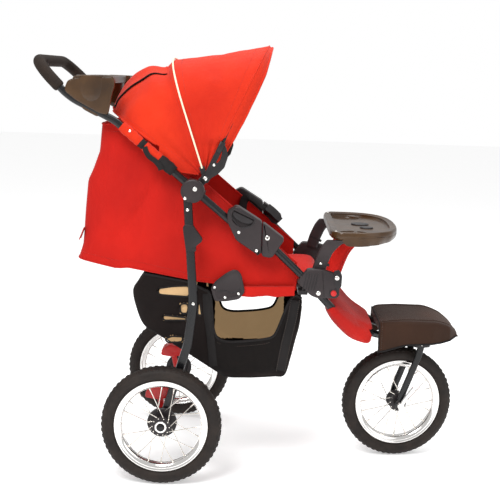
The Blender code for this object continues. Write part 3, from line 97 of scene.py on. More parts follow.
def addLight(name, spot, goal, size, power, colour=(1.0, 1.0, 1.0)):
    data = bpy.data.lights.new(name, "AREA")
    data.size = size
    data.energy = power
    data.color = colour
    lamp = bpy.data.objects.new(name, data)
    lamp.location = spot
    lamp.rotation_euler = (Vector(goal) - Vector(spot)).to_track_quat("-Z", "Y").to_euler()
    scene.collection.objects.link(lamp)


def setStage():
    world = bpy.data.worlds.new("studio")
    world.use_nodes = True
    sky = world.node_tree.nodes["Background"]
    sky.inputs["Color"].default_value = (*view["skyColour"], 1.0)
    sky.inputs["Strength"].default_value = view["skyStrength"]
    seen = world.node_tree.nodes.new("ShaderNodeLightPath")
    blend = world.node_tree.nodes.new("ShaderNodeMapRange")
    blend.inputs["To Min"].default_value = view["skyStrength"]
    blend.inputs["To Max"].default_value = view["backdrop"]
    world.node_tree.links.new(seen.outputs["Is Camera Ray"], blend.inputs["Value"])
    world.node_tree.links.new(blend.outputs["Result"], sky.inputs["Strength"])
    scene.world = world
    scene.view_settings.view_transform = "Standard"
    mesh = bpy.data.meshes.new("floor")
    reach = 14.0
    mesh.from_pydata([(-reach, -reach, 0.0), (reach, -reach, 0.0), (reach, reach, 0.0), (-reach, reach, 0.0)],
                     [], [(0, 1, 2, 3)])
    floor = bpy.data.objects.new("floor", mesh)
    scene.collection.objects.link(floor)
    paint = bpy.data.materials.new("floorPaint")
    paint.use_nodes = True
    shader = paint.node_tree.nodes["Principled BSDF"]
    shader.inputs["Base Color"].default_value = (*view["floorColour"], 1.0)
    shader.inputs["Roughness"].default_value = 0.9
    shader.inputs["Specular IOR Level"].default_value = 0.1
    shader.inputs["Emission Color"].default_value = (1.0, 1.0, 1.0, 1.0)
    shader.inputs["Emission Strength"].default_value = view["floorGlow"]
    mesh.materials.append(paint)
    addLight("keyLight", (-0.9, -2.3, 3.0), (0.0, 0.0, 0.5), 1.3, 78.0)
    addLight("fillLight", (2.4, -1.8, 1.6), (0.1, 0.0, 0.5), 2.0, 14.0)
    addLight("topLight", (0.2, 0.5, 3.2), (0.0, 0.0, 0.4), 2.2, 46.0)


setCamera()
setStage()
print("camera and stage ready")


# Finishes
def startFinish(name, colour, roughness, metallic=0.0):
    finish = bpy.data.materials.new(name)
    finish.use_nodes = True
    tree = finish.node_tree
    shader = tree.nodes["Principled BSDF"]
    shader.inputs["Base Color"].default_value = (*colour, 1.0)
    shader.inputs["Roughness"].default_value = roughness
    shader.inputs["Metallic"].default_value = metallic
    coord = tree.nodes.new("ShaderNodeTexCoord")
    return finish, tree, shader, coord


def addNoise(tree, coord, scale, detail=3.0, stretch=None, roughness=0.5):
    texture = tree.nodes.new("ShaderNodeTexNoise")
    texture.inputs["Scale"].default_value = scale
    texture.inputs["Detail"].default_value = detail
    texture.inputs["Roughness"].default_value = roughness
    source = coord.outputs["Object"]
    if stretch:
        mapping = tree.nodes.new("ShaderNodeMapping")
        mapping.inputs["Scale"].default_value = stretch
        tree.links.new(source, mapping.inputs["Vector"])
        source = mapping.outputs["Vector"]
    tree.links.new(source, texture.inputs["Vector"])
    return texture.outputs["Fac"]


def addWave(tree, coord, scale, direction, distortion=0.0):
    texture = tree.nodes.new("ShaderNodeTexWave")
    texture.wave_type = "BANDS"
    texture.bands_direction = direction
    texture.inputs["Scale"].default_value = scale
    texture.inputs["Distortion"].default_value = distortion
    tree.links.new(coord.outputs["Object"], texture.inputs["Vector"])
    return texture.outputs["Fac"]


def addMath(tree, operation, first, second):
    step = tree.nodes.new("ShaderNodeMath")
    step.operation = operation
    for socket, value in zip(step.inputs, (first, second)):
        if isinstance(value, (int, float)):
            socket.default_value = value
        else:
            tree.links.new(value, socket)
    return step.outputs["Value"]


def addBump(tree, shader, height, strength, distance, before=None):
    bump = tree.nodes.new("ShaderNodeBump")
    bump.inputs["Strength"].default_value = strength
    bump.inputs["Distance"].default_value = distance
    tree.links.new(height, bump.inputs["Height"])
    if before:
        tree.links.new(before, bump.inputs["Normal"])
    tree.links.new(bump.outputs["Normal"], shader.inputs["Normal"])
    return bump.outputs["Normal"]


# Colour ramp from a noise value
def addTones(tree, shader, value, stops):
    ramp = tree.nodes.new("ShaderNodeValToRGB")
    ramp.color_ramp.elements[0].position = stops[0][0]
    ramp.color_ramp.elements[0].color = (*stops[0][1], 1.0)
    ramp.color_ramp.elements[1].position = stops[-1][0]
    ramp.color_ramp.elements[1].color = (*stops[-1][1], 1.0)
    for position, colour in stops[1:-1]:
        ramp.color_ramp.elements.new(position).color = (*colour, 1.0)
    tree.links.new(value, ramp.inputs["Fac"])
    tree.links.new(ramp.outputs["Color"], shader.inputs["Base Color"])


# Maps a value to a socket between two ends
def addRange(tree, shader, value, low, high, socket="Roughness"):
    span = tree.nodes.new("ShaderNodeMapRange")
    span.inputs["To Min"].default_value = low
    span.inputs["To Max"].default_value = high
    tree.links.new(value, span.inputs["Value"])
    tree.links.new(span.outputs["Result"], shader.inputs[socket])


def clothFinish(name, bright, deep, rough=0.82, weave=230.0, crease=0.0016, sheen=0.25):
    finish, tree, shader, coord = startFinish(name, bright, rough)
    shader.inputs["Sheen Weight"].default_value = sheen
    shader.inputs["Sheen Roughness"].default_value = 0.45
    shader.inputs["Specular IOR Level"].default_value = 0.14
    broad = addNoise(tree, coord, 6.0, 4.0, (1.0, 1.0, 0.7))
    addTones(tree, shader, broad, ((0.30, deep), (0.68, bright)))
    soft = addBump(tree, shader, addNoise(tree, coord, 17.0, 3.0, (1.0, 1.0, 0.55)), 0.6, crease)
    fine = addNoise(tree, coord, 60.0, 3.0)
    mid = addBump(tree, shader, fine, 0.35, crease * 0.3, soft)
    threads = addMath(tree, "MULTIPLY", addWave(tree, coord, weave, "X"), addWave(tree, coord, weave, "Z"))
    threads = addMath(tree, "ADD", threads, addWave(tree, coord, weave, "Y"))
    addBump(tree, shader, threads, 0.5, 0.00018, mid)
    addRange(tree, shader, fine, rough - 0.08, rough + 0.08)
    return finish


# Mesh cloth; the last argument makes it glow in its bright colour, painted light shining through the holes
def netFinish(name, bright, deep, paintedLightThrough=0.0):
    finish, tree, shader, coord = startFinish(name, bright, 0.85)
    shader.inputs["Specular IOR Level"].default_value = 0.14
    across = addWave(tree, coord, 105.0, "X")
    down = addWave(tree, coord, 105.0, "Z")
    shader.inputs["Emission Color"].default_value = (*bright, 1.0)
    shader.inputs["Emission Strength"].default_value = paintedLightThrough
    holes = addMath(tree, "MULTIPLY", across, down)
    mottled = addMath(tree, "MULTIPLY", holes, addNoise(tree, coord, 22.0, 4.0))
    addTones(tree, shader, mottled, ((0.06, bright), (0.42, deep)))
    addBump(tree, shader, holes, 0.6, 0.0006)
    return finish


def mouldedFinish(name, bright, deep, rough, grain=620.0, depth=0.00016, coat=0.0):
    finish, tree, shader, coord = startFinish(name, bright, rough)
    shader.inputs["Coat Weight"].default_value = coat
    shader.inputs["Coat Roughness"].default_value = 0.12
    shader.inputs["Specular IOR Level"].default_value = 0.34
    broad = addNoise(tree, coord, 11.0, 5.0)
    addTones(tree, shader, broad, ((0.32, deep), (0.70, bright)))
    addBump(tree, shader, addNoise(tree, coord, grain, 2.0), 0.55, depth)
    addRange(tree, shader, addNoise(tree, coord, 38.0, 4.0), rough - 0.07, rough + 0.09)
    return finish


def rubberFinish(name, bright, deep, rough, depth=0.0003):
    finish, tree, shader, coord = startFinish(name, bright, rough)
    shader.inputs["Specular IOR Level"].default_value = 0.22
    dust = addNoise(tree, coord, 24.0, 6.0, roughness=0.7)
    addTones(tree, shader, dust, ((0.35, deep), (0.72, bright)))
    addBump(tree, shader, addNoise(tree, coord, 420.0, 3.0), 0.5, depth)
    addRange(tree, shader, dust, rough - 0.10, rough + 0.10)
    return finish


def metalFinish(name, colour, rough, metallic=1.0, scratch=0.00006, coat=0.0):
    finish, tree, shader, coord = startFinish(name, colour, rough, metallic)
    shader.inputs["Coat Weight"].default_value = coat
    shader.inputs["Coat Roughness"].default_value = 0.08
    shader.inputs["Specular IOR Level"].default_value = 0.32
    smudge = addNoise(tree, coord, 30.0, 5.0)
    addRange(tree, shader, smudge, max(rough - 0.05, 0.02), rough + 0.08)
    addBump(tree, shader, addNoise(tree, coord, 240.0, 2.0, (1.0, 0.12, 1.0)), 0.35, scratch)
    return finish


finishes = {
    "canopyCloth": clothFinish("canopyCloth", (0.62, 0.031, 0.008), (0.46, 0.016, 0.006), crease=0.0060, sheen=0.08),
    "seatCloth": clothFinish("seatCloth", (0.52, 0.0120, 0.0065), (0.36, 0.0075, 0.0050), crease=0.0046, sheen=0.08),
    "padCloth": clothFinish("padCloth", (0.62, 0.017, 0.010), (0.48, 0.011, 0.008), crease=0.0010, sheen=0.08),
    "darkCloth": clothFinish("darkCloth", (0.014, 0.0095, 0.0085), (0.007, 0.005, 0.005), 0.88, sheen=0.03),
    "coverCloth": clothFinish("coverCloth", (0.050, 0.022, 0.012), (0.026, 0.012, 0.007), 0.66, crease=0.0006,
                              sheen=0.05),
    "webbing": clothFinish("webbing", (0.020, 0.018, 0.018), (0.009, 0.008, 0.008), 0.75, weave=320.0,
                           crease=0.0003, sheen=0.03),
    # The tan net glows: painted light seen through the mesh
    "net": netFinish("net", (0.50, 0.33, 0.17), (0.26, 0.16, 0.08), 0.42),
    "darkNet": netFinish("darkNet", (0.006, 0.005, 0.005), (0.016, 0.012, 0.010)),
    "piping": mouldedFinish("piping", (0.93, 0.80, 0.62), (0.86, 0.68, 0.48), 0.55, depth=0.0001),
    "thread": clothFinish("thread", (0.42, 0.020, 0.012), (0.30, 0.014, 0.010), 0.7, crease=0.0001),
    "paleThread": clothFinish("paleThread", (0.12, 0.09, 0.07), (0.07, 0.05, 0.04), 0.7, crease=0.0001),
    "tyreRubber": rubberFinish("tyreRubber", (0.030, 0.022, 0.018), (0.013, 0.010, 0.009), 0.60),
    "gripFoam": rubberFinish("gripFoam", (0.026, 0.016, 0.011), (0.013, 0.009, 0.007), 0.80, 0.0006),
    "greyMoulding": mouldedFinish("greyMoulding", (0.034, 0.025, 0.026), (0.017, 0.012, 0.013), 0.40),
    "darkMoulding": mouldedFinish("darkMoulding", (0.022, 0.018, 0.019), (0.011, 0.009, 0.010), 0.38),
    "trayMoulding": mouldedFinish("trayMoulding", (0.075, 0.036, 0.012), (0.028, 0.013, 0.005), 0.30, coat=0.10),
    "redMoulding": mouldedFinish("redMoulding", (0.62, 0.018, 0.016), (0.44, 0.012, 0.012), 0.34, coat=0.2),
    "blackPaint": metalFinish("blackPaint", (0.005, 0.005, 0.006), 0.26, 0.0, coat=0.15),
    "chrome": metalFinish("chrome", (0.86, 0.84, 0.82), 0.10),
    "spokeSteel": metalFinish("spokeSteel", (0.80, 0.76, 0.70), 0.20),
    "rivetSteel": metalFinish("rivetSteel", (0.88, 0.86, 0.82), 0.22),
}
print("finishes ready")


# Builders
def place(name, mesh, finish=None):
    piece = bpy.data.objects.new(name, mesh)
    scene.collection.objects.link(piece)
    if finish:
        mesh.materials.append(finishes[finish])
    return piece


def soften(mesh, angle=38.0):
    mesh.polygons.foreach_set("use_smooth", [True] * len(mesh.polygons))
    mesh.set_sharp_from_angle(angle=math.radians(angle))


def meshPiece(name, points, faces, finish, angle=38.0, outward=True):
    mesh = bpy.data.meshes.new(name)
    mesh.from_pydata([tuple(point) for point in points], [], faces)
    form = bmesh.new()
    form.from_mesh(mesh)
    bmesh.ops.remove_doubles(form, verts=form.verts, dist=0.000002)
    if outward:
        bmesh.ops.recalc_face_normals(form, faces=form.faces)
    form.to_mesh(mesh)
    form.free()
    soften(mesh, angle)
    return place(name, mesh, finish)


# Turns a piece with its modifiers into a plain mesh
def bake(piece, angle=None):
    bpy.context.view_layer.update()
    graph = bpy.context.evaluated_depsgraph_get()
    mesh = bpy.data.meshes.new_from_object(piece.evaluated_get(graph), depsgraph=graph)
    mesh.transform(piece.matrix_world)
    name = piece.name
    bpy.data.objects.remove(piece, do_unlink=True)
    if angle:
        soften(mesh, angle)
    return place(name, mesh)


def merge(name, pieces):
    form = bmesh.new()
    mesh = bpy.data.meshes.new(name)
    for piece in pieces:
        for finish in piece.data.materials:
            if finish.name not in [m.name for m in mesh.materials]:
                mesh.materials.append(finish)
    slots = [m.name for m in mesh.materials]
    for piece in pieces:
        first = len(form.faces)
        form.from_mesh(piece.data)
        form.faces.ensure_lookup_table()
        own = [slots.index(m.name) for m in piece.data.materials]
        for face in form.faces[first:]:
            face.material_index = own[min(face.material_index, len(own) - 1)]
    form.to_mesh(mesh)
    form.free()
    for piece in pieces:
        bpy.data.objects.remove(piece, do_unlink=True)
    return place(name, mesh)


# A skin over rings of equal length, closed round and capped unless told otherwise
def loft(name, rings, finish, caps=True, closed=True, angle=38.0):
    count = len(rings[0])
    points = [point for ring in rings for point in ring]
    faces = []
    for row in range(len(rings) - 1):
        for i in range(count if closed else count - 1):
            j = (i + 1) % count
            faces.append((row * count + i, row * count + j, (row + 1) * count + j, (row + 1) * count + i))
    if caps:
        faces.append(tuple(range(count))[::-1])
        faces.append(tuple((len(rings) - 1) * count + i for i in range(count)))
    return meshPiece(name, points, faces, finish, angle)


# Turns a (radius, along) profile round a level axis
def revolve(name, profile, centre, heading, finish, steps=72, closed=True, angle=38.0):
    turn = Matrix.Translation(centre) @ Matrix.Rotation(heading, 4, "Z")
    rings = []
    for i in range(steps):
        around = 2 * math.pi * i / steps
        rings.append([turn @ Vector((r * math.cos(around), t, r * math.sin(around))) for r, t in profile])
    count = len(profile)
    faces = []
    for row in range(steps):
        after = (row + 1) % steps
        for i in range(count if closed else count - 1):
            j = (i + 1) % count
            faces.append((row * count + i, row * count + j, after * count + j, after * count + i))
    return meshPiece(name, [point for ring in rings for point in ring], faces, finish, angle)


def tubeAlong(name, points, radius, finish, steps=10, fill=True):
    curve = bpy.data.curves.new(name, "CURVE")
    curve.dimensions = "3D"
    curve.bevel_depth = radius
    curve.bevel_resolution = steps // 2
    curve.use_fill_caps = fill
    spline = curve.splines.new("POLY")
    spline.points.add(len(points) - 1)
    for spot, point in zip(spline.points, points):
        spot.co = (*point, 1.0)
    return finishMesh(bake(place(name, curve)), finish)


def edgeTube(name, points, radius, finish, steps=8):
    return tubeAlong(name, points, radius, finish, steps)


def finishMesh(piece, finish, angle=38.0):
    piece.data.materials.clear()
    piece.data.materials.append(finishes[finish])
    soften(piece.data, angle)
    return piece


def roundedPath(points, radii, steps=14):
    points = [Vector(point) for point in points]
    path = [points[0]]
    for before, corner, after, radius in zip(points, points[1:], points[2:], radii):
        toBefore = (before - corner).normalized()
        toAfter = (after - corner).normalized()
        half = toBefore.angle(toAfter) / 2
        reach = radius / math.tan(half)
        centre = corner + (toBefore + toAfter).normalized() * radius / math.sin(half)
        start = corner + toBefore * reach - centre
        end = corner + toAfter * reach - centre
        whole = start.angle(end)
        for i in range(steps + 1):
            share = i / steps
            path.append(centre + (start * math.sin((1 - share) * whole)
                                  + end * math.sin(share * whole)) / math.sin(whole))
    path.append(points[-1])
    return path


def smoothLine(points, steps=6, closed=False):
    points = [Vector(point) for point in points]
    count = len(points)
    line = []
    spans = count if closed else count - 1
    for i in range(spans):
        if closed:
            a, b, c, d = (points[(i + k) % count] for k in (-1, 0, 1, 2))
        else:
            a, b = points[max(i - 1, 0)], points[i]
            c, d = points[i + 1], points[min(i + 2, count - 1)]
        for k in range(steps):
            t = k / steps
            line.append(0.5 * ((2 * b) + (c - a) * t + (2 * a - 5 * b + 4 * c - d) * t * t
                               + (3 * b - a - 3 * c + d) * t ** 3))
    if not closed:
        line.append(points[-1])
    return line


def boxy(value, power):
    return math.copysign(abs(value) ** power, value)


def roundCorners(outline, radius, steps=5):
    count = len(outline)
    result = []
    for i in range(count):
        before, corner, after = (Vector(outline[(i + k) % count]) for k in (-1, 0, 1))
        reach = min(radius, (before - corner).length * 0.45, (after - corner).length * 0.45)
        start = corner + (before - corner).normalized() * reach
        end = corner + (after - corner).normalized() * reach
        for k in range(steps + 1):
            t = k / steps
            result.append(start * (1 - t) ** 2 + corner * 2 * t * (1 - t) + end * t * t)
    return result


# Moves an outline inwards, corner by corner
def insetLoop(loop, distance):
    count = len(loop)
    area = sum(loop[i].x * loop[(i + 1) % count].y - loop[(i + 1) % count].x * loop[i].y for i in range(count))
    sign = 1 if area > 0 else -1
    result = []
    for i in range(count):
        run = loop[(i + 1) % count] - loop[i - 1]
        normal = Vector((-run.y, run.x)).normalized() * sign
        result.append(loop[i] + normal * distance)
    return result


# A plate with rounded corners and edges, between two distances from the middle plane
def moulded(name, outline, low, high, finish, edge=0.0025, corner=0.006, crown=0.0, steps=3):
    loop = roundCorners(outline, corner) if corner else [Vector(point) for point in outline]
    middle = sum(loop, Vector((0.0, 0.0))) / len(loop)
    near, far = min(low, high), max(low, high)
    edge = min(edge, (far - near) * 0.45)
    rings = []
    levels = []
    for k in range(steps + 1):
        angle = math.pi / 2 * k / steps
        levels.append((edge * (1 - math.sin(angle)), edge * (1 - math.cos(angle))))
    for inset, rise in levels:
        rings.append([lift(point, near + rise) for point in insetLoop(loop, inset)])
    for inset, rise in reversed(levels):
        rings.append([lift(point, far - rise) for point in insetLoop(loop, inset)])
    if crown:
        outer = rings[-1] if abs(far) > abs(near) else rings[0]
        direction = 1 if abs(far) > abs(near) else -1
        domes = []
        for share in (0.35, 0.7):
            ring = []
            for point in outer:
                centre = Vector((middle.x + originX, point.y, middle.y))
                ring.append(point.lerp(centre, share) + Vector((0, direction * crown * math.sin(share * 2.1), 0)))
            domes.append(ring)
        rings = rings + domes if direction > 0 else domes[::-1] + rings
    return loft(name, rings, finish)


def flatBar(name, path, width, low, high, finish, edge=0.004):
    left, right = [], []
    for i, point in enumerate(path):
        ahead = Vector(path[min(i + 1, len(path) - 1)]) - Vector(path[max(i - 1, 0)])
        normal = Vector((-ahead.y, ahead.x)).normalized() * width / 2
        left.append(Vector(point) + normal)
        right.append(Vector(point) - normal)
    return moulded(name, left + right[::-1], low, high, finish, edge, 0.0)


# Cuts other pieces out of one piece and keeps its finish
def carve(piece, cutters, angle=38.0):
    for cutter in cutters:
        change = piece.modifiers.new("carve", "BOOLEAN")
        change.operation = "DIFFERENCE"
        change.solver = "EXACT"
        change.object = cutter
    finish = piece.data.materials[0]
    piece = bake(piece)
    for cutter in cutters:
        bpy.data.objects.remove(cutter, do_unlink=True)
    piece.data.materials.clear()
    piece.data.materials.append(finish)
    piece.data.polygons.foreach_set("material_index", [0] * len(piece.data.polygons))
    soften(piece.data, angle)
    return piece


# Turns a finished piece to the other side of the middle plane
def mirror(piece):
    for vertex in piece.data.vertices:
        vertex.co.y = -vertex.co.y
    piece.data.flip_normals()


def disc(centre, radius, steps=28):
    return [Vector((centre[0] + radius * math.cos(2 * math.pi * i / steps),
                    centre[1] + radius * math.sin(2 * math.pi * i / steps))) for i in range(steps)]


# Cloth from rows of points, with a real thickness
def sheetPiece(name, rows, thickness, finish, offset=0.0):
    count = len(rows[0])
    points = [point for row in rows for point in row]
    faces = [(r * count + i, r * count + i + 1, (r + 1) * count + i + 1, (r + 1) * count + i)
             for r in range(len(rows) - 1) for i in range(count - 1)]
    piece = meshPiece(name, points, faces, finish)
    wall = piece.modifiers.new("cloth", "SOLIDIFY")
    wall.thickness = thickness
    wall.offset = offset
    piece = bake(piece)
    soften(piece.data, 60.0)
    return piece


# Geometry Nodes: round an axle, rivets at points, stitches along a line
def startTree(name, inputs):
    tree = bpy.data.node_groups.new(name, "GeometryNodeTree")
    tree.interface.new_socket("Geometry", in_out="INPUT", socket_type="NodeSocketGeometry")
    sockets = {}
    for label, kind in inputs:
        sockets[label] = tree.interface.new_socket(label, in_out="INPUT", socket_type=kind).identifier
    tree.interface.new_socket("Geometry", in_out="OUTPUT", socket_type="NodeSocketGeometry")
    return tree, sockets, tree.nodes.new("NodeGroupInput"), tree.nodes.new("NodeGroupOutput")


def closeTree(tree, source, given, result):
    real = tree.nodes.new("GeometryNodeRealizeInstances")
    smooth = tree.nodes.new("GeometryNodeSetShadeSmooth")
    paint = tree.nodes.new("GeometryNodeSetMaterial")
    tree.links.new(source, real.inputs["Geometry"])
    tree.links.new(real.outputs["Geometry"], smooth.inputs["Geometry"])
    tree.links.new(smooth.outputs["Geometry"], paint.inputs["Geometry"])
    tree.links.new(given.outputs["Finish"], paint.inputs["Material"])
    tree.links.new(paint.outputs["Geometry"], result.inputs["Geometry"])


def makeAroundTree():
    tree, sockets, given, result = startTree("aroundAxle", (("Count", "NodeSocketInt"),
                                                            ("Finish", "NodeSocketMaterial")))
    line = tree.nodes.new("GeometryNodeMeshLine")
    line.inputs["Offset"].default_value = (0.0, 0.0, 0.0)
    tree.links.new(given.outputs["Count"], line.inputs["Count"])
    index = tree.nodes.new("GeometryNodeInputIndex")
    step = tree.nodes.new("ShaderNodeMath")
    step.operation = "DIVIDE"
    step.inputs[0].default_value = 2 * math.pi
    tree.links.new(given.outputs["Count"], step.inputs[1])
    angle = tree.nodes.new("ShaderNodeMath")
    angle.operation = "MULTIPLY"
    tree.links.new(index.outputs["Index"], angle.inputs[0])
    tree.links.new(step.outputs["Value"], angle.inputs[1])
    turn = tree.nodes.new("ShaderNodeCombineXYZ")
    tree.links.new(angle.outputs["Value"], turn.inputs["Y"])
    copies = tree.nodes.new("GeometryNodeInstanceOnPoints")
    tree.links.new(line.outputs["Mesh"], copies.inputs["Points"])
    tree.links.new(given.outputs["Geometry"], copies.inputs["Instance"])
    tree.links.new(turn.outputs["Vector"], copies.inputs["Rotation"])
    closeTree(tree, copies.outputs["Instances"], given, result)
    return tree, sockets


def makeRivetTree():
    tree, sockets, given, result = startTree("rivetHeads", (
        ("Radius", "NodeSocketFloat"), ("Height", "NodeSocketFloat"), ("Facing", "NodeSocketVector"),
        ("Finish", "NodeSocketMaterial")))
    dome = tree.nodes.new("GeometryNodeMeshUVSphere")
    dome.inputs["Segments"].default_value = 16
    dome.inputs["Rings"].default_value = 8
    dome.inputs["Radius"].default_value = 1.0
    size = tree.nodes.new("ShaderNodeCombineXYZ")
    for axis, label in (("X", "Radius"), ("Y", "Radius"), ("Z", "Height")):
        tree.links.new(given.outputs[label], size.inputs[axis])
    shape = tree.nodes.new("GeometryNodeTransform")
    tree.links.new(dome.outputs["Mesh"], shape.inputs["Geometry"])
    tree.links.new(size.outputs["Vector"], shape.inputs["Scale"])
    copies = tree.nodes.new("GeometryNodeInstanceOnPoints")
    tree.links.new(given.outputs["Geometry"], copies.inputs["Points"])
    tree.links.new(shape.outputs["Geometry"], copies.inputs["Instance"])
    tree.links.new(given.outputs["Facing"], copies.inputs["Rotation"])
    closeTree(tree, copies.outputs["Instances"], given, result)
    return tree, sockets


def makeStitchTree():
    tree, sockets, given, result = startTree("stitchLine", (
        ("Pitch", "NodeSocketFloat"), ("Length", "NodeSocketFloat"), ("Thread", "NodeSocketFloat"),
        ("Finish", "NodeSocketMaterial")))
    spaced = tree.nodes.new("GeometryNodeResampleCurve")
    spaced.mode = "LENGTH"
    tree.links.new(given.outputs["Geometry"], spaced.inputs["Curve"])
    tree.links.new(given.outputs["Pitch"], spaced.inputs["Length"])
    bead = tree.nodes.new("GeometryNodeMeshUVSphere")
    bead.inputs["Segments"].default_value = 6
    bead.inputs["Rings"].default_value = 4
    bead.inputs["Radius"].default_value = 1.0
    size = tree.nodes.new("ShaderNodeCombineXYZ")
    for axis, label in (("X", "Length"), ("Y", "Thread"), ("Z", "Thread")):
        tree.links.new(given.outputs[label], size.inputs[axis])
    shape = tree.nodes.new("GeometryNodeTransform")
    tree.links.new(bead.outputs["Mesh"], shape.inputs["Geometry"])
    tree.links.new(size.outputs["Vector"], shape.inputs["Scale"])
    tangent = tree.nodes.new("GeometryNodeInputTangent")
    aim = tree.nodes.new("FunctionNodeAlignRotationToVector")
    aim.axis = "X"
    tree.links.new(tangent.outputs["Tangent"], aim.inputs["Vector"])
    copies = tree.nodes.new("GeometryNodeInstanceOnPoints")
    tree.links.new(spaced.outputs["Curve"], copies.inputs["Points"])
    tree.links.new(shape.outputs["Geometry"], copies.inputs["Instance"])
    tree.links.new(aim.outputs["Rotation"], copies.inputs["Rotation"])
    closeTree(tree, copies.outputs["Instances"], given, result)
    return tree, sockets


aroundTree, aroundSockets = makeAroundTree()
rivetTree, rivetSockets = makeRivetTree()
stitchTree, stitchSockets = makeStitchTree()


def runTree(piece, tree, sockets, values):
    change = piece.modifiers.new("pattern", "NODES")
    change.node_group = tree
    for label, value in values.items():
        change[sockets[label]] = value
    piece.update_tag()
    made = bake(piece)
    made.data.materials.clear()
    made.data.materials.append(values["Finish"])
    made.data.polygons.foreach_set("material_index", [0] * len(made.data.polygons))
    return made


def around(name, unit, count, centre, heading, finish):
    unit.name = name
    made = runTree(unit, aroundTree, aroundSockets, {"Count": count, "Finish": finishes[finish]})
    made.data.transform(Matrix.Translation(centre) @ Matrix.Rotation(heading, 4, "Z"))
    made.name = name
    return made


def rivets(name, points, side, radius=0.0042, height=0.0022, finish="rivetSteel", tilt=None):
    mesh = bpy.data.meshes.new(name)
    mesh.from_pydata([tuple(point) for point in points], [], [])
    facing = tilt or (-side * math.pi / 2, 0.0, 0.0)
    return runTree(place(name, mesh), rivetTree, rivetSockets,
                   {"Radius": radius, "Height": height, "Facing": facing, "Finish": finishes[finish]})


def stitches(name, points, finish="thread", pitch=0.0052, length=0.0017, thread=0.00042):
    curve = bpy.data.curves.new(name, "CURVE")
    curve.dimensions = "3D"
    spline = curve.splines.new("POLY")
    spline.points.add(len(points) - 1)
    for spot, point in zip(spline.points, points):
        spot.co = (*point, 1.0)
    return runTree(place(name, curve), stitchTree, stitchSockets,
                   {"Pitch": pitch, "Length": length, "Thread": thread, "Finish": finishes[finish]})


# Hangs a piece on what it rides on and hides the nodes that it stands for
def fit(piece, body, slot, *stands):
    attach(piece, body)
    if stands:
        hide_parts(*stands)
    return piece


# Wheels
wheelLook = {
    "tyreRadius": 0.1516, "tyreSteps": 112, "lugCount": 60, "spokeCount": 20, "spokeRadius": 0.00105,
    "hubFlange": 0.0245, "hubLength": 0.047, "drumRadius": 0.0375, "nippleRadius": 0.0021,
}


def makeTyre(prefix, centre, heading, body, node):
    outer = wheelLook["tyreRadius"]
    half = [(outer - 0.0016, 0.0), (outer - 0.0017, 0.0042), (outer - 0.0034, 0.0046), (outer - 0.0034, 0.0062),
            (outer - 0.0020, 0.0066), (outer - 0.0032, 0.0118), (outer - 0.0062, 0.0166), (outer - 0.0104, 0.0202),
            (outer - 0.0150, 0.0222), (outer - 0.0196, 0.0228), (outer - 0.0242, 0.0219), (outer - 0.0280, 0.0200),
            (outer - 0.0306, 0.0178), (outer - 0.0322, 0.0182), (outer - 0.0332, 0.0160), (outer - 0.0342, 0.0118),
            (outer - 0.0400, 0.0104), (outer - 0.0440, 0.0098)]
    profile = half + [(r, -t) for r, t in reversed(half[1:])]
    carcass = revolve(prefix + "Carcass", profile, centre, heading, "tyreRubber", wheelLook["tyreSteps"], angle=50.0)
    rows = []
    for side in (1, -1):
        for kind, (start, end, shift) in enumerate(((0.0072, 0.0132, 0.0), (0.0138, 0.0186, 0.5))):
            width = 2 * math.pi / wheelLook["lugCount"] * 0.30
            middle = 2 * math.pi / wheelLook["lugCount"] * shift
            corners = []
            for drop in (0.0075 if kind else 0.0050, 0.0):
                for t in (start, end):
                    rise = outer - (0.0004 if kind == 0 else 0.0040) - (0.0026 if t == end else 0.0) - drop
                    for spin in (middle - width, middle + width):
                        grow = 1.0 if drop else 0.82
                        angle = middle + (spin - middle) * grow
                        corners.append(Vector((rise * math.cos(angle), side * t, rise * math.sin(angle))))
            faces = [(0, 1, 3, 2), (4, 6, 7, 5), (0, 4, 5, 1), (2, 3, 7, 6), (0, 2, 6, 4), (1, 5, 7, 3)]
            lug = meshPiece(prefix + "Lug", corners, faces, "tyreRubber", 30.0)
            rows.append(around(prefix + "Lugs%d%d" % (side, kind), lug, wheelLook["lugCount"], centre, heading,
                               "tyreRubber"))
    tyre = merge(prefix + "Tyre", [carcass] + rows)
    tyre.data.set_sharp_from_angle(angle=math.radians(45.0))
    return fit(tyre, body, "tyre_rubber", node + "_tyre")


def makeRim(prefix, centre, heading, body, node):
    half = [(0.1062, 0.0), (0.1064, 0.0090), (0.1066, 0.0113), (0.1150, 0.0117), (0.1166, 0.0130), (0.1174, 0.0150),
            (0.1168, 0.0164), (0.1152, 0.0168), (0.1136, 0.0160), (0.1122, 0.0150), (0.1100, 0.0150), (0.1076, 0.0144),
            (0.1046, 0.0128), (0.1014, 0.0108), (0.0996, 0.0078), (0.0990, 0.0040), (0.0988, 0.0)]
    profile = half + [(r, -t) for r, t in reversed(half[1:-1])]
    rim = revolve(prefix + "Rim", profile, centre, heading, "chrome", 128, angle=45.0)
    return fit(rim, body, "chrome", node + "_rim")


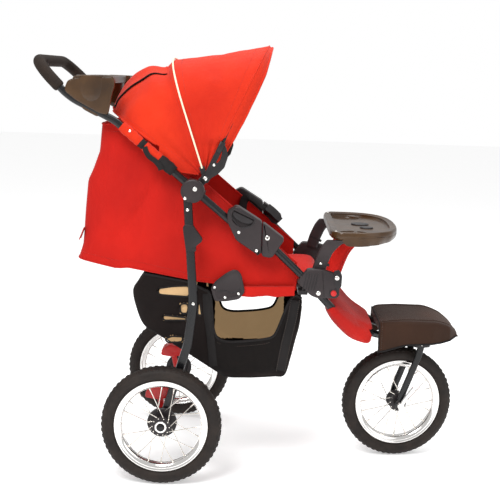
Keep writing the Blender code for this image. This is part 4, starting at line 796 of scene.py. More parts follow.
def makeHub(prefix, centre, heading, body, node, drumSide):
    look = wheelLook
    reach = look["hubLength"] / 2
    inner = reach - 0.005
    flange = inner - 0.0032
    parts = []
    half = [(0.0064, reach), (0.0094, reach), (0.0096, inner + 0.0006), (0.0225, inner), (0.0243, inner - 0.0008),
            (0.0245, flange + 0.0008), (0.0235, flange), (0.0150, flange - 0.0010), (0.0118, flange - 0.0040),
            (0.0112, 0.0)]
    other = [(r, -t) for r, t in reversed(half[:-1])]
    if drumSide < 0:
        half, other = [(r, -t) for r, t in reversed(other)], [(r, -t) for r, t in reversed(half)]
    parts.append(revolve(prefix + "HubShell", half + other, centre, heading, "darkMoulding", 48))
    if drumSide:
        a, b = -drumSide * (inner - 0.004), -drumSide * (reach - 0.0004)
        radius = look["drumRadius"]
        drum = [(0.0100, a), (radius - 0.002, a), (radius, a + (b - a) * 0.2), (radius, b - (b - a) * 0.12),
                (radius - 0.0016, b), (0.0260, b), (0.0240, b - (b - a) * 0.25), (0.0100, b - (b - a) * 0.25)]
        parts.append(revolve(prefix + "Drum", drum, centre, heading, "darkMoulding", 48))
    if drumSide:
        end = drumSide * (reach - 0.0003)
        ring = [(0.0100, end - drumSide * 0.004), (0.0150, end - drumSide * 0.004), (0.0150, end - drumSide * 0.0012),
                (0.0140, end), (0.0104, end)]
        parts.append(revolve(prefix + "HubRing", ring, centre, heading, "chrome", 40))
    units = []
    twist = math.radians(38)
    endRadius = 0.0992
    startRadius = look["hubFlange"] - 0.0030
    for i in (0, 1):
        side = 1 if i else -1
        angle = 2 * math.pi * i / look["spokeCount"]
        lean = angle + side * twist
        start = Vector((startRadius * math.cos(lean), side * (flange + inner) / 2, startRadius * math.sin(lean)))
        end = Vector((endRadius * math.cos(angle), side * 0.0045, endRadius * math.sin(angle)))
        run = (end - start).normalized()
        units.append(rodPiece("spoke", start, end, look["spokeRadius"], look["spokeRadius"], 6, "spokeSteel"))
        units.append(rodPiece("nipple", end - run * 0.011, end + run * 0.0002, look["nippleRadius"] * 0.72,
                              look["nippleRadius"], 8, "spokeSteel"))
        outwards = Vector((0, side, 0))
        units.append(rodPiece("spokeHead", start - outwards * 0.0004, start + outwards * 0.0026, 0.0020, 0.0014, 6,
                              "spokeSteel"))
    parts.append(around(prefix + "Spokes", merge(prefix + "SpokePair", units), look["spokeCount"] // 2, centre,
                        heading, "spokeSteel"))
    hub = merge(prefix + "HubAndSpokes", parts)
    return fit(hub, body, "chrome", node + "_hub_and_spokes")


def rodPiece(name, start, end, radius, endRadius, steps, finish):
    start, end = Vector(start), Vector(end)
    turn = Vector((0, 0, 1)).rotation_difference(end - start)
    rings = []
    for base, size in ((start, radius), (end, endRadius)):
        rings.append([base + turn @ Vector((size * math.cos(2 * math.pi * i / steps),
                                            size * math.sin(2 * math.pi * i / steps), 0.0)) for i in range(steps)])
    return loft(name, rings, finish, angle=50.0)


def makeWheels():
    spots = {
        "leftWheel": (at(0.0, 0.276, axleHeight), 0.0, "left_wheel", "rear_wheel_left", 1),
        "rightWheel": (at(0.0, -0.276, axleHeight), 0.0, "right_wheel", "rear_wheel_right", -1),
        "frontWheel": (None, math.radians(7.9), "front_wheel", "front_wheel", 0),
    }
    for prefix, (centre, heading, body, node, drum) in spots.items():
        if centre is None:
            low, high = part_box(node + "_tyre")
            centre = (low + high) / 2
            centre.z = axleHeight
        makeTyre(prefix, centre, heading, body, node)
        makeRim(prefix, centre, heading, body, node)
        makeHub(prefix, centre, heading, body, node, drum)


makeWheels()
print("wheels ready")


# Rear frame
legLook = {
    "points": ((0.0525, 0.7180), (0.0590, 0.6250), (0.0718, 0.4572), (0.0600, 0.3550), (0.0, 0.0)),
    "middle": 0.2425, "width": 0.022, "thickness": 0.012, "footRadius": 0.0150,
    "clip": ((0.0560, 0.6500), (0.0640, 0.5900)), "railPivot": (0.0718, 0.4572),
}
knuckleLook = {
    "centre": (0.0643, 0.7384), "radius": 0.0292, "thickness": 0.024,
    "rivets": ((0.0703, 0.7440), (0.0465, 0.7206)), "legRivet": (0.0530, 0.6920),
}


def flatPath(points, radii, steps=8):
    return [(point.x, point.z) for point in roundedPath([(x, 0.0, z) for x, z in points], radii, steps)]


def makeRearLeg(name, side):
    look = legLook
    inner = side * (look["middle"] - look["thickness"] / 2)
    outer = side * (look["middle"] + look["thickness"] / 2)
    path = flatPath([*look["points"], (0.0, axleHeight)], (0.6, 0.25, 0.25))
    parts = [flatBar("leg", path, look["width"], inner, outer, "blackPaint", 0.0056)]
    parts.append(moulded("foot", disc((0.0, axleHeight), look["footRadius"]), inner, outer, "blackPaint", 0.0020, 0.0))
    parts.append(rodPiece("railPin", lift(look["railPivot"], outer), lift(look["railPivot"], side * 0.1880), 0.0040,
                          0.0040, 20, "blackPaint"))
    clipOutline = [(0.0420, 0.6480), (0.0470, 0.6560), (0.0660, 0.6560), (0.0720, 0.6470), (0.0905, 0.6226),
                   (0.0905, 0.6150), (0.0751, 0.6021), (0.0760, 0.5890), (0.0510, 0.5890)]
    parts.append(moulded("clip", clipOutline, inner - side * 0.0018, outer + side * 0.0018, "darkMoulding", 0.0016,
                         0.004))
    leg = merge("rearLeg" + name.title(), parts)
    fit(leg, "rear_frame", "black_metal", "rear_leg_" + name)
    heads = rivets("legRivets" + name.title(), [lift(knuckleLook["legRivet"], outer),
                                                lift(look["railPivot"], outer)], side)
    fit(heads, "rear_frame", "chrome")


def makeKnuckle(name, side):
    look = knuckleLook
    low = side * (legLook["middle"] - look["thickness"] / 2)
    high = side * (legLook["middle"] + look["thickness"] / 2)
    body = moulded("shell", disc(look["centre"], look["radius"], 64), low, high, "greyMoulding", 0.0040, 0.0)
    ring = revolve("ring", [(0.0235, 0.0), (0.0241, 0.0007), (0.0252, 0.0007), (0.0258, 0.0)], (0, 0, 0), 0.0,
                   "greyMoulding", 64)
    ring.data.transform(Matrix.Translation(lift(look["centre"], high - side * 0.0004)) @ Matrix.Diagonal(
        (1.0, side, 1.0, 1.0)))
    if side < 0:
        ring.data.flip_normals()
    shell = merge("knuckle" + name.title(), [body, ring])
    fit(shell, "rear_frame", "grey_plastic", "leg_knuckle_" + name)
    heads = rivets("knuckleRivets" + name.title(), [lift(point, high) for point in look["rivets"][1:]], side)
    fit(heads, "rear_frame", "chrome")


pedalLook = {
    "y": 0.205, "halfWidth": 0.024,
    "pad": ((-0.0480, 0.2060), (-0.0440, 0.2260), (-0.0200, 0.2380), (0.0180, 0.2330), (0.0250, 0.2180),
            (0.0150, 0.2060), (-0.0150, 0.2010)),
}


def makePedal(name, side):
    look = pedalLook
    middle = side * look["y"]
    half = look["halfWidth"]
    pad = moulded("pad", look["pad"], middle - half, middle + half, "redMoulding", 0.0035, 0.006)
    collar = revolve("collar", [(0.0100, -0.012), (0.0130, -0.012), (0.0143, -0.0105), (0.0143, 0.0105),
                                (0.0130, 0.012), (0.0100, 0.012)], lift((0.0, axleHeight), middle), 0.0,
                     "redMoulding", 40)
    arm = flatBar("arm", ((-0.0022, axleHeight + 0.0115), (-0.0075, axleHeight + 0.0340),
                          (-0.0120, axleHeight + 0.0570)), 0.014, middle - 0.008, middle + 0.008, "redMoulding", 0.002)
    ribs = []
    for i in range(5):
        share = 0.12 + 0.76 * i / 4
        spot = Vector((-0.0430, 0.2275)).lerp(Vector((0.0150, 0.2345)), share)
        lifted = spot.y + 0.0062 * math.sin(math.pi * min(share * 1.15, 1.0))
        ends = [at(spot.x, middle + end * (half - 0.006), lifted) for end in (-1, 1)]
        ribs.append(rodPiece("rib", ends[0], ends[1], 0.0013, 0.0013, 8, "redMoulding"))
    pedal = merge("brakePedal" + name.title(), [pad, collar, arm] + ribs)
    body = ("left" if side > 0 else "right") + "_brake"
    fit(pedal, body, "red_plastic", "brake_pedal_" + name)


def makeRearAxle():
    tip = 0.276 + 0.047 / 2 + 0.0003
    cap = tip + 0.0052
    half = [(0.0094, 0.0), (0.0094, 0.2362), (0.0060, 0.2362), (0.0060, tip), (0.0084, tip), (0.0086, tip + 0.0012),
            (0.0080, cap - 0.0012), (0.0058, cap - 0.0002), (0.0, cap)]
    profile = [(r, t) for r, t in reversed(half)] + [(r, -t) for r, t in half[1:]]
    axle = revolve("rearAxle", profile, at(0.0, 0.0, axleHeight), 0.0, "blackPaint", 32, closed=False)
    fit(axle, "rear_frame", "black_metal", "rear_axle")


for name, side in sides.items():
    makeRearLeg(name, side)
    makeKnuckle(name, side)
    makePedal(name, side)
makeRearAxle()
print("rear frame ready")


# Handle frame
handleLook = {
    "halfWidth": 0.215, "tubeRadius": 0.0094, "gripRadius": 0.0150,
    "end": (0.1840, 0.6406), "bend": (-0.1325, 0.9030), "rise": (-0.2430, 0.9560), "corner": (-0.3300, 1.0430),
    "radii": (0.09, 0.15, 0.075), "gripStart": 0.0330,
    "hubPivot": (0.0703, 0.7440), "foldPivot": (0.2249, 0.5936), "canopyPivot": (0.0928, 0.7673),
}


def along(start, end, distance, aside=0.0):
    run = (Vector(end) - Vector(start)).normalized()
    return Vector(start) + run * distance + Vector((-run.y, run.x)) * aside


def handlePath(points, radii, steps=18):
    half = handleLook["halfWidth"]
    left = [lift(point, half) for point in points]
    right = [lift(point, -half) for point in reversed(points)]
    return roundedPath(left + right, (*radii, *reversed(radii)), steps)


def makeHandle():
    look = handleLook
    tube = tubeAlong("handleTube", handlePath([look[k] for k in ("end", "bend", "rise", "corner")], look["radii"]),
                     look["tubeRadius"], "blackPaint", 16)
    fit(tube, "handle_frame", "black_metal", "handle_tube")
    start = along(look["rise"], look["corner"], look["gripStart"])
    line = handlePath([start, look["corner"]], (look["radii"][2],), 26)
    lengths = [0.0]
    for a, b in zip(line, line[1:]):
        lengths.append(lengths[-1] + (b - a).length)
    whole = lengths[-1]
    even = []
    count = 260
    k = 0
    for i in range(count + 1):
        goal = whole * i / count
        while k < len(lengths) - 2 and lengths[k + 1] < goal:
            k += 1
        share = (goal - lengths[k]) / max(lengths[k + 1] - lengths[k], 1e-9)
        even.append((goal, line[k].lerp(line[k + 1], share)))
    rings = []
    for i, (goal, point) in enumerate(even):
        tangent = (even[min(i + 1, count)][1] - even[max(i - 1, 0)][1]).normalized()
        side = tangent.cross(Vector((0.5, 0.0, 0.866))).normalized()
        if side.length < 0.1:
            side = Vector((1, 0, 0))
        other = tangent.cross(side).normalized()
        ends = min(goal, whole - goal)
        radius = look["gripRadius"] * (0.80 + 0.20 * min(1.0, (ends / 0.006)) ** 0.5)
        radius -= 0.0003 * (1 + math.sin(goal * 900.0)) * 0.5
        rings.append([point + side * radius * math.cos(a) + other * radius * math.sin(a)
                      for a in (2 * math.pi * k / 24 for k in range(24))])
    grip = loft("handleGrip", rings, "gripFoam")
    fit(grip, "handle_frame", "foam", "handle_grip")


clampLook = {
    "inner": 0.2035, "outer": 0.2266, "halfLength": 0.026, "halfHeight": 0.0165, "earOuter": 0.2119,
    "pinReach": 0.2572,
}
bracketLook = {
    "outline": ((0.0880, 0.7590), (0.0990, 0.7560), (0.1080, 0.7690), (0.1232, 0.7780), (0.1398, 0.7955),
                (0.1476, 0.8211), (0.1440, 0.8420), (0.1370, 0.8560), (0.1315, 0.8530), (0.1330, 0.8330),
                (0.1290, 0.8140), (0.1200, 0.8050), (0.1195, 0.8240), (0.1125, 0.8275), (0.1070, 0.8100),
                (0.1060, 0.7950), (0.0960, 0.7800), (0.0830, 0.7720)),
    "rivets": ((0.1138, 0.8012),), "inner": 0.2172, "outer": 0.2220,
}


def makeClamp(name, side):
    look = clampLook
    line = (handleLook["bend"], handleLook["end"])
    run = (Vector(line[1]) - Vector(line[0])).normalized()
    foot = (Vector(handleLook["hubPivot"]) - Vector(line[0])).dot(run)
    middle = along(*line, foot)
    low, high = side * look["inner"], side * look["outer"]
    hl, hh = look["halfLength"], look["halfHeight"]
    outline = [along(middle, line[1], *pair) for pair in ((-hl, -hh), (hl, -hh), (hl + 0.003, 0.0), (hl, hh),
                                                          (-hl, hh), (-hl - 0.003, 0.0))]
    pivot = handleLook["canopyPivot"]
    parts = [moulded("clampBody", outline, low, high, "greyMoulding", 0.0030, 0.006)]
    parts.append(flatBar("ear", (middle, along(middle, pivot, 0.5 * (Vector(pivot) - middle).length), pivot), 0.020,
                         low, side * look["earOuter"], "greyMoulding", 0.0015))
    parts.append(moulded("boss", disc(pivot, 0.0113, 40), low, side * look["earOuter"], "greyMoulding", 0.0012, 0.0))
    parts.append(rodPiece("pin", lift(handleLook["hubPivot"], high - side * 0.002),
                          lift(handleLook["hubPivot"], side * look["pinReach"]), 0.0039, 0.0039, 20, "rivetSteel"))
    parts.append(rodPiece("canopyPin", lift(pivot, side * 0.2100), lift(pivot, side * 0.2237), 0.0039, 0.0039, 20,
                          "rivetSteel"))
    clamp = merge("hubClamp" + name.title(), parts)
    fit(clamp, "handle_frame", "grey_plastic", "hub_clamp_" + name)
    heads = rivets("clampRivets" + name.title(), [lift(handleLook["hubPivot"], side * 0.2548),
                                                  lift(pivot, side * 0.2224)], side, 0.0058, 0.0020)
    fit(heads, "handle_frame", "chrome")


housingLook = {
    "thickness": 0.039, "split": 0.0125, "edge": 0.0050,
    "rear": ((0.1502, 0.6640), (0.1495, 0.6912), (0.1737, 0.7043)), "rearLow": ((0.2290, 0.5815), (0.1730, 0.6180)),
    "splitTop": 0.6655, "front": ((0.2942, 0.6238), (0.2638, 0.5753)),
    "rivets": ((0.1797, 0.6383), (0.2249, 0.5936)), "screw": (0.2508, 0.6264),
    "lever": ((0.1650, 0.6895), (0.2150, 0.6670)), "leverDrop": 0.0150, "leverDepth": 0.0075,
    "ring": ((0.1850, 0.6500), (0.1970, 0.6495), (0.2110, 0.6560), (0.2195, 0.6650), (0.2170, 0.6735),
             (0.1990, 0.6835), (0.1780, 0.6955), (0.1670, 0.6990), (0.1580, 0.6940), (0.1560, 0.6860),
             (0.1600, 0.6770), (0.1800, 0.6530)),
}


def leverOutline(above, grow=0.0, finger=0.0, steps=16):
    start, end = housingLook["lever"]
    length = (Vector(end) - Vector(start)).length
    depth = housingLook["leverDrop"] + grow + finger
    points = [along(start, end, -grow, above + grow), along(start, end, length + grow, above + grow)]
    for i in range(steps + 1):
        angle = math.pi * i / steps
        points.append(along(start, end, length / 2 + (length / 2 + grow) * math.cos(angle),
                            -depth * math.sin(angle) ** 0.8))
    return points


def makeHousing(name, side):
    look = housingLook
    half = look["thickness"] / 2
    low, high = side * (handleLook["halfWidth"] - half), side * (handleLook["halfWidth"] + half)
    splitX = handleLook["foldPivot"][0] + look["split"]
    pivot = handleLook["foldPivot"]
    rearOutline = [*look["rear"], (splitX - 0.0003, look["splitTop"])]
    for degrees in (0.0, -35.0, -70.0):
        angle = math.radians(degrees)
        rearOutline.append((pivot[0] + (look["split"] - 0.0003) * math.cos(angle),
                            pivot[1] + (look["split"] - 0.0003) * math.sin(angle)))
    rearOutline += look["rearLow"]
    middle = handleLook["halfWidth"]
    shell = moulded("rearShell", rearOutline, half - middle, -half - middle, "greyMoulding", look["edge"], 0.008,
                    steps=5)
    deep = high - side * look["leverDepth"]
    recess = moulded("recess", leverOutline(0.0034, 0.0007, 0.012), -abs(deep), -abs(high) - 0.01, "greyMoulding",
                     0.0008, 0.0)
    tongue = moulded("tongueSlot", [(pivot[0] - 0.0122, pivot[1] - 0.05), (pivot[0] - 0.0122, pivot[1] + 0.0092),
                                    (splitX + 0.01, pivot[1] + 0.0092), (splitX + 0.01, pivot[1] - 0.05)],
                     -middle - 0.0048, 0.0048 - middle, "greyMoulding", 0.0004, 0.0)
    rear = carve(shell, [recess, tongue])
    if side > 0:
        mirror(rear)
    ring = flatBar("leverRing", look["ring"], 0.0026, high - side * 0.0030, high + side * 0.0009, "darkMoulding",
                   0.0008)
    rear = merge("foldHousingRear" + name.title(), [rear, ring])
    fit(rear, "handle_frame", "grey_plastic", "fold_housing_rear_" + name)
    frontOutline = [(splitX + 0.0003, 0.5790), (splitX + 0.0003, look["splitTop"]), *look["front"]]
    front = moulded("frontShell", frontOutline, low, high, "greyMoulding", look["edge"], 0.009, steps=5)
    eye = moulded("eye", disc(pivot, 0.0087, 40), side * handleLook["halfWidth"] - 0.0044,
                  side * handleLook["halfWidth"] + 0.0044, "greyMoulding", 0.0008, 0.0)
    neck = flatBar("neck", ((splitX + 0.003, pivot[1]), (pivot[0] + 0.006, pivot[1])), 0.0172,
                   side * handleLook["halfWidth"] - 0.0044, side * handleLook["halfWidth"] + 0.0044, "greyMoulding",
                   0.0008)
    front = merge("foldHousingFront" + name.title(), [front, eye, neck])
    fit(front, "front_frame", "grey_plastic", "fold_housing_front_" + name)
    heads = rivets("housingRivets" + name.title(), [lift(point, high - side * 0.0006) for point in look["rivets"]],
                   side, 0.0044, 0.0024)
    fit(heads, "handle_frame", "chrome")
    screw = merge("housingScrew" + name.title(), [
        rivets("screwHead", [lift(look["screw"], high - side * 0.0004)], side, 0.0062, 0.0018),
        rivets("screwRing", [lift(look["screw"], high - side * 0.0002)], side, 0.0030, 0.0028, "darkMoulding")])
    fit(screw, "front_frame", "chrome")
    flap = moulded("foldLever" + name.title(), leverOutline(0.0016), deep + side * 0.0007, high - side * 0.0004,
                   "darkMoulding", 0.0016, 0.0, crown=0.0)
    fit(flap, ("left" if side > 0 else "right") + "_fold_lever", "black_plastic", "fold_lever_" + name)


trayLook = {
    "top": 1.010, "back": -0.2400, "front": -0.1520, "halfWidth": 0.190, "depth": 0.020, "corner": 0.022,
    "cupY": 0.1260, "cupRadius": 0.0420, "cupWall": 0.003, "cupDepth": 0.074, "pocketHalf": 0.0700,
    "bracketInner": 0.1990, "bracketOuter": 0.2310,
    "cowl": ((-0.2470, 0.9960), (-0.2340, 1.0020), (-0.2108, 1.0085), (-0.1330, 1.0085), (-0.1310, 0.9893),
             (-0.1390, 0.9612), (-0.1470, 0.9160), (-0.1650, 0.9170), (-0.1850, 0.9270), (-0.2250, 0.9480),
             (-0.2560, 0.9720)),
    "bracket": ((-0.2260, 1.0060), (-0.1600, 1.0060), (-0.1720, 0.9480), (-0.1700, 0.9080), (-0.2140, 0.9300),
                (-0.2200, 0.9600)),
}


# A rounded-square loop at one height
def superLoop(centreX, halfX, halfY, power, z, count=96):
    points = []
    for i in range(count):
        angle = 2 * math.pi * i / count
        c, s = math.cos(angle), math.sin(angle)
        points.append(at(centreX + halfX * boxy(c, power),
                         halfY * boxy(s, power), z))
    return points


def makeParentTray():
    look = trayLook
    middleX = (look["back"] + look["front"]) / 2
    halfX, halfY, top = (look["front"] - look["back"]) / 2, look["halfWidth"], look["top"]
    bottom = top - look["depth"]
    rings = [superLoop(middleX, halfX - inset, halfY - inset, 0.30, z)
             for inset, z in ((0.0060, bottom), (0.0020, bottom + 0.0016), (0.0006, bottom + 0.0060),
                              (0.0, top - 0.0040), (0.0004, top - 0.0016), (0.0020, top - 0.0004), (0.0040, top))]
    body = loft("tray", rings, "trayMoulding")
    parts = []
    cutters = []
    for side in (1, -1):
        cupY = side * look["cupY"]
        outer, deep, wall = look["cupRadius"], look["cupDepth"], look["cupWall"]
        cup = [(0.0, -deep), (outer - 0.0090, -deep), (outer - 0.0058, -deep + 0.0025), (outer - 0.0048, -deep + 0.006),
               (outer - 0.0002, -0.004), (outer - wall, -0.002), (outer - wall - 0.0046, -deep + wall + 0.004),
               (outer - wall - 0.0090, -deep + wall), (0.0, -deep + wall)]
        well = [[at(middleX + r * math.cos(a), cupY + r * math.sin(a), top + z)
                 for a in (2 * math.pi * k / 56 for k in range(56))] for r, z in cup[1:-1]]
        parts.append(loft("cup", well, "trayMoulding"))
        hole = [[at(middleX + r * math.cos(a), cupY + r * math.sin(a), top + z)
                 for a in (2 * math.pi * k / 56 for k in range(56))]
                for r, z in ((outer - wall - 0.0012, -0.03), (outer - wall, 0.004))]
        cutters.append(loft("cupHole", hole, "trayMoulding"))
        outline = [(point.x, point.y) for point in roundCorners(look["bracket"], 0.012)]
        parts.append(moulded("bracket", outline, side * look["bracketInner"], side * (look["bracketOuter"] - 0.0080),
                             "trayMoulding", 0.004, 0.0, steps=5))
        outline = [(point.x, point.y) for point in roundCorners(look["cowl"], 0.010)]
        parts.append(moulded("cowl", outline, side * 0.2140, side * (look["bracketOuter"] - 0.0052),
                             "trayMoulding", 0.004, 0.0, steps=5))
        bulge = []
        for share, wide, deep in ((0.0, 0.0400, 0.0165), (0.10, 0.0404, 0.0168), (0.45, 0.0380, 0.0166),
                                  (0.72, 0.0335, 0.0160), (0.88, 0.0270, 0.0148), (0.97, 0.0180, 0.0125),
                                  (1.0, 0.0090, 0.0105)):
            bulge.append([at(-0.1905 + 0.002 * share + wide * math.cos(a),
                             side * (0.2140 + deep * math.sin(a)), 1.0085 - 0.0620 * share)
                          for a in (2 * math.pi * k / 56 for k in range(56))])
        parts.append(loft("cupBulge", bulge, "trayMoulding", angle=60.0))
        lip = [at(x, side * y, z) for x, y, z in ((-0.2330, 0.2255, 1.0030), (-0.2100, 0.2285, 1.0088),
                                                 (-0.1900, 0.2298, 1.0092), (-0.1650, 0.2280, 1.0090),
                                                 (-0.1360, 0.2250, 1.0082))]
        parts.append(edgeTube("cowlRim", smoothLine(lip, 6), 0.0014, "trayMoulding", 8))
        armRings = []
        for y, drop, wide in ((0.150, 0.0040, 0.030), (0.185, 0.0040, 0.031), (0.205, 0.0035, 0.032),
                              (0.2245, 0.0060, 0.029)):
            armRings.append([at(middleX + wide * boxy(math.cos(a), 0.4), side * y,
                                top - drop - 0.008 + 0.008 * boxy(math.sin(a), 0.5))
                             for a in (2 * math.pi * k / 32 for k in range(32))])
        parts.append(loft("arm", armRings, "trayMoulding"))
    pocket = [superLoop(middleX, halfX - 0.008 - inset, look["pocketHalf"] - inset, 0.28, z)
              for inset, z in ((0.004, bottom + 0.0030), (0.0012, bottom + 0.0050), (0.0, bottom + 0.010),
                               (-0.001, top + 0.004))]
    cutters.append(loft("pocketHole", pocket, "trayMoulding"))
    body = carve(body, cutters)
    tray = merge("parentTray", [body] + parts)
    fit(tray, "handle_frame", "brown_plastic", "parent_tray")


makeHandle()
for name, side in sides.items():
    makeClamp(name, side)
    makeHousing(name, side)
makeParentTray()
print("handle frame ready")


# Canopy
canopyLook = {
    "pivot": (0.0928, 0.7673), "squareness": 2.5, "shoulder": 0.55, "sideChange": (0.100, 0.160),
    "low": 0.2085, "high": 0.2110, "clothStart": 0.020, "cloth": 0.0012, "hem": 0.0034,
    "visor": ((0.0, 0.014), (0.03, 0.017), (0.10, 0.0235), (0.16, 0.0265), (0.22, 0.0260), (0.29, 0.0235),
              (0.33, 0.0160), (0.3615, 0.0090)), "visorRows": 8,
    "wire": (0.2240, 0.2155),
    "frontAngle": 65.0, "frontReach": 0.357, "middleAngle": 108.5, "middleReach": 0.3076, "middleCloth": 0.3029,
    "rearRows": ((113.5, 0.2890), (121.0, 0.3050), (131.0, 0.3050), (140.0, 0.3040), (147.0, 0.2990)),
    "rows": 24, "across": 96, "wrinkle": 0.0056, "seam": 0.0012,
}


def resample(points, count):
    lengths = [0.0]
    for a, b in zip(points, points[1:]):
        lengths.append(lengths[-1] + (b - a).length)
    result = []
    k = 0
    for i in range(count):
        goal = lengths[-1] * i / (count - 1)
        while k < len(lengths) - 2 and lengths[k + 1] < goal:
            k += 1
        share = (goal - lengths[k]) / max(lengths[k + 1] - lengths[k], 1e-9)
        result.append(points[k].lerp(points[k + 1], min(share, 1.0)))
    return result


# Reads a height off a line of (x, value) places
def readLine(points, x):
    for (ax, az), (bx, bz) in zip(points, points[1:]):
        if x <= bx and bx > ax:
            return az + (bz - az) * max(0.0, (x - ax) / (bx - ax))
    return points[-1][1]


def armPoint(x):
    (ax, az), (bx, bz) = handleLook["bend"], handleLook["end"]
    return (x, az + (bz - az) * (x - ax) / (bx - ax))


def ray(degrees):
    return Vector((math.cos(math.radians(degrees)), 0.0, math.sin(math.radians(degrees))))


# One arch of the canopy, from the near pivot over the top to the far one
def bowRow(degrees, reach, low, high, start, shift=0.0, turn=22):
    look = canopyLook
    out = ray(degrees)
    base = lift(look["pivot"], 0.0) + Vector((-out.z, 0.0, out.x)) * shift
    shoulder = look["shoulder"] * reach
    half = [(start, low)]
    half += [(start + (look["sideChange"][0] - start) * i / 4, low) for i in range(1, 5)]
    half += [(look["sideChange"][0] + 0.015 * i, low + (high - low) * i / 4) for i in range(1, 5)]
    power = 2 / look["squareness"]
    for i in range(turn + 1):
        phi = math.pi / 2 * i / turn
        half.append((shoulder + (reach - shoulder) * math.sin(phi) ** power,
                     high * max(math.cos(phi), 0.0) ** power))
    left = [base + out * s + Vector((0, y, 0)) for s, y in half]
    right = [base + out * s - Vector((0, y, 0)) for s, y in reversed(half[:-1])]
    return left + right


# Moves rows of cloth in and out by noise and by how the cloth is pulled
def ruffle(rows, amount, scale, seed, holdEnds=True, pull=None):
    count = len(rows[0])
    result = []
    for r, row in enumerate(rows):
        line = []
        share = r / (len(rows) - 1)
        for k, point in enumerate(row):
            before, after = row[max(k - 1, 0)], row[min(k + 1, count - 1)]
            above, below = rows[max(r - 1, 0)][k], rows[min(r + 1, len(rows) - 1)][k]
            normal = (after - before).cross(below - above)
            normal = normal.normalized() if normal.length > 1e-12 else Vector((0, 0, 0))
            hold = math.sin(math.pi * share) ** 0.6 if holdEnds else 1.0
            spot = Vector((point.x * scale[0], point.y * scale[1], point.z * scale[2])) + Vector((seed, seed * 2, 0))
            height = noise.noise(spot) + 0.45 * noise.noise(spot * 2.3)
            if pull:
                height += pull(share, k / (count - 1))
            line.append(point + normal * height * amount * hold)
        result.append(line)
    return result


# Gives a piece of the canopy a mesh of its own
def squashCanopy(piece):
    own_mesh(piece)


def makeCanopyFront():
    look = canopyLook
    front = resample(bowRow(look["frontAngle"], look["frontReach"] + 0.0045, look["low"], look["high"] + 0.0045,
                            look["clothStart"], 0.0052), look["across"])
    back = resample(bowRow(look["middleAngle"], look["middleCloth"], look["low"], look["high"],
                           look["clothStart"], -look["seam"]), look["across"])
    pivot = lift(look["pivot"], 0.0)
    start, end = look["sideChange"]
    for point in front:
        reach = (point - pivot).dot(ray(look["frontAngle"]))
        if reach < 0.22:
            ramp = min(1.0, max(0.0, (reach - 0.092) / 0.016))
            change = min(1.0, max(0.0, (reach - start) / (end - start)))
            wire = look["wire"][0] + (look["wire"][1] - look["wire"][0]) * change
            point.y += math.copysign(ramp * max(0.0, wire - abs(point.y)), point.y)
    rows = []
    for i in range(look["rows"]):
        share = i / (look["rows"] - 1)
        row = []
        for k, (a, b) in enumerate(zip(front, back)):
            top = math.sin(math.pi * k / (look["across"] - 1)) ** 2
            sag = 1 - 0.015 * math.sin(math.pi * share) * min(1.0, top * 2.5)
            row.append(pivot + (a.lerp(b, share) - pivot) * sag)
        rows.append(row)

    def frontTension(share, across):
        side = abs(across - 0.5) * 2
        return 0.55 * math.sin(share * 17.0 + side * 3.0) * max(0.0, side - 0.45) * 1.6

    rows = ruffle(rows, look["wrinkle"], (13.0, 6.0, 13.0), 3.1, True, frontTension)
    out = ray(look["frontAngle"])
    ahead = Vector((out.z, 0.0, -out.x))
    visor = []
    for step in range(1, look["visorRows"] + 1):
        share = step / look["visorRows"]
        row = []
        for point in rows[0]:
            reach = (point - pivot).dot(out)
            width = readLine(look["visor"], reach)
            inward = 0.017 * share ** 1.7 * min(1.0, abs(point.y) / 0.15)
            drop = 0.10 * width * share * max(0.0, 1 - abs(point.y) / 0.20)
            spot = point + ahead * width * share - Vector((0, math.copysign(inward, point.y), drop))
            wave = noise.noise(Vector((reach * 30.0, point.y * 14.0, share))) * 0.0016 * share
            row.append(spot + Vector((0, math.copysign(wave, point.y), wave)))
        visor.append(row)
    rows = list(reversed(visor)) + rows
    edgeRow = look["visorRows"]
    shell = sheetPiece("canopyFrontCloth", rows, look["cloth"], "canopyCloth")
    hem = edgeTube("canopyHem", smoothLine(rows[0][2:-2], 2), look["hem"], "canopyCloth", 10)
    for i, vertex in enumerate(hem.data.vertices):
        vertex.co += Vector((0, 0, 1)) * 0.0005 * noise.noise(vertex.co * 60.0)
    ridge = edgeTube("canopyRidge", [pivot + (p - pivot) * 1.0006 for p in smoothLine(rows[edgeRow][4:-4], 2)],
                     0.0020, "canopyCloth", 8)
    seams = [stitches("canopyStitch%d" % i, [pivot + (p - pivot) * 1.0028 for p in smoothLine(rows[r][5:-5], 2)],
                      "thread", 0.0050) for i, r in enumerate((edgeRow + 3, len(rows) - 3))]
    piece = merge("canopyFront", [shell, hem, ridge] + seams)
    fit(piece, "canopy_front_hoop", "red_fabric", "canopy_front")
    squashCanopy(piece)


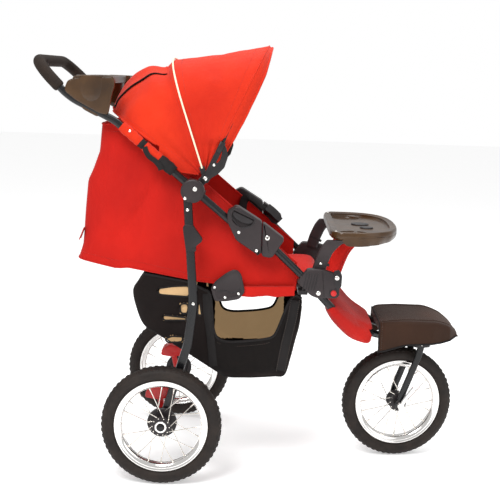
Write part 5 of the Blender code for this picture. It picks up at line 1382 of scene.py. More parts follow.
def makeCanopyRear():
    look = canopyLook
    keys = [(look["middleAngle"], look["middleCloth"])] + list(look["rearRows"])
    rows = []
    total = 26
    for i in range(total):
        degrees = look["middleAngle"] + (147.0 - look["middleAngle"]) * i / (total - 1)
        k = max(j for j in range(len(keys)) if keys[j][0] <= degrees + 1e-6)
        k = min(k, len(keys) - 2)
        share = (degrees - keys[k][0]) / (keys[k + 1][0] - keys[k][0])
        ease = share * share * (3 - 2 * share)
        reach = keys[k][1] + (keys[k + 1][1] - keys[k][1]) * ease
        rows.append(resample(bowRow(degrees, reach, look["low"], look["high"], look["clothStart"],
                                    look["seam"] if i == 0 else 0.0), look["across"]))

    def rearTension(share, across):
        side = abs(across - 0.5) * 2
        gather = 0.9 * share * math.sin(across * 74.0) * (1.0 - side * 0.5)
        return 0.5 * math.sin(share * 13.0 - side * 4.0) * max(0.0, side - 0.35) + gather * 0.55

    rows = ruffle(rows, look["wrinkle"] * 1.25, (11.0, 9.0, 11.0), 7.7, False, rearTension)
    shell = sheetPiece("canopyRearCloth", rows, look["cloth"], "canopyCloth")
    pivot = lift(look["pivot"], 0.0)
    hem = edgeTube("rearHem", smoothLine(rows[-1][4:-4], 2), 0.0030, "canopyCloth", 8)
    seam = stitches("rearStitch", [pivot + (p - pivot) * 1.0030 for p in smoothLine(rows[2][5:-5], 2)], "thread",
                    0.0050)
    low = stitches("rearLowStitch", [pivot + (p - pivot) * 1.0030 for p in smoothLine(rows[-3][5:-5], 2)], "thread",
                   0.0050)
    parts = [shell, seam, low]
    for side in (1, -1):
        skirt = []
        line = [p for p in rows[-1] if p.y * side > 0.17 and (p - pivot).length < 0.255]
        line = sorted(line, key=lambda p: (p - pivot).length)
        for point in resample(line, 34):
            x = point.x - originX
            floor = max(armPoint(x)[1] + 0.0138, 0.7815 - 0.10 * max(0.0, x - 0.02))
            drop = max(0.0, point.z - floor)
            wave = 0.0012 * math.sin(x * 160.0)
            skirt.append([point + Vector((0, side * (0.0008 + wave * k / 6) * (1 if k else 0), -drop * k / 6))
                          for k in range(7)])
        parts.append(sheetPiece("canopySkirt", skirt, look["cloth"], "canopyCloth"))
        parts.append(edgeTube("skirtHem", [row[-1] for row in skirt], 0.0024, "canopyCloth", 8))
    back = [p for p in rows[-1] if (p - pivot).length >= 0.250]
    parts.append(edgeTube("rearHem", smoothLine(back, 2), 0.0030, "canopyCloth", 8))
    bpy.data.objects.remove(hem, do_unlink=True)
    piece = merge("canopyRear", parts)
    fit(piece, "handle_frame", "red_fabric", "canopy_rear")
    squashCanopy(piece)
    return rows


flapLook = {"first": 3, "last": 24, "from": 0.352, "to": 0.648, "rise": 0.0060, "edge": 0.0017}


def makeVent(rows):
    look = flapLook
    count = len(rows[0])
    a, b = int(count * look["from"]), int(count * look["to"])
    pivot = lift(canopyLook["pivot"], 0.0)
    picked = []
    for i in range(look["first"], look["last"] + 1):
        share = (i - look["first"]) / (look["last"] - look["first"])
        row = []
        for k in range(a, b + 1):
            along = (k - a) / (b - a)
            side = math.sin(math.pi * along) ** 0.5
            lifted = 0.0022 + look["rise"] * math.sin(math.pi * share) * (0.5 + 0.5 * side)
            out = (rows[i][k] - pivot).normalized()
            row.append(rows[i][k] + out * lifted)
        picked.append(row)
    shell = sheetPiece("ventFlapCloth", picked, 0.0012, "canopyCloth")
    edge = edgeTube("ventEdge", smoothLine(picked[0], 2), look["edge"], "canopyCloth", 8)
    sewn = []
    for k in (0, -1):
        spots = smoothLine([row[k] for row in picked], 2)
        sewn.append(edgeTube("ventSide", spots, look["edge"], "darkCloth", 8))
        side = math.copysign(1.0, spots[0].y)
        inner = [p + Vector((0, -side * 0.006, 0.0022)) for p in spots[3:-3]]
        sewn.append(stitches("ventStitch", inner, "thread", 0.0050))
    flap = merge("ventFlap", [shell, edge] + sewn)
    fit(flap, "handle_frame", "red_fabric")
    squashCanopy(flap)


def makeBow(name, degrees, reach, half, high, radius, start, layer, body, node, slot, finish, socket=None):
    look = canopyLook
    wire = tubeAlong("wire", bowRow(degrees, reach, half, high, start), radius, finish, 12)
    parts = [wire]
    out = (math.cos(math.radians(degrees)), math.sin(math.radians(degrees)))
    armFinish = "darkMoulding"
    for side in (1, -1):
        tip = (look["pivot"][0] + out[0] * (start + 0.004), look["pivot"][1] + out[1] * (start + 0.004))
        low, far = side * layer[0], side * layer[1]
        parts.append(flatBar("bowArm", (look["pivot"], tip), 0.013, low, far, armFinish, 0.0008))
        eye = moulded("bowEye", disc(look["pivot"], 0.0112, 40), low, far, armFinish, 0.0008, 0.0)
        parts.append(eye)
        if socket:
            inner = (look["pivot"][0] + out[0] * socket[0], look["pivot"][1] + out[1] * socket[0])
            outer = (look["pivot"][0] + out[0] * socket[1], look["pivot"][1] + out[1] * socket[1])
            parts.append(flatBar("bowSocket", (inner, outer), 0.0140, side * (half - 0.0055), side * (half + 0.0055),
                                 armFinish, 0.0030))
    bow = merge(name, parts)
    fit(bow, body, slot, node)


def makeBows():
    look = canopyLook
    makeBow("canopyFrontBow", look["frontAngle"], look["frontReach"], 0.2195, 0.2110, 0.0038, 0.078,
            (0.2172, 0.2219), "canopy_front_hoop", "canopy_front_bow", "black_plastic", "blackPaint", (0.072, 0.100))
    makeBow("canopyMiddleBow", look["middleAngle"], look["middleReach"] - 0.0004, 0.2158, 0.2158, 0.0023, 0.026,
            (0.2125, 0.2165), "canopy_middle_hoop", "canopy_middle_bow", "piping", "piping")
    for name, side in sides.items():
        prongs = moulded("canopyProngs" + name.title(), bracketLook["outline"], side * bracketLook["inner"],
                         side * bracketLook["outer"], "darkMoulding", 0.0012, 0.003)
        fit(prongs, "canopy_front_hoop", "black_plastic")
        head = rivets("prongRivet" + name.title(), [lift(point, side * bracketLook["outer"])
                                                   for point in bracketLook["rivets"]], side, 0.0040, 0.0022)
        fit(head, "canopy_front_hoop", "chrome")


makeBows()
makeCanopyFront()
makeVent(makeCanopyRear())
print("canopy ready")


# Wrist strap on the near handle arm: each sleeve's first and last place along the arm, and its radius
strapLook = {
    "upper": (-0.1160, -0.0690, 0.0145), "lower": (-0.0590, -0.0190, 0.0142), "slider": (-0.0740, -0.0560, 0.0132),
    "patch": (-0.0215, 0.0150, 0.0156), "snap": (-0.0930, 0.8790), "snapRise": 0.0146, "tailRise": 0.0162,
    "tail": ((-0.0560, 0.8420), (-0.0520, 0.8300), (-0.0440, 0.8180), (-0.0300, 0.8080), (-0.0190, 0.7960),
             (-0.0150, 0.7860)), "web": 0.013,
}


def makeSleeve(name, first, last, radius, finish):
    side = -1
    rings = []
    steps = 34
    run = Vector((handleLook["end"][0] - handleLook["bend"][0], 0, handleLook["end"][1] - handleLook["bend"][1]))
    run = run.normalized()
    up = Vector((-run.z, 0, run.x))
    for i in range(steps + 1):
        share = i / steps
        x = first + (last - first) * share
        centre = lift(armPoint(x), side * handleLook["halfWidth"])
        pinch = 1.0 - 0.10 * (abs(share - 0.5) * 2) ** 6
        ring = []
        for k in range(28):
            angle = 2 * math.pi * k / 28
            bump = 0.0007 * noise.noise(Vector((x * 90.0, math.cos(angle) * 1.4, math.sin(angle) * 1.4)))
            bump += 0.0005 * math.sin(x * 420.0 + angle * 2)
            r = radius * pinch + bump
            flat = 0.0024 if math.cos(angle) < -0.75 else 0.0
            ring.append(centre + up * (r - flat) * math.cos(angle) + Vector((0, 1, 0)) * r * math.sin(angle))
        rings.append(ring)
    return loft(name, rings, finish)


def makeBand(name, points, normals, width, thick, finish):
    rings = []
    for i, point in enumerate(points):
        run = (points[min(i + 1, len(points) - 1)] - points[max(i - 1, 0)]).normalized()
        up = normals[i] if isinstance(normals, list) else Vector(normals)
        across = run.cross(up).normalized()
        up = across.cross(run).normalized()
        w, t = width / 2, thick / 2
        rings.append([point + across * w * 0.94 + up * t, point + across * w + up * t * 0.3,
                      point + across * w - up * t * 0.3, point + across * w * 0.94 - up * t,
                      point - across * w * 0.94 - up * t, point - across * w - up * t * 0.3,
                      point - across * w + up * t * 0.3, point - across * w * 0.94 + up * t])
    return loft(name, rings, finish, angle=50.0)


def makeWristStrap():
    look = strapLook
    y = -handleLook["halfWidth"]
    first = makeSleeve("sleeveOne", *look["upper"], "canopyCloth")
    second = makeSleeve("sleeveTwo", *look["lower"], "canopyCloth")
    slider = makeSleeve("slider", *look["slider"], "webbing")
    tailPoints = [lift(p, y - look["tailRise"]) for p in look["tail"]]
    tail = makeBand("strapTail", smoothLine(tailPoints, 6), (0, -1, 0), look["web"], 0.0018, "webbing")
    patch = makeSleeve("patch", *look["patch"], "webbing")
    snap = rivets("strapSnap", [lift(look["snap"], y - look["snapRise"])], -1, 0.0036, 0.0020)
    strap = merge("wristStrap", [first, snap])
    fit(strap, "handle_frame", "red_fabric", "wrist_strap")
    sleeve = merge("armSleeve", [second, slider, patch, tail])
    fit(sleeve, "handle_frame", "red_fabric")


makeWristStrap()
print("wrist strap ready")


# Seat tub: cloth hung from the handle arms round the seat
tubLook = {
    "half": 0.1815, "rise": 0.0340, "top": 0.8920, "low": 0.4890, "cloth": 0.0016, "rows": 40, "across": 160,
    "fold": 0.0040,
    "flare": ((0.0, 0.0), (0.20, 0.0045), (0.34, 0.0210), (0.42, 0.0330), (0.79, 0.0430), (0.90, 0.0480),
              (1.0, 0.0590)),
    "bottom": ((-0.2300, 0.5560), (-0.2167, 0.5522), (-0.1246, 0.5300), (-0.0998, 0.5330), (0.0748, 0.5036),
               (0.1995, 0.4899), (0.3289, 0.4892)),
}


def tubTop(x):
    top = min(armPoint(x)[1] + tubLook["rise"], tubLook["top"])
    if x > 0.26:
        top = min(top, 0.6060 - (x - 0.26) * 0.4)
    return top


def makeTub():
    look = tubLook
    half = look["half"]
    stations = [(0.3280 - 0.418 * i / 22, half) for i in range(23)]
    stations += [(-0.1400, half - 0.0010), (-0.1580, half - 0.0035), (-0.1655, half - 0.0080),
                 (-0.1690, half - 0.0160), (-0.1705, half - 0.0300), (-0.1712, 0.110), (-0.1718, 0.080),
                 (-0.1722, 0.045), (-0.1725, 0.0)]
    plan = [Vector(point) for point in stations + [(x, -y) for x, y in reversed(stations[:-1])]]
    plan = resample(plan, look["across"])
    rows = []
    for level in range(look["rows"]):
        share = level / (look["rows"] - 1)
        row = []
        for k, (x, y) in enumerate(plan):
            top = tubTop(x)
            back = min(1.0, max(0.0, (-0.1 - x) / 0.0705))
            low = max(readLine(look["bottom"], x - 0.045 * back), look["low"])
            z = top + (low - top) * share
            out = Vector((-0.6 * back, math.copysign(1.0 - 0.5 * back, y) if abs(y) > 0.02 else 0, 0))
            spot = Vector((x * 9.0, y * 9.0, z * 3.2))
            fold = noise.noise(spot) + 0.5 * noise.noise(spot * 2.1 + Vector((4, 0, 0)))
            crease = -1.5 * math.exp(-((x + 0.0285 + 0.62 * (0.762 - z)) / 0.008) ** 2) * (1 if 0.60 < z < 0.78 else 0)
            drop = -1.2 * math.exp(-((x + 0.150 + 0.10 * (0.75 - z)) / 0.006) ** 2)
            hold = min(1.0, 4 * share + 0.1) * min(1.0, 4 * (1 - share) + 0.35)
            amount = look["fold"] * hold * (fold + (crease + drop) * 0.8)
            row.append(at(x - back * readLine(look["flare"], share), y, z) + out * amount)
        rows.append(row)
    shell = sheetPiece("tubCloth", rows, look["cloth"], "seatCloth")
    hemTop = edgeTube("tubHem", smoothLine(rows[0], 1), 0.0026, "seatCloth", 8)
    hemLow = edgeTube("tubLowHem", smoothLine(rows[-1], 1), 0.0024, "seatCloth", 8)
    outside = [p + Vector((0, math.copysign(0.0012, p.y), 0)) for p in rows[2]]
    lines = [stitches("tubStitch0", outside, "thread", 0.0055)]
    lower = [p + Vector((0, math.copysign(0.0013, p.y), 0)) for p in rows[-3]]
    lines.append(stitches("tubStitch1", lower, "thread", 0.0055))
    tab = sheetPiece("tubTab", [[at(-0.2130 - 0.006 * k, y, 0.6290 - 0.013 * k - 0.4 * abs(y + 0.166) * k / 2)
                                 for y in (-0.178, -0.170, -0.162, -0.154)] for k in range(3)], 0.0020, "seatCloth")
    tub = merge("seatTub", [shell, hemTop, hemLow, tab] + lines)
    fit(tub, "handle_frame", "red_fabric", "seat_tub")
    run = Vector((handleLook["end"][0] - handleLook["bend"][0], 0, handleLook["end"][1] - handleLook["bend"][1]))
    run = run.normalized()
    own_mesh(tub)


makeTub()
print("seat tub ready")


# Front frame
frontLook = {
    "points": ((0.2640, 0.6015), (0.3578, 0.5145), (0.4150, 0.4525), (0.4750, 0.3880), (0.5600, 0.3500),
               (0.6620, 0.3500)),
    "spread": (0.215, 0.215, 0.215, 0.150, 0.0750, 0.0170), "bends": (0.20, 0.12, 0.12, 0.12), "radius": 0.0095,
    "bracket": ((0.3264, 0.5168), (0.3537, 0.5505), (0.3800, 0.5500), (0.3960, 0.5480), (0.4180, 0.5420),
                (0.4344, 0.5330), (0.4370, 0.5150), (0.4330, 0.4860), (0.4220, 0.4770), (0.4060, 0.4770),
                (0.3823, 0.4760), (0.3637, 0.4826)),
    "bracketInner": 0.2035, "bracketOuter": 0.2275, "button": (0.4202, 0.4910), "railPivot": (0.3823, 0.4898),
    "post": ((0.3810, 0.5400), (0.3900, 0.5700), (0.4030, 0.6000), (0.4240, 0.6220), (0.4500, 0.6360)),
    "postWidth": 0.033, "postThick": 0.0122, "trayTop": 0.6420, "trayThick": 0.021,
}


def frontPath(side):
    look = frontLook
    points = [(x, side * y, z) for (x, z), y in zip(look["points"], look["spread"])]
    return [at(*point) for point in roundedPath(points, look["bends"], 12)]


def makeBracket(name, side):
    look = frontLook
    low, high = side * look["bracketInner"], side * look["bracketOuter"]
    body = moulded("bracketBody", look["bracket"], low, high, "greyMoulding", 0.0040, 0.006, steps=4)
    well = moulded("buttonWell", disc(look["button"], 0.0079, 40), high - side * 0.007, high + side * 0.01,
                   "greyMoulding", 0.0004, 0.0)
    seam = flatBar("bracketSeam", ((0.3890, 0.5620), (0.3990, 0.4620)), 0.0012, high - side * 0.0022,
                   high + side * 0.01, "greyMoulding", 0.0003)
    body = carve(body, [well, seam])
    rib = flatBar("bracketRib", ((0.3390, 0.5330), (0.3340, 0.5120)), 0.0040, high - side * 0.003,
                  high + side * 0.0006, "greyMoulding", 0.0010)
    lug = moulded("bracketLug", disc((0.4220, 0.4910), 0.0128, 48), high - side * 0.004, high + side * 0.0014,
                  "darkMoulding", 0.0012, 0.0)
    lugHole = moulded("lugHole", disc(look["button"], 0.0079, 40), high - side * 0.007, high + side * 0.01,
                      "darkMoulding", 0.0004, 0.0)
    lug = carve(lug, [lugHole])
    ear = moulded("clipEar", [(0.4160, 0.5300), (0.4200, 0.5480), (0.4330, 0.5500), (0.4400, 0.5360),
                              (0.4390, 0.5080), (0.4280, 0.4980)], high - side * 0.006, high + side * 0.0010,
                  "darkMoulding", 0.0012, 0.004)
    ribs = [flatBar("bracketRidge", ((x, 0.5400), (x - 0.0090, 0.4960)), 0.0026, high - side * 0.002,
                    high + side * 0.0010, "darkMoulding", 0.0008) for x in (0.3520, 0.3590, 0.3660, 0.3730, 0.3800)]
    bracket = merge("lowerBracket" + name.title(), [body, rib, lug, ear] + ribs)
    fit(bracket, "front_frame", "grey_plastic", "lower_bracket_" + name)
    heads = rivets("bracketBolts" + name.title(), [lift(look["railPivot"], high - side * 0.0003),
                                                   lift((0.4273, 0.5300), high + side * 0.0008)],
                   side, 0.0062, 0.0026)
    fit(heads, "front_frame", "chrome")
    button = revolve("releaseButton" + name.title(), [(0.0, 0.0), (0.0074, 0.0), (0.0074, 0.0066), (0.0068, 0.0076),
                                                      (0.0052, 0.0078), (0.0046, 0.0072), (0.0, 0.0070)],
                     (0, 0, 0), 0.0, "redMoulding", 36, closed=False)
    button.data.transform(Matrix.Translation(lift(look["button"], high - side * 0.0037))
                          @ Matrix.Diagonal((1.0, side, 1.0, 1.0)))
    if side < 0:
        button.data.flip_normals()
    fit(button, ("left" if side > 0 else "right") + "_release", "red_plastic", "release_button_" + name)


def makePost(name, side):
    look = frontLook
    outer = look["bracketInner"] - 0.0003
    inner = outer - look["postThick"]
    path = [Vector(p) for p in flatPath(look["post"], (0.08, 0.06, 0.06), 14)]
    path = resample([Vector((p.x, p.y, 0)) for p in path], 46)
    top = look["trayTop"] - look["trayThick"] - 0.0004
    rings = []
    for i, point in enumerate(path):
        ahead = path[min(i + 1, len(path) - 1)] - path[max(i - 1, 0)]
        normal = Vector((-ahead.y, ahead.x, 0)).normalized()
        ring = []
        for k in range(28):
            angle = 2 * math.pi * k / 28
            c, d = math.cos(angle), math.sin(angle)
            across = look["postWidth"] / 2 * boxy(c, 0.45)
            depth = (outer - inner) / 2 * boxy(d, 0.5)
            spot = point + normal * across
            ring.append(at(spot.x, side * ((outer + inner) / 2 + depth), min(spot.y, top)))
        rings.append(ring)
    body = loft("postBody", rings, "greyMoulding", angle=45.0)
    parts = [body]
    band = flatBar("postSeam", ((0.3760, 0.5700), (0.4080, 0.5560)), 0.0060, side * inner, side * (outer - 0.0004),
                   "darkMoulding", 0.0008)
    parts.append(band)
    if side > 0:
        parts.append(rodPiece("trayPin", at(0.4300, 0.1971, top - 0.004), at(0.4300, 0.1971, top + 0.0100), 0.0048,
                              0.0048, 20, "darkMoulding"))
    post = merge("trayPost" + name.title(), parts)
    fit(post, "front_frame", "black_plastic", "tray_post_" + name)
    heads = rivets("postRivet" + name.title(), [lift((0.3862, 0.5604), side * (outer - 0.0004))], side, 0.0042, 0.0022)
    fit(heads, "front_frame", "chrome")


childLook = {
    "outline": ((0.4080, 0.1500), (0.4130, 0.1900), (0.4300, 0.2080), (0.4900, 0.2080), (0.5350, 0.1920),
                (0.5680, 0.1550), (0.5860, 0.1000), (0.5920, 0.0400)),
    "top": 0.6420, "thick": 0.021, "well": 0.010, "wellX": 0.4700, "wellY": 0.1400, "wellRadius": 0.0380,
    "cowl": ((0.4400, 0.2060, 0.0004), (0.4480, 0.2062, 0.0090), (0.4560, 0.2064, 0.0125), (0.4700, 0.2066, 0.0130),
             (0.4900, 0.2060, 0.0125), (0.5160, 0.1975, 0.0110),
             (0.5350, 0.1895, 0.0095), (0.5520, 0.1710, 0.0080), (0.5660, 0.1530, 0.0070), (0.5760, 0.1280, 0.0055),
             (0.5840, 0.0990, 0.0050), (0.5895, 0.0400, 0.0040), (0.5905, 0.0, 0.0040)),
}


# Insets of one outline at the heights given
def slabRings(outline, levels):
    base = [Vector(point) for point in outline]
    return [[Vector((point.x + originX, point.y, z)) for point in insetLoop(base, inset)] for inset, z in levels]


def makeChildTray():
    look = childLook
    half = list(look["outline"])
    loop = half + [(x, -y) for x, y in reversed(half)]
    loop = roundCorners(loop, 0.022, 6)
    bottom = look["top"] - look["thick"]
    levels = ((0.0090, bottom), (0.0040, bottom + 0.0010), (0.0012, bottom + 0.0040), (0.0, bottom + 0.0090),
              (0.0004, look["top"] - 0.0050), (0.0022, look["top"] - 0.0014), (0.0050, look["top"] - 0.0001),
              (0.0080, look["top"] - 0.0008), (0.0105, look["top"] - 0.0026))
    body = loft("childTrayBody", slabRings(loop, levels), "trayMoulding")
    cutters = []
    floor = look["top"] - look["well"]
    for side in (1, -1):
        rings = []
        for r, z in ((look["wellRadius"] - 0.006, floor - 0.0038), (look["wellRadius"] - 0.0022, floor - 0.0030),
                     (look["wellRadius"] - 0.0008, floor - 0.0005), (look["wellRadius"], look["top"] + 0.006)):
            rings.append([at(look["wellX"] + r * math.cos(a), side * look["wellY"] + r * math.sin(a), z)
                          for a in (2 * math.pi * k / 56 for k in range(56))])
        cutters.append(loft("wellCut", rings, "trayMoulding"))
    recess = [(0.4290, -0.1850), (0.4860, -0.1850), (0.5250, -0.1720), (0.5530, -0.1380), (0.5680, -0.0920),
              (0.5730, -0.0400)]
    recess = recess + [(x, -y) for x, y in reversed(recess)]
    recess = roundCorners(recess, 0.016, 6)
    cutters.append(loft("recessCut", slabRings(recess, ((0.0050, floor), (0.0012, floor + 0.0008),
                                                         (0.0, floor + 0.0030), (-0.0004, look["top"] + 0.006))),
                        "trayMoulding"))
    cutters.append(rodPiece("pinHole", at(0.4300, 0.1971, bottom - 0.01), at(0.4300, 0.1971, bottom + 0.0110), 0.0056,
                            0.0056, 20, "trayMoulding"))
    body = carve(body, cutters)
    parts = [body]
    line = smoothLine([Vector((x, y, depth)) for x, y, depth in look["cowl"]], 8)
    rows = []
    for point in line + [Vector((p.x, -p.y, p.z)) for p in reversed(line[:-1])]:
        row = []
        for k in range(8):
            share = k / 7
            inward = 0.0042 * share * share
            row.append(at(point.x - inward * (0.2 if abs(point.y) > 0.19 else 1.0),
                          math.copysign(max(abs(point.y) - (0.0 if abs(point.y) > 0.2 else inward), 0.0), point.y),
                          bottom + 0.0080 - (0.0080 + point.z) * share))
        rows.append(row)
    parts.append(sheetPiece("trayCowl", rows, 0.0026, "trayMoulding"))
    parts.append(edgeTube("cowlLip", [row[-1] for row in rows], 0.0015, "trayMoulding", 8))
    for x, y, across in ((0.5000, 0.0200, 0.024), (0.5120, -0.0450, 0.018)):
        rings = [[at(x + r * math.cos(a), y + r * math.sin(a), floor + z) for a in (2 * math.pi * k / 40
                                                                                   for k in range(40))]
                 for r, z in ((across, -0.0004), (across, 0.0016), (across - 0.0016, 0.0030), (across * 0.4, 0.0034))]
        parts.append(loft("trayBoss", rings, "darkMoulding"))
    tray = merge("childTray", parts)
    fit(tray, "tray", "brown_plastic", "child_tray")
    screws = merge("trayScrews", [rivets("trayScrew%d" % i, [at(x, y, look["top"] - 0.0009)], 1, 0.0036, 0.0012,
                                         "rivetSteel", (0.0, 0.0, 0.0))
                                  for i, (x, y) in enumerate(((0.4230, 0.1820), (0.4230, -0.1820)))])
    fit(screws, "tray", "chrome")


for name, side in sides.items():
    tube = tubeAlong("frontTube" + name.title(), frontPath(side), frontLook["radius"] - 0.0001, "blackPaint", 16)
    fit(tube, "front_frame", "black_metal", "front_tube_" + name)
    makeBracket(name, side)
    makePost(name, side)
makeChildTray()
print("front frame ready")


# Footrest, caster and fork
casterLook = {
    "swivel": 0.680, "trail": 0.061, "steer": 7.9, "crown": (0.3110, 0.3270), "stem": 0.0105, "stemTop": 0.3650,
    "headHalf": (0.0250, 0.0290), "head": (0.3310, 0.3908), "blade": 0.0185, "bladeThick": 0.008, "bladeY": 0.0405,
    "axleY": 0.0445,
}
footLook = {
    "top": ((-0.1290, 0.3700), (-0.1290, 0.3850), (-0.1240, 0.3905), (-0.1150, 0.3935), (-0.0900, 0.3962),
            (-0.0624, 0.3978), (-0.0200, 0.3979), (0.0193, 0.3968), (0.0468, 0.3890), (0.0600, 0.3828),
            (0.0700, 0.3760), (0.0790, 0.3680), (0.0843, 0.3613), (0.0840, 0.3560), (0.0826, 0.3505)),
    "bottom": ((-0.1290, 0.3120), (-0.1200, 0.3135), (-0.0782, 0.3275), (-0.0565, 0.3335), (0.0376, 0.3405),
               (0.0826, 0.3500)),
    "plan": ((-0.1290, 0.1100), (-0.1120, 0.1178), (0.0100, 0.1178), (0.0600, 0.0958), (0.0860, 0.0578)),
    "wall": 0.0035, "across": 64, "corner": 0.010,
}


# The fork's turn about its swivel in the photograph
def steerMatrix():
    swivel = at(casterLook["swivel"], 0.0, 0.0)
    return Matrix.Translation(swivel) @ Matrix.Rotation(math.radians(casterLook["steer"]), 4, "Z") @ \
        Matrix.Translation(-swivel)


def makeFootrest():
    look = footLook
    line = smoothLine([Vector((x, z, 0.0)) for x, z in look["top"]], 4)
    rows = []
    for point in line:
        x, top = point.x, point.y
        half = readLine(look["plan"], x)
        low = min(readLine(look["bottom"], x), top - 0.0006)
        corner = min(look["corner"], (top - low) * 0.5)
        path = [Vector((-half, low)), Vector((-half, top - corner))]
        for k in range(1, 7):
            angle = math.pi / 2 * k / 6
            path.append(Vector((-half + corner * (1 - math.cos(angle)), top - corner * (1 - math.sin(angle)))))
        flat = [Vector((-half + corner + (half - corner) * i / 10, top)) for i in range(1, 11)]
        path += flat
        path = resample([Vector((v.x, v.y, 0)) for v in path], look["across"] // 2)
        row = []
        for v in path + [Vector((-v.x, v.y, 0)) for v in reversed(path[:-1])]:
            row.append(at(casterLook["swivel"] + x, v.x, v.y))
        rows.append(row)
    shell = sheetPiece("footShell", rows, look["wall"], "coverCloth", -1.0)
    parts = [shell]
    rimLine = [row[0] + Vector((0, 0, 0.0022)) for row in rows[2:]] + [
        row[-1] + Vector((0, 0, 0.0022)) for row in reversed(rows[2:])]
    parts.append(edgeTube("footBinding", smoothLine(rimLine, 1), 0.0024, "webbing", 8))
    back = [Vector(p) for p in rows[6]]
    parts.append(edgeTube("footBackBinding", [p + Vector((0, 0, 0.0002)) for p in back], 0.0019, "webbing", 8))
    seamRow = [p + Vector((0.0, math.copysign(0.0003, p.y), 0.0004)) for p in rows[10]]
    parts.append(stitches("footStitchBack", seamRow, "paleThread", 0.0056))
    for side in (1, -1):
        index = 15 if side < 0 else len(rows[0]) - 16
        edge = [row[index] + Vector((0, side * 0.0002, 0.0004)) for row in rows[8:-4]]
        parts.append(edgeTube("footSeam", edge, 0.0009, "coverCloth", 6))
        inner = [p + Vector((0, -side * 0.0045, 0.0003)) for p in edge]
        parts.append(stitches("footStitch", inner, "paleThread", 0.0056))
    rest = merge("footrestShell", parts)
    fit(rest, "front_frame", "black_plastic", "footrest")


def makeCasterHead():
    look = casterLook
    low, high = look["head"]
    halfX, halfY = look["headHalf"]
    rings = []
    for inset, z in ((0.0050, low), (0.0014, low + 0.0012), (0.0, low + 0.0050), (0.0, high - 0.0080),
                     (0.0016, high - 0.0026), (0.0060, high)):
        rings.append([at(look["swivel"] + (halfX - inset) * boxy(math.cos(a), 0.5),
                         (halfY - inset) * boxy(math.sin(a), 0.5), z)
                      for a in (2 * math.pi * k / 64 for k in range(64))])
    body = loft("headBody", rings, "darkMoulding")
    bore = rodPiece("bore", at(look["swivel"], 0, low - 0.01), at(look["swivel"], 0, look["stemTop"] + 0.0003),
                    look["stem"] + 0.0008, look["stem"] + 0.0008, 40, "darkMoulding")
    tubes = []
    for side in (1, -1):
        points = frontPath(side)
        tubes.append(tubeAlong("tubeBore", points, frontLook["radius"] + 0.0006, "darkMoulding", 12))
    body = carve(body, [bore] + tubes)
    head = merge("casterHead", [body])
    fit(head, "front_frame", "black_metal", "caster_head")
    face = look["swivel"] + halfX + 0.0003
    outline = [(face, 0.3305), (face + 0.0085, 0.3305), (face + 0.0110, 0.3345), (face + 0.0110, 0.3500),
               (face + 0.0075, 0.3560), (face, 0.3560)]
    latch = moulded("latchBody", outline, -0.009, 0.009, "redMoulding", 0.0016, 0.002)
    ridges = [rodPiece("latchRidge", at(face + 0.0108, -0.0066, z), at(face + 0.0108, 0.0066, z), 0.0007, 0.0007, 8,
                       "redMoulding") for z in (0.3390, 0.3420, 0.3450, 0.3480)]
    latch = merge("swivelLatch", [latch] + ridges)
    fit(latch, "lock", "red_plastic", "swivel_lock")


def makeFork():
    look = casterLook
    wheelX = look["swivel"] - look["trail"]
    outer = look["bladeY"] + look["bladeThick"] / 2
    inner = look["bladeY"] - look["bladeThick"] / 2
    swivel = look["swivel"]
    plan = [(swivel - 0.0300, -outer), (swivel + 0.0120, -outer), (swivel + 0.0220, -0.0200),
            (swivel + 0.0220, 0.0200), (swivel + 0.0120, outer), (swivel - 0.0300, outer)]
    low, high = look["crown"]
    crown = loft("crown", slabRings(roundCorners(plan, 0.010, 5), ((0.0040, low), (0.0010, low + 0.0010),
                                                                 (0.0, low + 0.0035), (0.0, high - 0.0040),
                                                                 (0.0014, high - 0.0012), (0.0050, high))),
                 "darkMoulding")
    parts = [crown]
    parts.append(rodPiece("stem", at(swivel, 0, high - 0.003), at(swivel, 0, look["stemTop"]), look["stem"],
                          look["stem"] - 0.0006, 32, "rivetSteel"))
    path = flatPath(((wheelX, axleHeight), (wheelX + 0.006, 0.185), (swivel - 0.018, 0.2850),
                     (swivel - 0.008, high - 0.001)), (0.08, 0.08), 12)
    path = [Vector((p[0], p[1], 0)) for p in path]
    path = resample(path, 40)
    for side in (1, -1):
        rings = []
        for i, point in enumerate(path):
            ahead = path[min(i + 1, len(path) - 1)] - path[max(i - 1, 0)]
            normal = Vector((-ahead.y, ahead.x, 0)).normalized()
            ring = []
            for k in range(24):
                angle = 2 * math.pi * k / 24
                c, d = math.cos(angle), math.sin(angle)
                spot = point + normal * look["blade"] / 2 * boxy(c, 0.6)
                ring.append(at(spot.x, side * (look["bladeY"] + (look["bladeThick"] / 2 - 0.0001)
                                               * boxy(d, 0.75)), spot.y))
            rings.append(ring)
        parts.append(loft("blade", rings, "blackPaint", angle=50.0))
        parts.append(moulded("bladeFoot", disc((wheelX, axleHeight), 0.0134, 40), side * (inner + 0.0002),
                             side * (outer - 0.0004), "blackPaint", 0.0012, 0.0))
    fork = merge("casterFork", parts)
    fork.data.transform(steerMatrix())
    fit(fork, "fork", "grey_plastic", "caster_fork")
    heads = []
    for side in (1, -1):
        heads.append(rivets("forkRivet", [lift((0.6700, 0.3195), side * (outer - 0.0006))], side, 0.0034, 0.0018))
    heads = merge("forkRivets", heads)
    heads.data.transform(steerMatrix())
    fit(heads, "fork", "chrome")


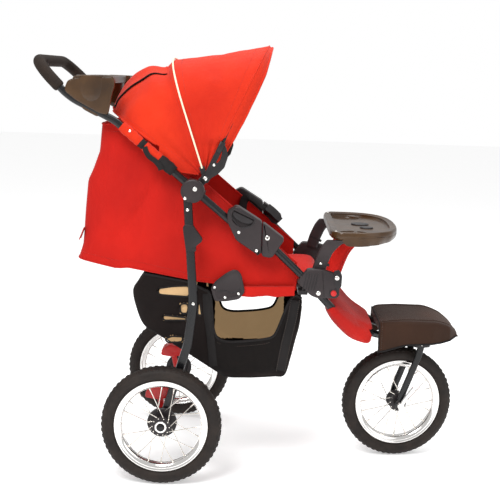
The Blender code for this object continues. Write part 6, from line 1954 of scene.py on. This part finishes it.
def makeFrontAxle():
    look = casterLook
    outer = look["axleY"] + 0.0003
    hubEnd = 0.0235 + 0.0003
    innerFace = look["bladeY"] - look["bladeThick"] / 2 - 0.0003
    half = [(0.0060, 0.0), (0.0060, hubEnd), (0.0084, hubEnd), (0.0084, innerFace - 0.0006), (0.0078, innerFace),
            (0.0058, innerFace), (0.0058, outer), (0.0092, outer), (0.0094, outer + 0.0010),
            (0.0094, outer + 0.0036), (0.0086, outer + 0.0048), (0.0, outer + 0.0050)]
    profile = [(r, t) for r, t in reversed(half)] + [(r, -t) for r, t in half[1:]]
    centre = steerMatrix() @ at(look["swivel"] - look["trail"], 0.0, axleHeight)
    axle = revolve("frontAxle", profile, centre, math.radians(look["steer"]), "chrome", 40, closed=False)
    fit(axle, "fork", "chrome", "front_axle")
    wheelX = look["swivel"] - look["trail"]
    near = -(outer + 0.0053)
    tail = (wheelX - 0.004, axleHeight - 0.010)
    path = smoothLine([Vector((*p, 0)) for p in (tail, (wheelX + 0.010, axleHeight + 0.018),
                                                 (wheelX + 0.036, axleHeight + 0.056))], 10)
    rings = []
    for i, point in enumerate(path):
        ahead = path[min(i + 1, len(path) - 1)] - path[max(i - 1, 0)]
        normal = Vector((-ahead.y, ahead.x, 0)).normalized()
        share = i / (len(path) - 1)
        wide = 0.0060 * (0.78 + 0.22 * math.sin(math.pi * min(1, share * 1.2)))
        wide *= min(1.0, 0.45 + 6 * (1 - share), 0.45 + 8 * share + 0.3)
        rings.append([at(point.x + normal.x * wide * math.cos(a), near - 0.0025 + 0.0024 * math.sin(a),
                         point.y + normal.y * wide * math.cos(a))
                      for a in (2 * math.pi * k / 20 for k in range(20))])
    lever = loft("leverArm", rings, "chrome", angle=50.0)
    knob = moulded("leverBoss", disc((wheelX, axleHeight), 0.0088, 36), near, near - 0.0049, "chrome", 0.0012, 0.0)
    lever = merge("quickRelease", [lever, knob])
    lever.data.transform(steerMatrix())
    fit(lever, "quick_release", "chrome", "quick_release_lever")


makeFootrest()
makeCasterHead()
makeFork()
makeFrontAxle()
print("footrest, caster and fork ready")


# Pads: remeshed, blown up a little as cloth, then sewn
padLook = {"voxel": 0.005, "pressure": 4.0, "frames": 20, "cap": 0.0060}


# Voxel remesh, then a cloth simulation with pressure, with its result applied
def puff(piece, voxel=None, cap=None):
    grid = piece.modifiers.new("grid", "REMESH")
    grid.mode = "VOXEL"
    grid.voxel_size = voxel or padLook["voxel"]
    name, finish = piece.name, piece.data.materials[0]
    piece = bake(piece)
    piece.data.materials.clear()
    piece.data.materials.append(finish)
    starts = [vertex.co.copy() for vertex in piece.data.vertices]
    cloth = piece.modifiers.new("cloth", "CLOTH")
    cloth.settings.quality = 5
    cloth.settings.mass = 0.3
    cloth.settings.tension_stiffness = 15
    cloth.settings.compression_stiffness = 15
    cloth.settings.bending_stiffness = 1.5
    cloth.settings.use_pressure = True
    cloth.settings.uniform_pressure_force = padLook["pressure"]
    cloth.settings.effector_weights.gravity = 0.0
    cloth.collision_settings.use_collision = False
    cloth.point_cache.frame_start = 1
    cloth.point_cache.frame_end = padLook["frames"]
    for moment in range(1, padLook["frames"] + 1):
        scene.frame_set(moment)
    graph = bpy.context.evaluated_depsgraph_get()
    ends = [vertex.co.copy() for vertex in piece.evaluated_get(graph).data.vertices]
    piece.modifiers.remove(cloth)
    scene.frame_set(1)
    limit = cap or padLook["cap"]
    for vertex, start, end in zip(piece.data.vertices, starts, ends):
        move = end - start
        if move.length > limit:
            move *= limit / move.length
        vertex.co = start + move
    form = bmesh.new()
    form.from_mesh(piece.data)
    bmesh.ops.smooth_vert(form, verts=form.verts, factor=0.5, use_axis_x=True, use_axis_y=True, use_axis_z=True)
    form.to_mesh(piece.data)
    form.free()
    piece.name = name
    soften(piece.data, 80.0)
    return piece


# Keeps a padded piece inside the node that it stands for
def clampTo(piece, node, room=0.0):
    low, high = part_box(node)
    for vertex in piece.data.vertices:
        vertex.co = Vector([min(max(value, a - room), b + room) for value, a, b in zip(vertex.co, low, high)])


def subdivide(piece, levels=1):
    change = piece.modifiers.new("fine", "SUBSURF")
    change.levels = levels
    change.render_levels = levels
    name = piece.name
    piece = bake(piece)
    piece.name = name
    soften(piece.data, 80.0)
    return piece


# The section of a pad at one place along it
def padRings(placeAt, half, height, draw, steps=22, edge=0.55):
    points = []
    for i in range(steps + 1):
        angle = math.pi * i / steps
        c = math.cos(angle)
        crown = height * (0.82 + 0.18 * math.sin(angle)) * max(math.sin(angle), 0.0) ** 0.45
        points.append(placeAt(max(crown, 0.0), half * draw * boxy(c, edge)))
    for share in (-0.66, -0.33, 0.0, 0.33, 0.66):
        points.append(placeAt(0.0, half * draw * share))
    return points


backLook = {"pivot": (0.1720, 0.5250), "angle": 171.0, "length": 0.352, "board": 0.007, "pad": 0.026, "start": 0.036,
            "half": 0.1680}


def seatPoint(distance, rise, y):
    run = ray(backLook["angle"])
    up = Vector((run.z, 0.0, -run.x))
    return lift(backLook["pivot"], y) + run * distance + up * rise


def makeBackPad():
    look = backLook
    foot = look["board"] / 2 + 0.0006
    steps = ((0.005, 0.35), (0.04, 0.80), (0.10, 0.94), (0.22, 0.96), (0.32, 0.95), (0.36, 0.84), (0.40, 0.95),
             (0.53, 0.96), (0.66, 0.95), (0.70, 0.84), (0.74, 0.95), (0.86, 0.96), (0.93, 0.90), (0.995, 0.4))
    rings = []
    for share, height in steps:
        distance = look["start"] + (look["length"] - look["start"]) * share
        rings.append(padRings(lambda rise, y: seatPoint(distance, foot + rise, y), look["half"] - 0.008,
                              (look["pad"] - 0.003) * height, 0.965 + 0.035 * math.cos(2 * math.pi * share)))
    pad = puff(loft("seatBackPad", rings, "padCloth"), 0.005, 0.004)
    clampTo(pad, "seat_back_pad")
    run = ray(look["angle"])
    base = lift(look["pivot"], 0.0)
    places = [look["start"] + (look["length"] - look["start"]) * share for share in (0.36, 0.70)]
    up = Vector((run.z, 0.0, -run.x))
    for vertex in pad.data.vertices:
        offset = vertex.co - base
        rise, distance = offset.dot(up), offset.dot(run)
        if rise < foot:
            vertex.co += up * (foot - rise)
        elif rise > foot + 0.010:
            dip = sum(math.exp(-((distance - place) / 0.006) ** 2) for place in places)
            vertex.co -= up * 0.0050 * min(dip, 1.0) * min(1.0, (rise - foot - 0.010) / 0.006)
    pad = subdivide(pad)
    seams = []
    for i, place in enumerate(places):
        for shift in (-0.004, 0.004):
            seams.append(stitches("backSeam%d" % i, [seatPoint(place + shift, foot + 0.0195, y * 0.145)
                                                     for y in (k / 20 - 1 for k in range(41))], "thread", 0.006))
    fit(pad, "seat_back", "red_fabric", "seat_back_pad")
    sewn = merge("backSeams", seams)
    fit(sewn, "seat_back", "red_fabric")


cushionLook = {"bottom": 0.4990, "height": 0.033, "half": 0.1720, "rear": 0.2000, "front": 0.3930}


def makeCushion():
    look = cushionLook
    steps = ((0.005, 0.4), (0.06, 0.80), (0.14, 0.93), (0.28, 0.96), (0.44, 0.95), (0.50, 0.84), (0.56, 0.95),
             (0.70, 0.96), (0.84, 0.94), (0.94, 0.80), (0.995, 0.4))
    rings = []
    for share, height in steps:
        x = look["rear"] + (look["front"] - look["rear"]) * share
        rings.append(padRings(lambda rise, y: at(x, y, look["bottom"] + rise), look["half"] - 0.004,
                              (look["height"] - 0.002) * height, 0.97 + 0.03 * math.cos(2 * math.pi * share)))
    pad = puff(loft("seatCushion", rings, "padCloth"), 0.005, 0.004)
    clampTo(pad, "seat_cushion")
    middle = at(look["rear"] + (look["front"] - look["rear"]) * 0.5, 0, 0).x
    floor = look["bottom"] + 0.016
    for vertex in pad.data.vertices:
        if vertex.co.z > floor:
            dip = math.exp(-((vertex.co.x - middle) / 0.006) ** 2)
            vertex.co.z -= 0.0050 * dip * min(1.0, (vertex.co.z - floor) / 0.006)
    pad = subdivide(pad)
    seams = [stitches("cushionSeam", [Vector((middle + shift, y * 0.150, look["bottom"] + 0.0262))
                                      for y in (k / 20 - 1 for k in range(41))], "thread", 0.006)
             for shift in (-0.0045, 0.0045)]
    fit(pad, "seat_frame", "red_fabric", "seat_cushion")
    sewn = merge("cushionSeams", seams)
    fit(sewn, "seat_frame", "red_fabric")


legLookRest = {
    "sections": ((0.4120, 0.4565, 0.0180, 0.2290, 42.0), (0.4400, 0.4230, 0.0240, 0.2140, 40.0),
                 (0.4840, 0.3790, 0.0270, 0.1700, 50.0), (0.5360, 0.3500, 0.0300, 0.1170, 82.0)),
}


def makeLegRest():
    rings = []
    keys = legLookRest["sections"]
    line = smoothLine([Vector((x, z, thick)) for x, z, thick, half, tilt in keys], 6)
    wide = smoothLine([Vector((half, tilt, 0.0)) for x, z, thick, half, tilt in keys], 6)
    for i, (point, extra) in enumerate(zip(line, wide)):
        up = ray(extra.y)
        share = i / (len(line) - 1)
        ends = 0.62 + 0.38 * min(1.0, share / 0.08, (1 - share) / 0.05)
        ring = []
        for k in range(44):
            angle = 2 * math.pi * k / 44
            c, d = math.cos(angle), math.sin(angle)
            across = (extra.x - 0.0030) * (0.985 + 0.015 * ends) * boxy(c, 0.35)
            high = (point.z - 0.0030) * ends * boxy(d, 0.6)
            ring.append(at(point.x, 0.0, point.y) + up * high + Vector((0, across, 0)))
        rings.append(ring)
    cover = loft("legRestPad", rings, "seatCloth")
    cutters = []
    for side in (1, -1):
        cutters.append(tubeAlong("restBore", frontPath(side), frontLook["radius"] + 0.0012, "seatCloth", 12))
        outline = [(x + (x - 0.385) * 0.02, z + (z - 0.51) * 0.02) for x, z in frontLook["bracket"]]
        cutters.append(moulded("restNotch", outline, side * 0.2020, side * 0.2500, "seatCloth", 0.0005, 0.004))
    cover = puff(cover, 0.005, 0.0035)
    clampTo(cover, "leg_rest_cover")
    cover = subdivide(cover)
    for vertex in cover.data.vertices:
        vertex.co += Vector((0, 0, 1)) * 0.0011 * noise.noise(vertex.co * 24.0)
    clampTo(cover, "leg_rest_cover")
    cover = carve(cover, cutters, 80.0)
    cover.name = "legRestCover"
    fit(cover, "front_frame", "red_fabric", "leg_rest_cover")


crotchLook = {
    "line": ((0.4170, 0.4600, 0.046, 0.020), (0.4260, 0.4920, 0.048, 0.034), (0.4360, 0.5350, 0.050, 0.044),
             (0.4480, 0.5680, 0.052, 0.046), (0.4640, 0.5900, 0.058, 0.042), (0.4780, 0.6040, 0.062, 0.034),
             (0.4860, 0.6120, 0.064, 0.022)),
}


def makeCrotchPanel():
    keys = crotchLook["line"]
    line = smoothLine([Vector((x, z, 0.0)) for x, z, half, thick in keys], 6)
    wide = smoothLine([Vector((half, thick, 0.0)) for x, z, half, thick in keys], 6)
    rings = []
    for i, (point, extra) in enumerate(zip(line, wide)):
        run = line[min(i + 1, len(line) - 1)] - line[max(i - 1, 0)]
        normal = Vector((-run.y, 0.0, run.x)).normalized()
        ring = []
        for k in range(36):
            angle = 2 * math.pi * k / 36
            c, d = math.cos(angle), math.sin(angle)
            ring.append(at(point.x, 0.0, point.y) + normal * extra.y / 2 * boxy(d, 0.7)
                        + Vector((0, extra.x * boxy(c, 0.45), 0)))
        rings.append(ring)
    pad = puff(loft("crotchPanel", rings, "padCloth"), 0.004, 0.003)
    for vertex in pad.data.vertices:
        vertex.co.z = min(vertex.co.z, 0.6190)
    fit(pad, "front_frame", "red_fabric")
    seams = []
    for side in (1, -1):
        spots = [at(point.x, side * (extra.x - 0.004), point.y)
                 + Vector((-(line[min(i + 1, len(line) - 1)] - line[max(i - 1, 0)]).y, 0.0,
                           (line[min(i + 1, len(line) - 1)] - line[max(i - 1, 0)]).x)).normalized() * -extra.y * 0.40
                 for i, (point, extra) in enumerate(zip(line, wide))][3:-4]
        seams.append(edgeTube("crotchPiping", spots, 0.0014, "padCloth", 8))
    sewn = merge("crotchSeams", seams)
    fit(sewn, "front_frame", "red_fabric")


makeBackPad()
makeCushion()
makeLegRest()
makeCrotchPanel()
print("pads ready")


# Seat frame: rails, side plates, harness
railLook = {
    "points": ((0.0718, 0.4572), (0.1050, 0.4800), (0.2000, 0.4830), (0.3823, 0.4898)), "radii": (0.05, 0.3),
    "middle": 0.196, "thick": 0.013, "width": 0.018, "sleeve": (0.1800, 0.3240),
}
plateLook = {
    "outline": ((0.1229, 0.4569), (0.1120, 0.4900), (0.1230, 0.5080), (0.1500, 0.5300), (0.1660, 0.5390),
                (0.1790, 0.5390), (0.1890, 0.5270), (0.1989, 0.4835), (0.1850, 0.4640), (0.1500, 0.4570)),
    "inner": 0.2030, "outer": 0.2098,
}


def makeRail(name, side):
    look = railLook
    low, high = side * (look["middle"] - look["thick"] / 2), side * (look["middle"] + look["thick"] / 2)
    path = flatPath(look["points"], look["radii"], 10)
    parts = [flatBar("railBar", path, look["width"], low, high, "blackPaint", 0.0030)]
    step = side * 0.0006
    for point in (look["points"][0], look["points"][-1]):
        parts.append(moulded("railEye", disc(point, 0.0112, 40), low + step, high - step, "blackPaint", 0.0020, 0.0))
    rail = merge("seatRail" + name.title(), parts)
    hole = rodPiece("railHole", lift(look["points"][0], low - side * 0.01), lift(look["points"][0], high + side * 0.01),
                    0.0044, 0.0044, 24, "blackPaint")
    rail = carve(rail, [hole])
    fit(rail, "seat_frame", "black_metal", "seat_rail_" + name)
    spots = resample([Vector((p[0], p[1], 0)) for p in path], 120)
    spots = [p for p in spots if look["sleeve"][0] < p.x < look["sleeve"][1]]
    rings = []
    for point in spots:
        ring = []
        for k in range(24):
            angle = 2 * math.pi * k / 24
            c, d = math.cos(angle), math.sin(angle)
            high = 0.0122 + 0.0012 * noise.noise(Vector((point.x * 60, d * 2, side * 3.0)))
            high += 0.0030 * max(0.0, -d) * (0.5 + 0.5 * math.sin(point.x * 95.0))
            ring.append(at(point.x, side * (0.1957 + 0.0071 * boxy(c, 0.3)),
                           point.y + high * boxy(d, 0.6)))
        rings.append(ring)
    wrap = loft("railSleeve" + name.title(), rings, "seatCloth", angle=60.0)
    fit(wrap, "seat_frame", "red_fabric")


def makeSidePlate(name, side):
    look = plateLook
    low, high = side * look["inner"], side * look["outer"]
    shell = moulded("plateShell", look["outline"], low, high, "greyMoulding", 0.0026, 0.007, crown=0.0, steps=4)
    inset = [point for point in insetLoop([Vector(p) for p in look["outline"]], 0.0085)]
    dish = moulded("plateDish", [(p.x, p.y) for p in inset], high - side * 0.0016, high + side * 0.01,
                   "greyMoulding", 0.0005, 0.006)
    shell = carve(shell, [dish])
    rib = flatBar("plateRib", ((0.1290, 0.4830), (0.1480, 0.4850), (0.1650, 0.4790), (0.1860, 0.4890)), 0.0030,
                  high - side * 0.0030, high - side * 0.0004, "darkMoulding", 0.0008)
    pin = rodPiece("reclinePin", lift(backLook["pivot"], side * (look["inner"] + 0.002)),
                   lift(backLook["pivot"], side * 0.1622), 0.0039, 0.0039, 20, "rivetSteel")
    plate = merge("sidePlate" + name.title(), [shell, rib, pin])
    fit(plate, "seat_frame", "grey_plastic", "seat_side_plate_" + name)
    spots = ((0.1489, 0.4680), (0.1827, 0.4783), (0.1220, 0.4930))
    heads = rivets("plateRivets" + name.title(), [lift(p, high - side * 0.0008) for p in spots], side, 0.0040, 0.0024)
    fit(heads, "seat_frame", "chrome")


def makeHarness():
    look = backLook
    rise = look["board"] / 2 + look["pad"] + 0.0009
    parts = []
    up = Vector((ray(look["angle"]).z, 0.0, -ray(look["angle"]).x))
    for side in (1, -1):
        line = []
        for i in range(26):
            share = i / 25
            distance = 0.075 + 0.165 * share
            wave = 0.0008 * math.sin(share * 9.0)
            line.append(seatPoint(distance, rise + 0.0018 + wave, side * (0.035 + 0.015 * share)))
        parts.append(makeBand("shoulderStrap", line, tuple(up), 0.032, 0.0022, "webbing"))
        for shift in (-0.0135, 0.0135):
            edge = [point + Vector((0, shift, 0)) + up * 0.0013 for point in line]
            parts.append(stitches("strapStitch", edge, "paleThread", 0.0052))
        slide = [seatPoint(0.120 + d, rise + 0.0036, side * 0.0390 + w) for d, w in ((0, 0), (0.014, 0))]
        parts.append(makeBand("strapSlide", slide, tuple(up), 0.040, 0.0040, "darkMoulding"))
    rings = []
    for level, inset in ((0.0, 0.0010), (0.0020, 0.0), (0.0090, 0.0016), (0.0116, 0.0046)):
        ring = []
        for k in range(48):
            angle = 2 * math.pi * k / 48
            c, d = math.cos(angle), math.sin(angle)
            along = 0.078 + (0.0215 - inset) * boxy(c, 0.5)
            across = (0.0440 - inset * 1.5) * boxy(d, 0.4)
            ring.append(seatPoint(along, rise + level, across))
        rings.append(ring)
    parts.append(loft("buckleBody", rings, "darkMoulding"))
    rings = []
    for level, size in ((0.0110, 1.0), (0.0130, 0.96), (0.0136, 0.80)):
        rings.append([seatPoint(0.078 + 0.0105 * size * math.cos(a), rise + level, 0.0105 * size * math.sin(a))
                      for a in (2 * math.pi * k / 32 for k in range(32))])
    parts.append(loft("buckleButton", rings, "redMoulding"))
    harness = merge("seatHarness", parts)
    fit(harness, "seat_back", "black_fabric", "harness")


def makeLooseBelt():
    line = [(0.1905, 0.1350, 0.5420), (0.1850, 0.1560, 0.5850), (0.1800, 0.1700, 0.6350), (0.1830, 0.1765, 0.6680),
            (0.1960, 0.1800, 0.6790), (0.2160, 0.1815, 0.6680), (0.2330, 0.1815, 0.6530), (0.2500, 0.1810, 0.6420),
            (0.2700, 0.1800, 0.6250)]
    spots = smoothLine([at(x, y, z) for x, y, z in line], 7)
    belt = makeBand("beltWeb", spots, [Vector((0.30, -0.9 + 0.6 * min(1.0, i / 30), 0.35)) for i in range(len(spots))],
                    0.024, 0.0022, "webbing")
    tip = [at(*p) for p in ((0.2480, 0.1790, 0.6500), (0.2640, 0.1780, 0.6380), (0.2800, 0.1770, 0.6230))]
    case = makeBand("beltBuckle", smoothLine(tip, 5), (0.3, -0.6, 0.7), 0.031, 0.010, "darkMoulding")
    tongue = [at(*p) for p in ((0.2800, 0.1770, 0.6230), (0.2880, 0.1765, 0.6140))]
    prong = makeBand("beltProng", tongue, (0.3, -0.6, 0.7), 0.022, 0.005, "darkMoulding")
    belt = merge("looseBelt", [belt, case, prong])
    fit(belt, "handle_frame", "black_fabric")


def dressBoards():
    for node in ("seat_board", "seat_back_board"):
        mesh = nodes[node].data
        mesh.materials.clear()
        mesh.materials.append(finishes["darkMoulding"])


for name, side in sides.items():
    makeRail(name, side)
    makeSidePlate(name, side)
makeHarness()
makeLooseBelt()
dressBoards()
print("seat frame ready")


# Basket
basketLook = {
    "half": 0.1790, "sag": 0.006, "cloth": 0.0016,
    "edge": ((-0.0620, 0.5090), (-0.0860, 0.4735), (-0.0760, 0.4200), (-0.0560, 0.3790), (-0.0180, 0.3550),
             (0.0500, 0.3130), (0.0800, 0.2945), (0.1000, 0.2820), (0.1200, 0.2700), (0.1380, 0.2590),
             (0.1600, 0.2495), (0.2050, 0.2500), (0.2500, 0.2525), (0.2800, 0.2550), (0.3058, 0.2600),
             (0.3190, 0.3050), (0.3290, 0.3500), (0.3390, 0.3950), (0.3440, 0.4540)),
    "rim": ((-0.0600, 0.5160), (-0.0400, 0.5130), (-0.0150, 0.5090), (0.0150, 0.5040), (0.0500, 0.4980),
            (0.0900, 0.4820), (0.1090, 0.4700), (0.1150, 0.4300), (0.1190, 0.3850), (0.1300, 0.3560),
            (0.1550, 0.3460), (0.2000, 0.3480), (0.2500, 0.3550), (0.2740, 0.3640), (0.2860, 0.3860),
            (0.3000, 0.4250), (0.3140, 0.4600), (0.3300, 0.4720), (0.3430, 0.4640)),
    "small": (((-0.0239, 0.4794), (0.0160, 0.4863), (0.0574, 0.4891), (0.0580, 0.4595), (-0.0223, 0.4639)),
              ((0.0334, 0.4418), (0.0556, 0.4425), (0.0533, 0.4155), (0.0353, 0.4163)),
              ((0.0800, 0.4430), (0.0850, 0.4430), (0.0900, 0.4130), (0.0790, 0.4140)),
              ((-0.0104, 0.4105), (0.0507, 0.4055), (0.0508, 0.3985), (-0.0088, 0.3965)),
              ((-0.0038, 0.3466), (0.0127, 0.3557), (0.0434, 0.3553), (0.0408, 0.3409), (0.0047, 0.3383))),
    "net": (0.1080, 0.3060, 0.2660), "down": 40, "around": 170,
}


def inside(point, outline):
    hit = False
    for (ax, az), (bx, bz) in zip(outline, outline[1:] + outline[:1]):
        if (az > point[1]) != (bz > point[1]) and point[0] < (bx - ax) * (point[1] - az) / (bz - az) + ax:
            hit = not hit
    return hit


def basketRows():
    look = basketLook
    rim = smoothLine([Vector((*p, 0)) for p in look["rim"]], 8)
    edgeLine = smoothLine([Vector((*p, 0)) for p in look["edge"]], 8)
    edge, rim = resampleTogether(edgeLine, rim, look["around"])
    rows = []
    for k, (e, r) in enumerate(zip(edge, rim)):
        place = k / (look["around"] - 1)
        half = look["half"]
        drawn = 0.004 + 0.009 * min(1.0, math.sin(math.pi * place) * 3)
        sag = look["sag"] * math.sin(math.pi * place)
        side = []
        for i in range(look["down"]):
            share = i / (look["down"] - 1)
            x = r.x + (e.x - r.x) * share
            z = r.y + (e.y - r.y) * share
            pull = 0.0032 * math.sin(place * 37.0 + share * 2.0) * math.sin(math.pi * share)
            pull += 0.0030 * noise.noise(Vector((x * 16, z * 11, 2.0)))
            inward = drawn * max(0.0, (share - 0.72) / 0.28) ** 2
            side.append(Vector((x, half + min(pull, 0.0016) - inward - 0.0010, z)))
        floor = []
        for i in range(1, 12):
            share = i / 11
            floor.append(Vector((e.x, (half - drawn) * (1 - share), e.y - sag * math.sin(share * math.pi / 2)
                                 + 0.0012 * noise.noise(Vector((e.x * 20, share * 5, 9.0))))))
        near = side + floor
        row = [at(p.x, p.y, p.z) for p in near] + [at(p.x, -p.y, p.z) for p in reversed(near[:-1])]
        rows.append(row)
    return rows


# Two lines of the same number of points, spread by the same shares
def resampleTogether(first, second, count):
    steps = len(first) - 1
    a, b = [], []
    weights = [0.0]
    for i in range(steps):
        weights.append(weights[-1] + (first[i + 1] - first[i]).length + 0.4 * (second[i + 1] - second[i]).length)
    k = 0
    for i in range(count):
        goal = weights[-1] * i / (count - 1)
        while k < steps - 1 and weights[k + 1] < goal:
            k += 1
        share = min(1.0, (goal - weights[k]) / max(weights[k + 1] - weights[k], 1e-9))
        a.append(first[k].lerp(first[k + 1], share))
        b.append(second[k].lerp(second[k + 1], share))
    return a, b


def onSide(outline, y):
    loop = roundCorners(outline, 0.010, 4)
    line = resample([Vector((p.x, p.y, 0)) for p in loop + [loop[0]]], max(24, len(loop)))
    return [at(p.x, y, p.y) for p in line]


def makeBasket():
    look = basketLook
    rows = basketRows()
    shell = sheetPiece("basketCloth", rows, look["cloth"], "darkCloth")
    shell.data.materials.append(finishes["net"])
    shell.data.materials.append(finishes["darkNet"])
    for face in shell.data.polygons:
        centre = face.center
        spot = (centre.x - originX, centre.z)
        if abs(centre.y) < 0.150:
            continue
        # Faces turned into the basket and the small mesh windows get the glowing tan net, painted light seen through
        # the mesh; the big net's outward faces stay dark
        inner = face.normal.y * centre.y < -0.05
        if any(inside(spot, outline) for outline in look["small"]):
            face.material_index = 1
        elif look["net"][0] < spot[0] < look["net"][1] and spot[1] > look["net"][2]:
            face.material_index = 1 if inner else 2
    parts = [shell]
    count = len(rows[0])
    for side, index in ((1, 0), (-1, count - 1)):
        rimLine = [row[index] for row in rows]
        parts.append(edgeTube("basketRim", rimLine, 0.0034, "webbing", 8))
        edgeIndex = look["down"] - 1 if side > 0 else count - look["down"]
        low = [row[edgeIndex] + Vector((0, side * 0.0004, 0)) for row in rows[3:-2]]
        parts.append(edgeTube("basketPiping", low, 0.0018, "webbing", 8))
        for outline in look["small"]:
            flat = onSide(outline, side * (look["half"] + 0.0006))
            parts.append(makeBand("netTape", flat + [flat[0], flat[1]], (0, side, 0), 0.0045, 0.0020, "webbing"))
        for line in (((0.1010, 0.4700), (0.1040, 0.4200), (0.1120, 0.3700), (0.1230, 0.2800)),
                     ((0.0680, 0.4800), (0.0630, 0.4300), (0.0640, 0.3900))):
            spots = smoothLine([at(x, side * (look["half"] + 0.0014), z) for x, z in line], 6)
            parts.append(makeBand("basketStrap", spots, (0, side, 0), 0.020, 0.0018, "webbing"))
        front = smoothLine([at(x, side * (look["half"] + 0.0012), z) for x, z in (
            (0.3270, 0.4600), (0.3200, 0.4100), (0.3080, 0.3500), (0.2960, 0.2740))], 6)
        parts.append(makeBand("basketCornerTape", front, (0, side, 0), 0.026, 0.0016, "webbing"))
        for shift in (-0.0110, 0.0110):
            parts.append(stitches("basketStitch", [p + Vector((shift, side * 0.0010, 0)) for p in front],
                                  "paleThread", 0.0056))
        hem = [at(x, side * (look["half"] + 0.0010), z) for x, z in (
            (0.1330, 0.3420), (0.1560, 0.3340), (0.2000, 0.3360), (0.2500, 0.3430), (0.2740, 0.3520))]
        parts.append(stitches("rimStitch", smoothLine(hem, 8), "paleThread", 0.0056))
    basket = merge("basketBag", parts)
    fit(basket, "seat_frame", "black_fabric", "basket")
    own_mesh(basket)


makeBasket()
print("basket ready")


print("all pieces ready")
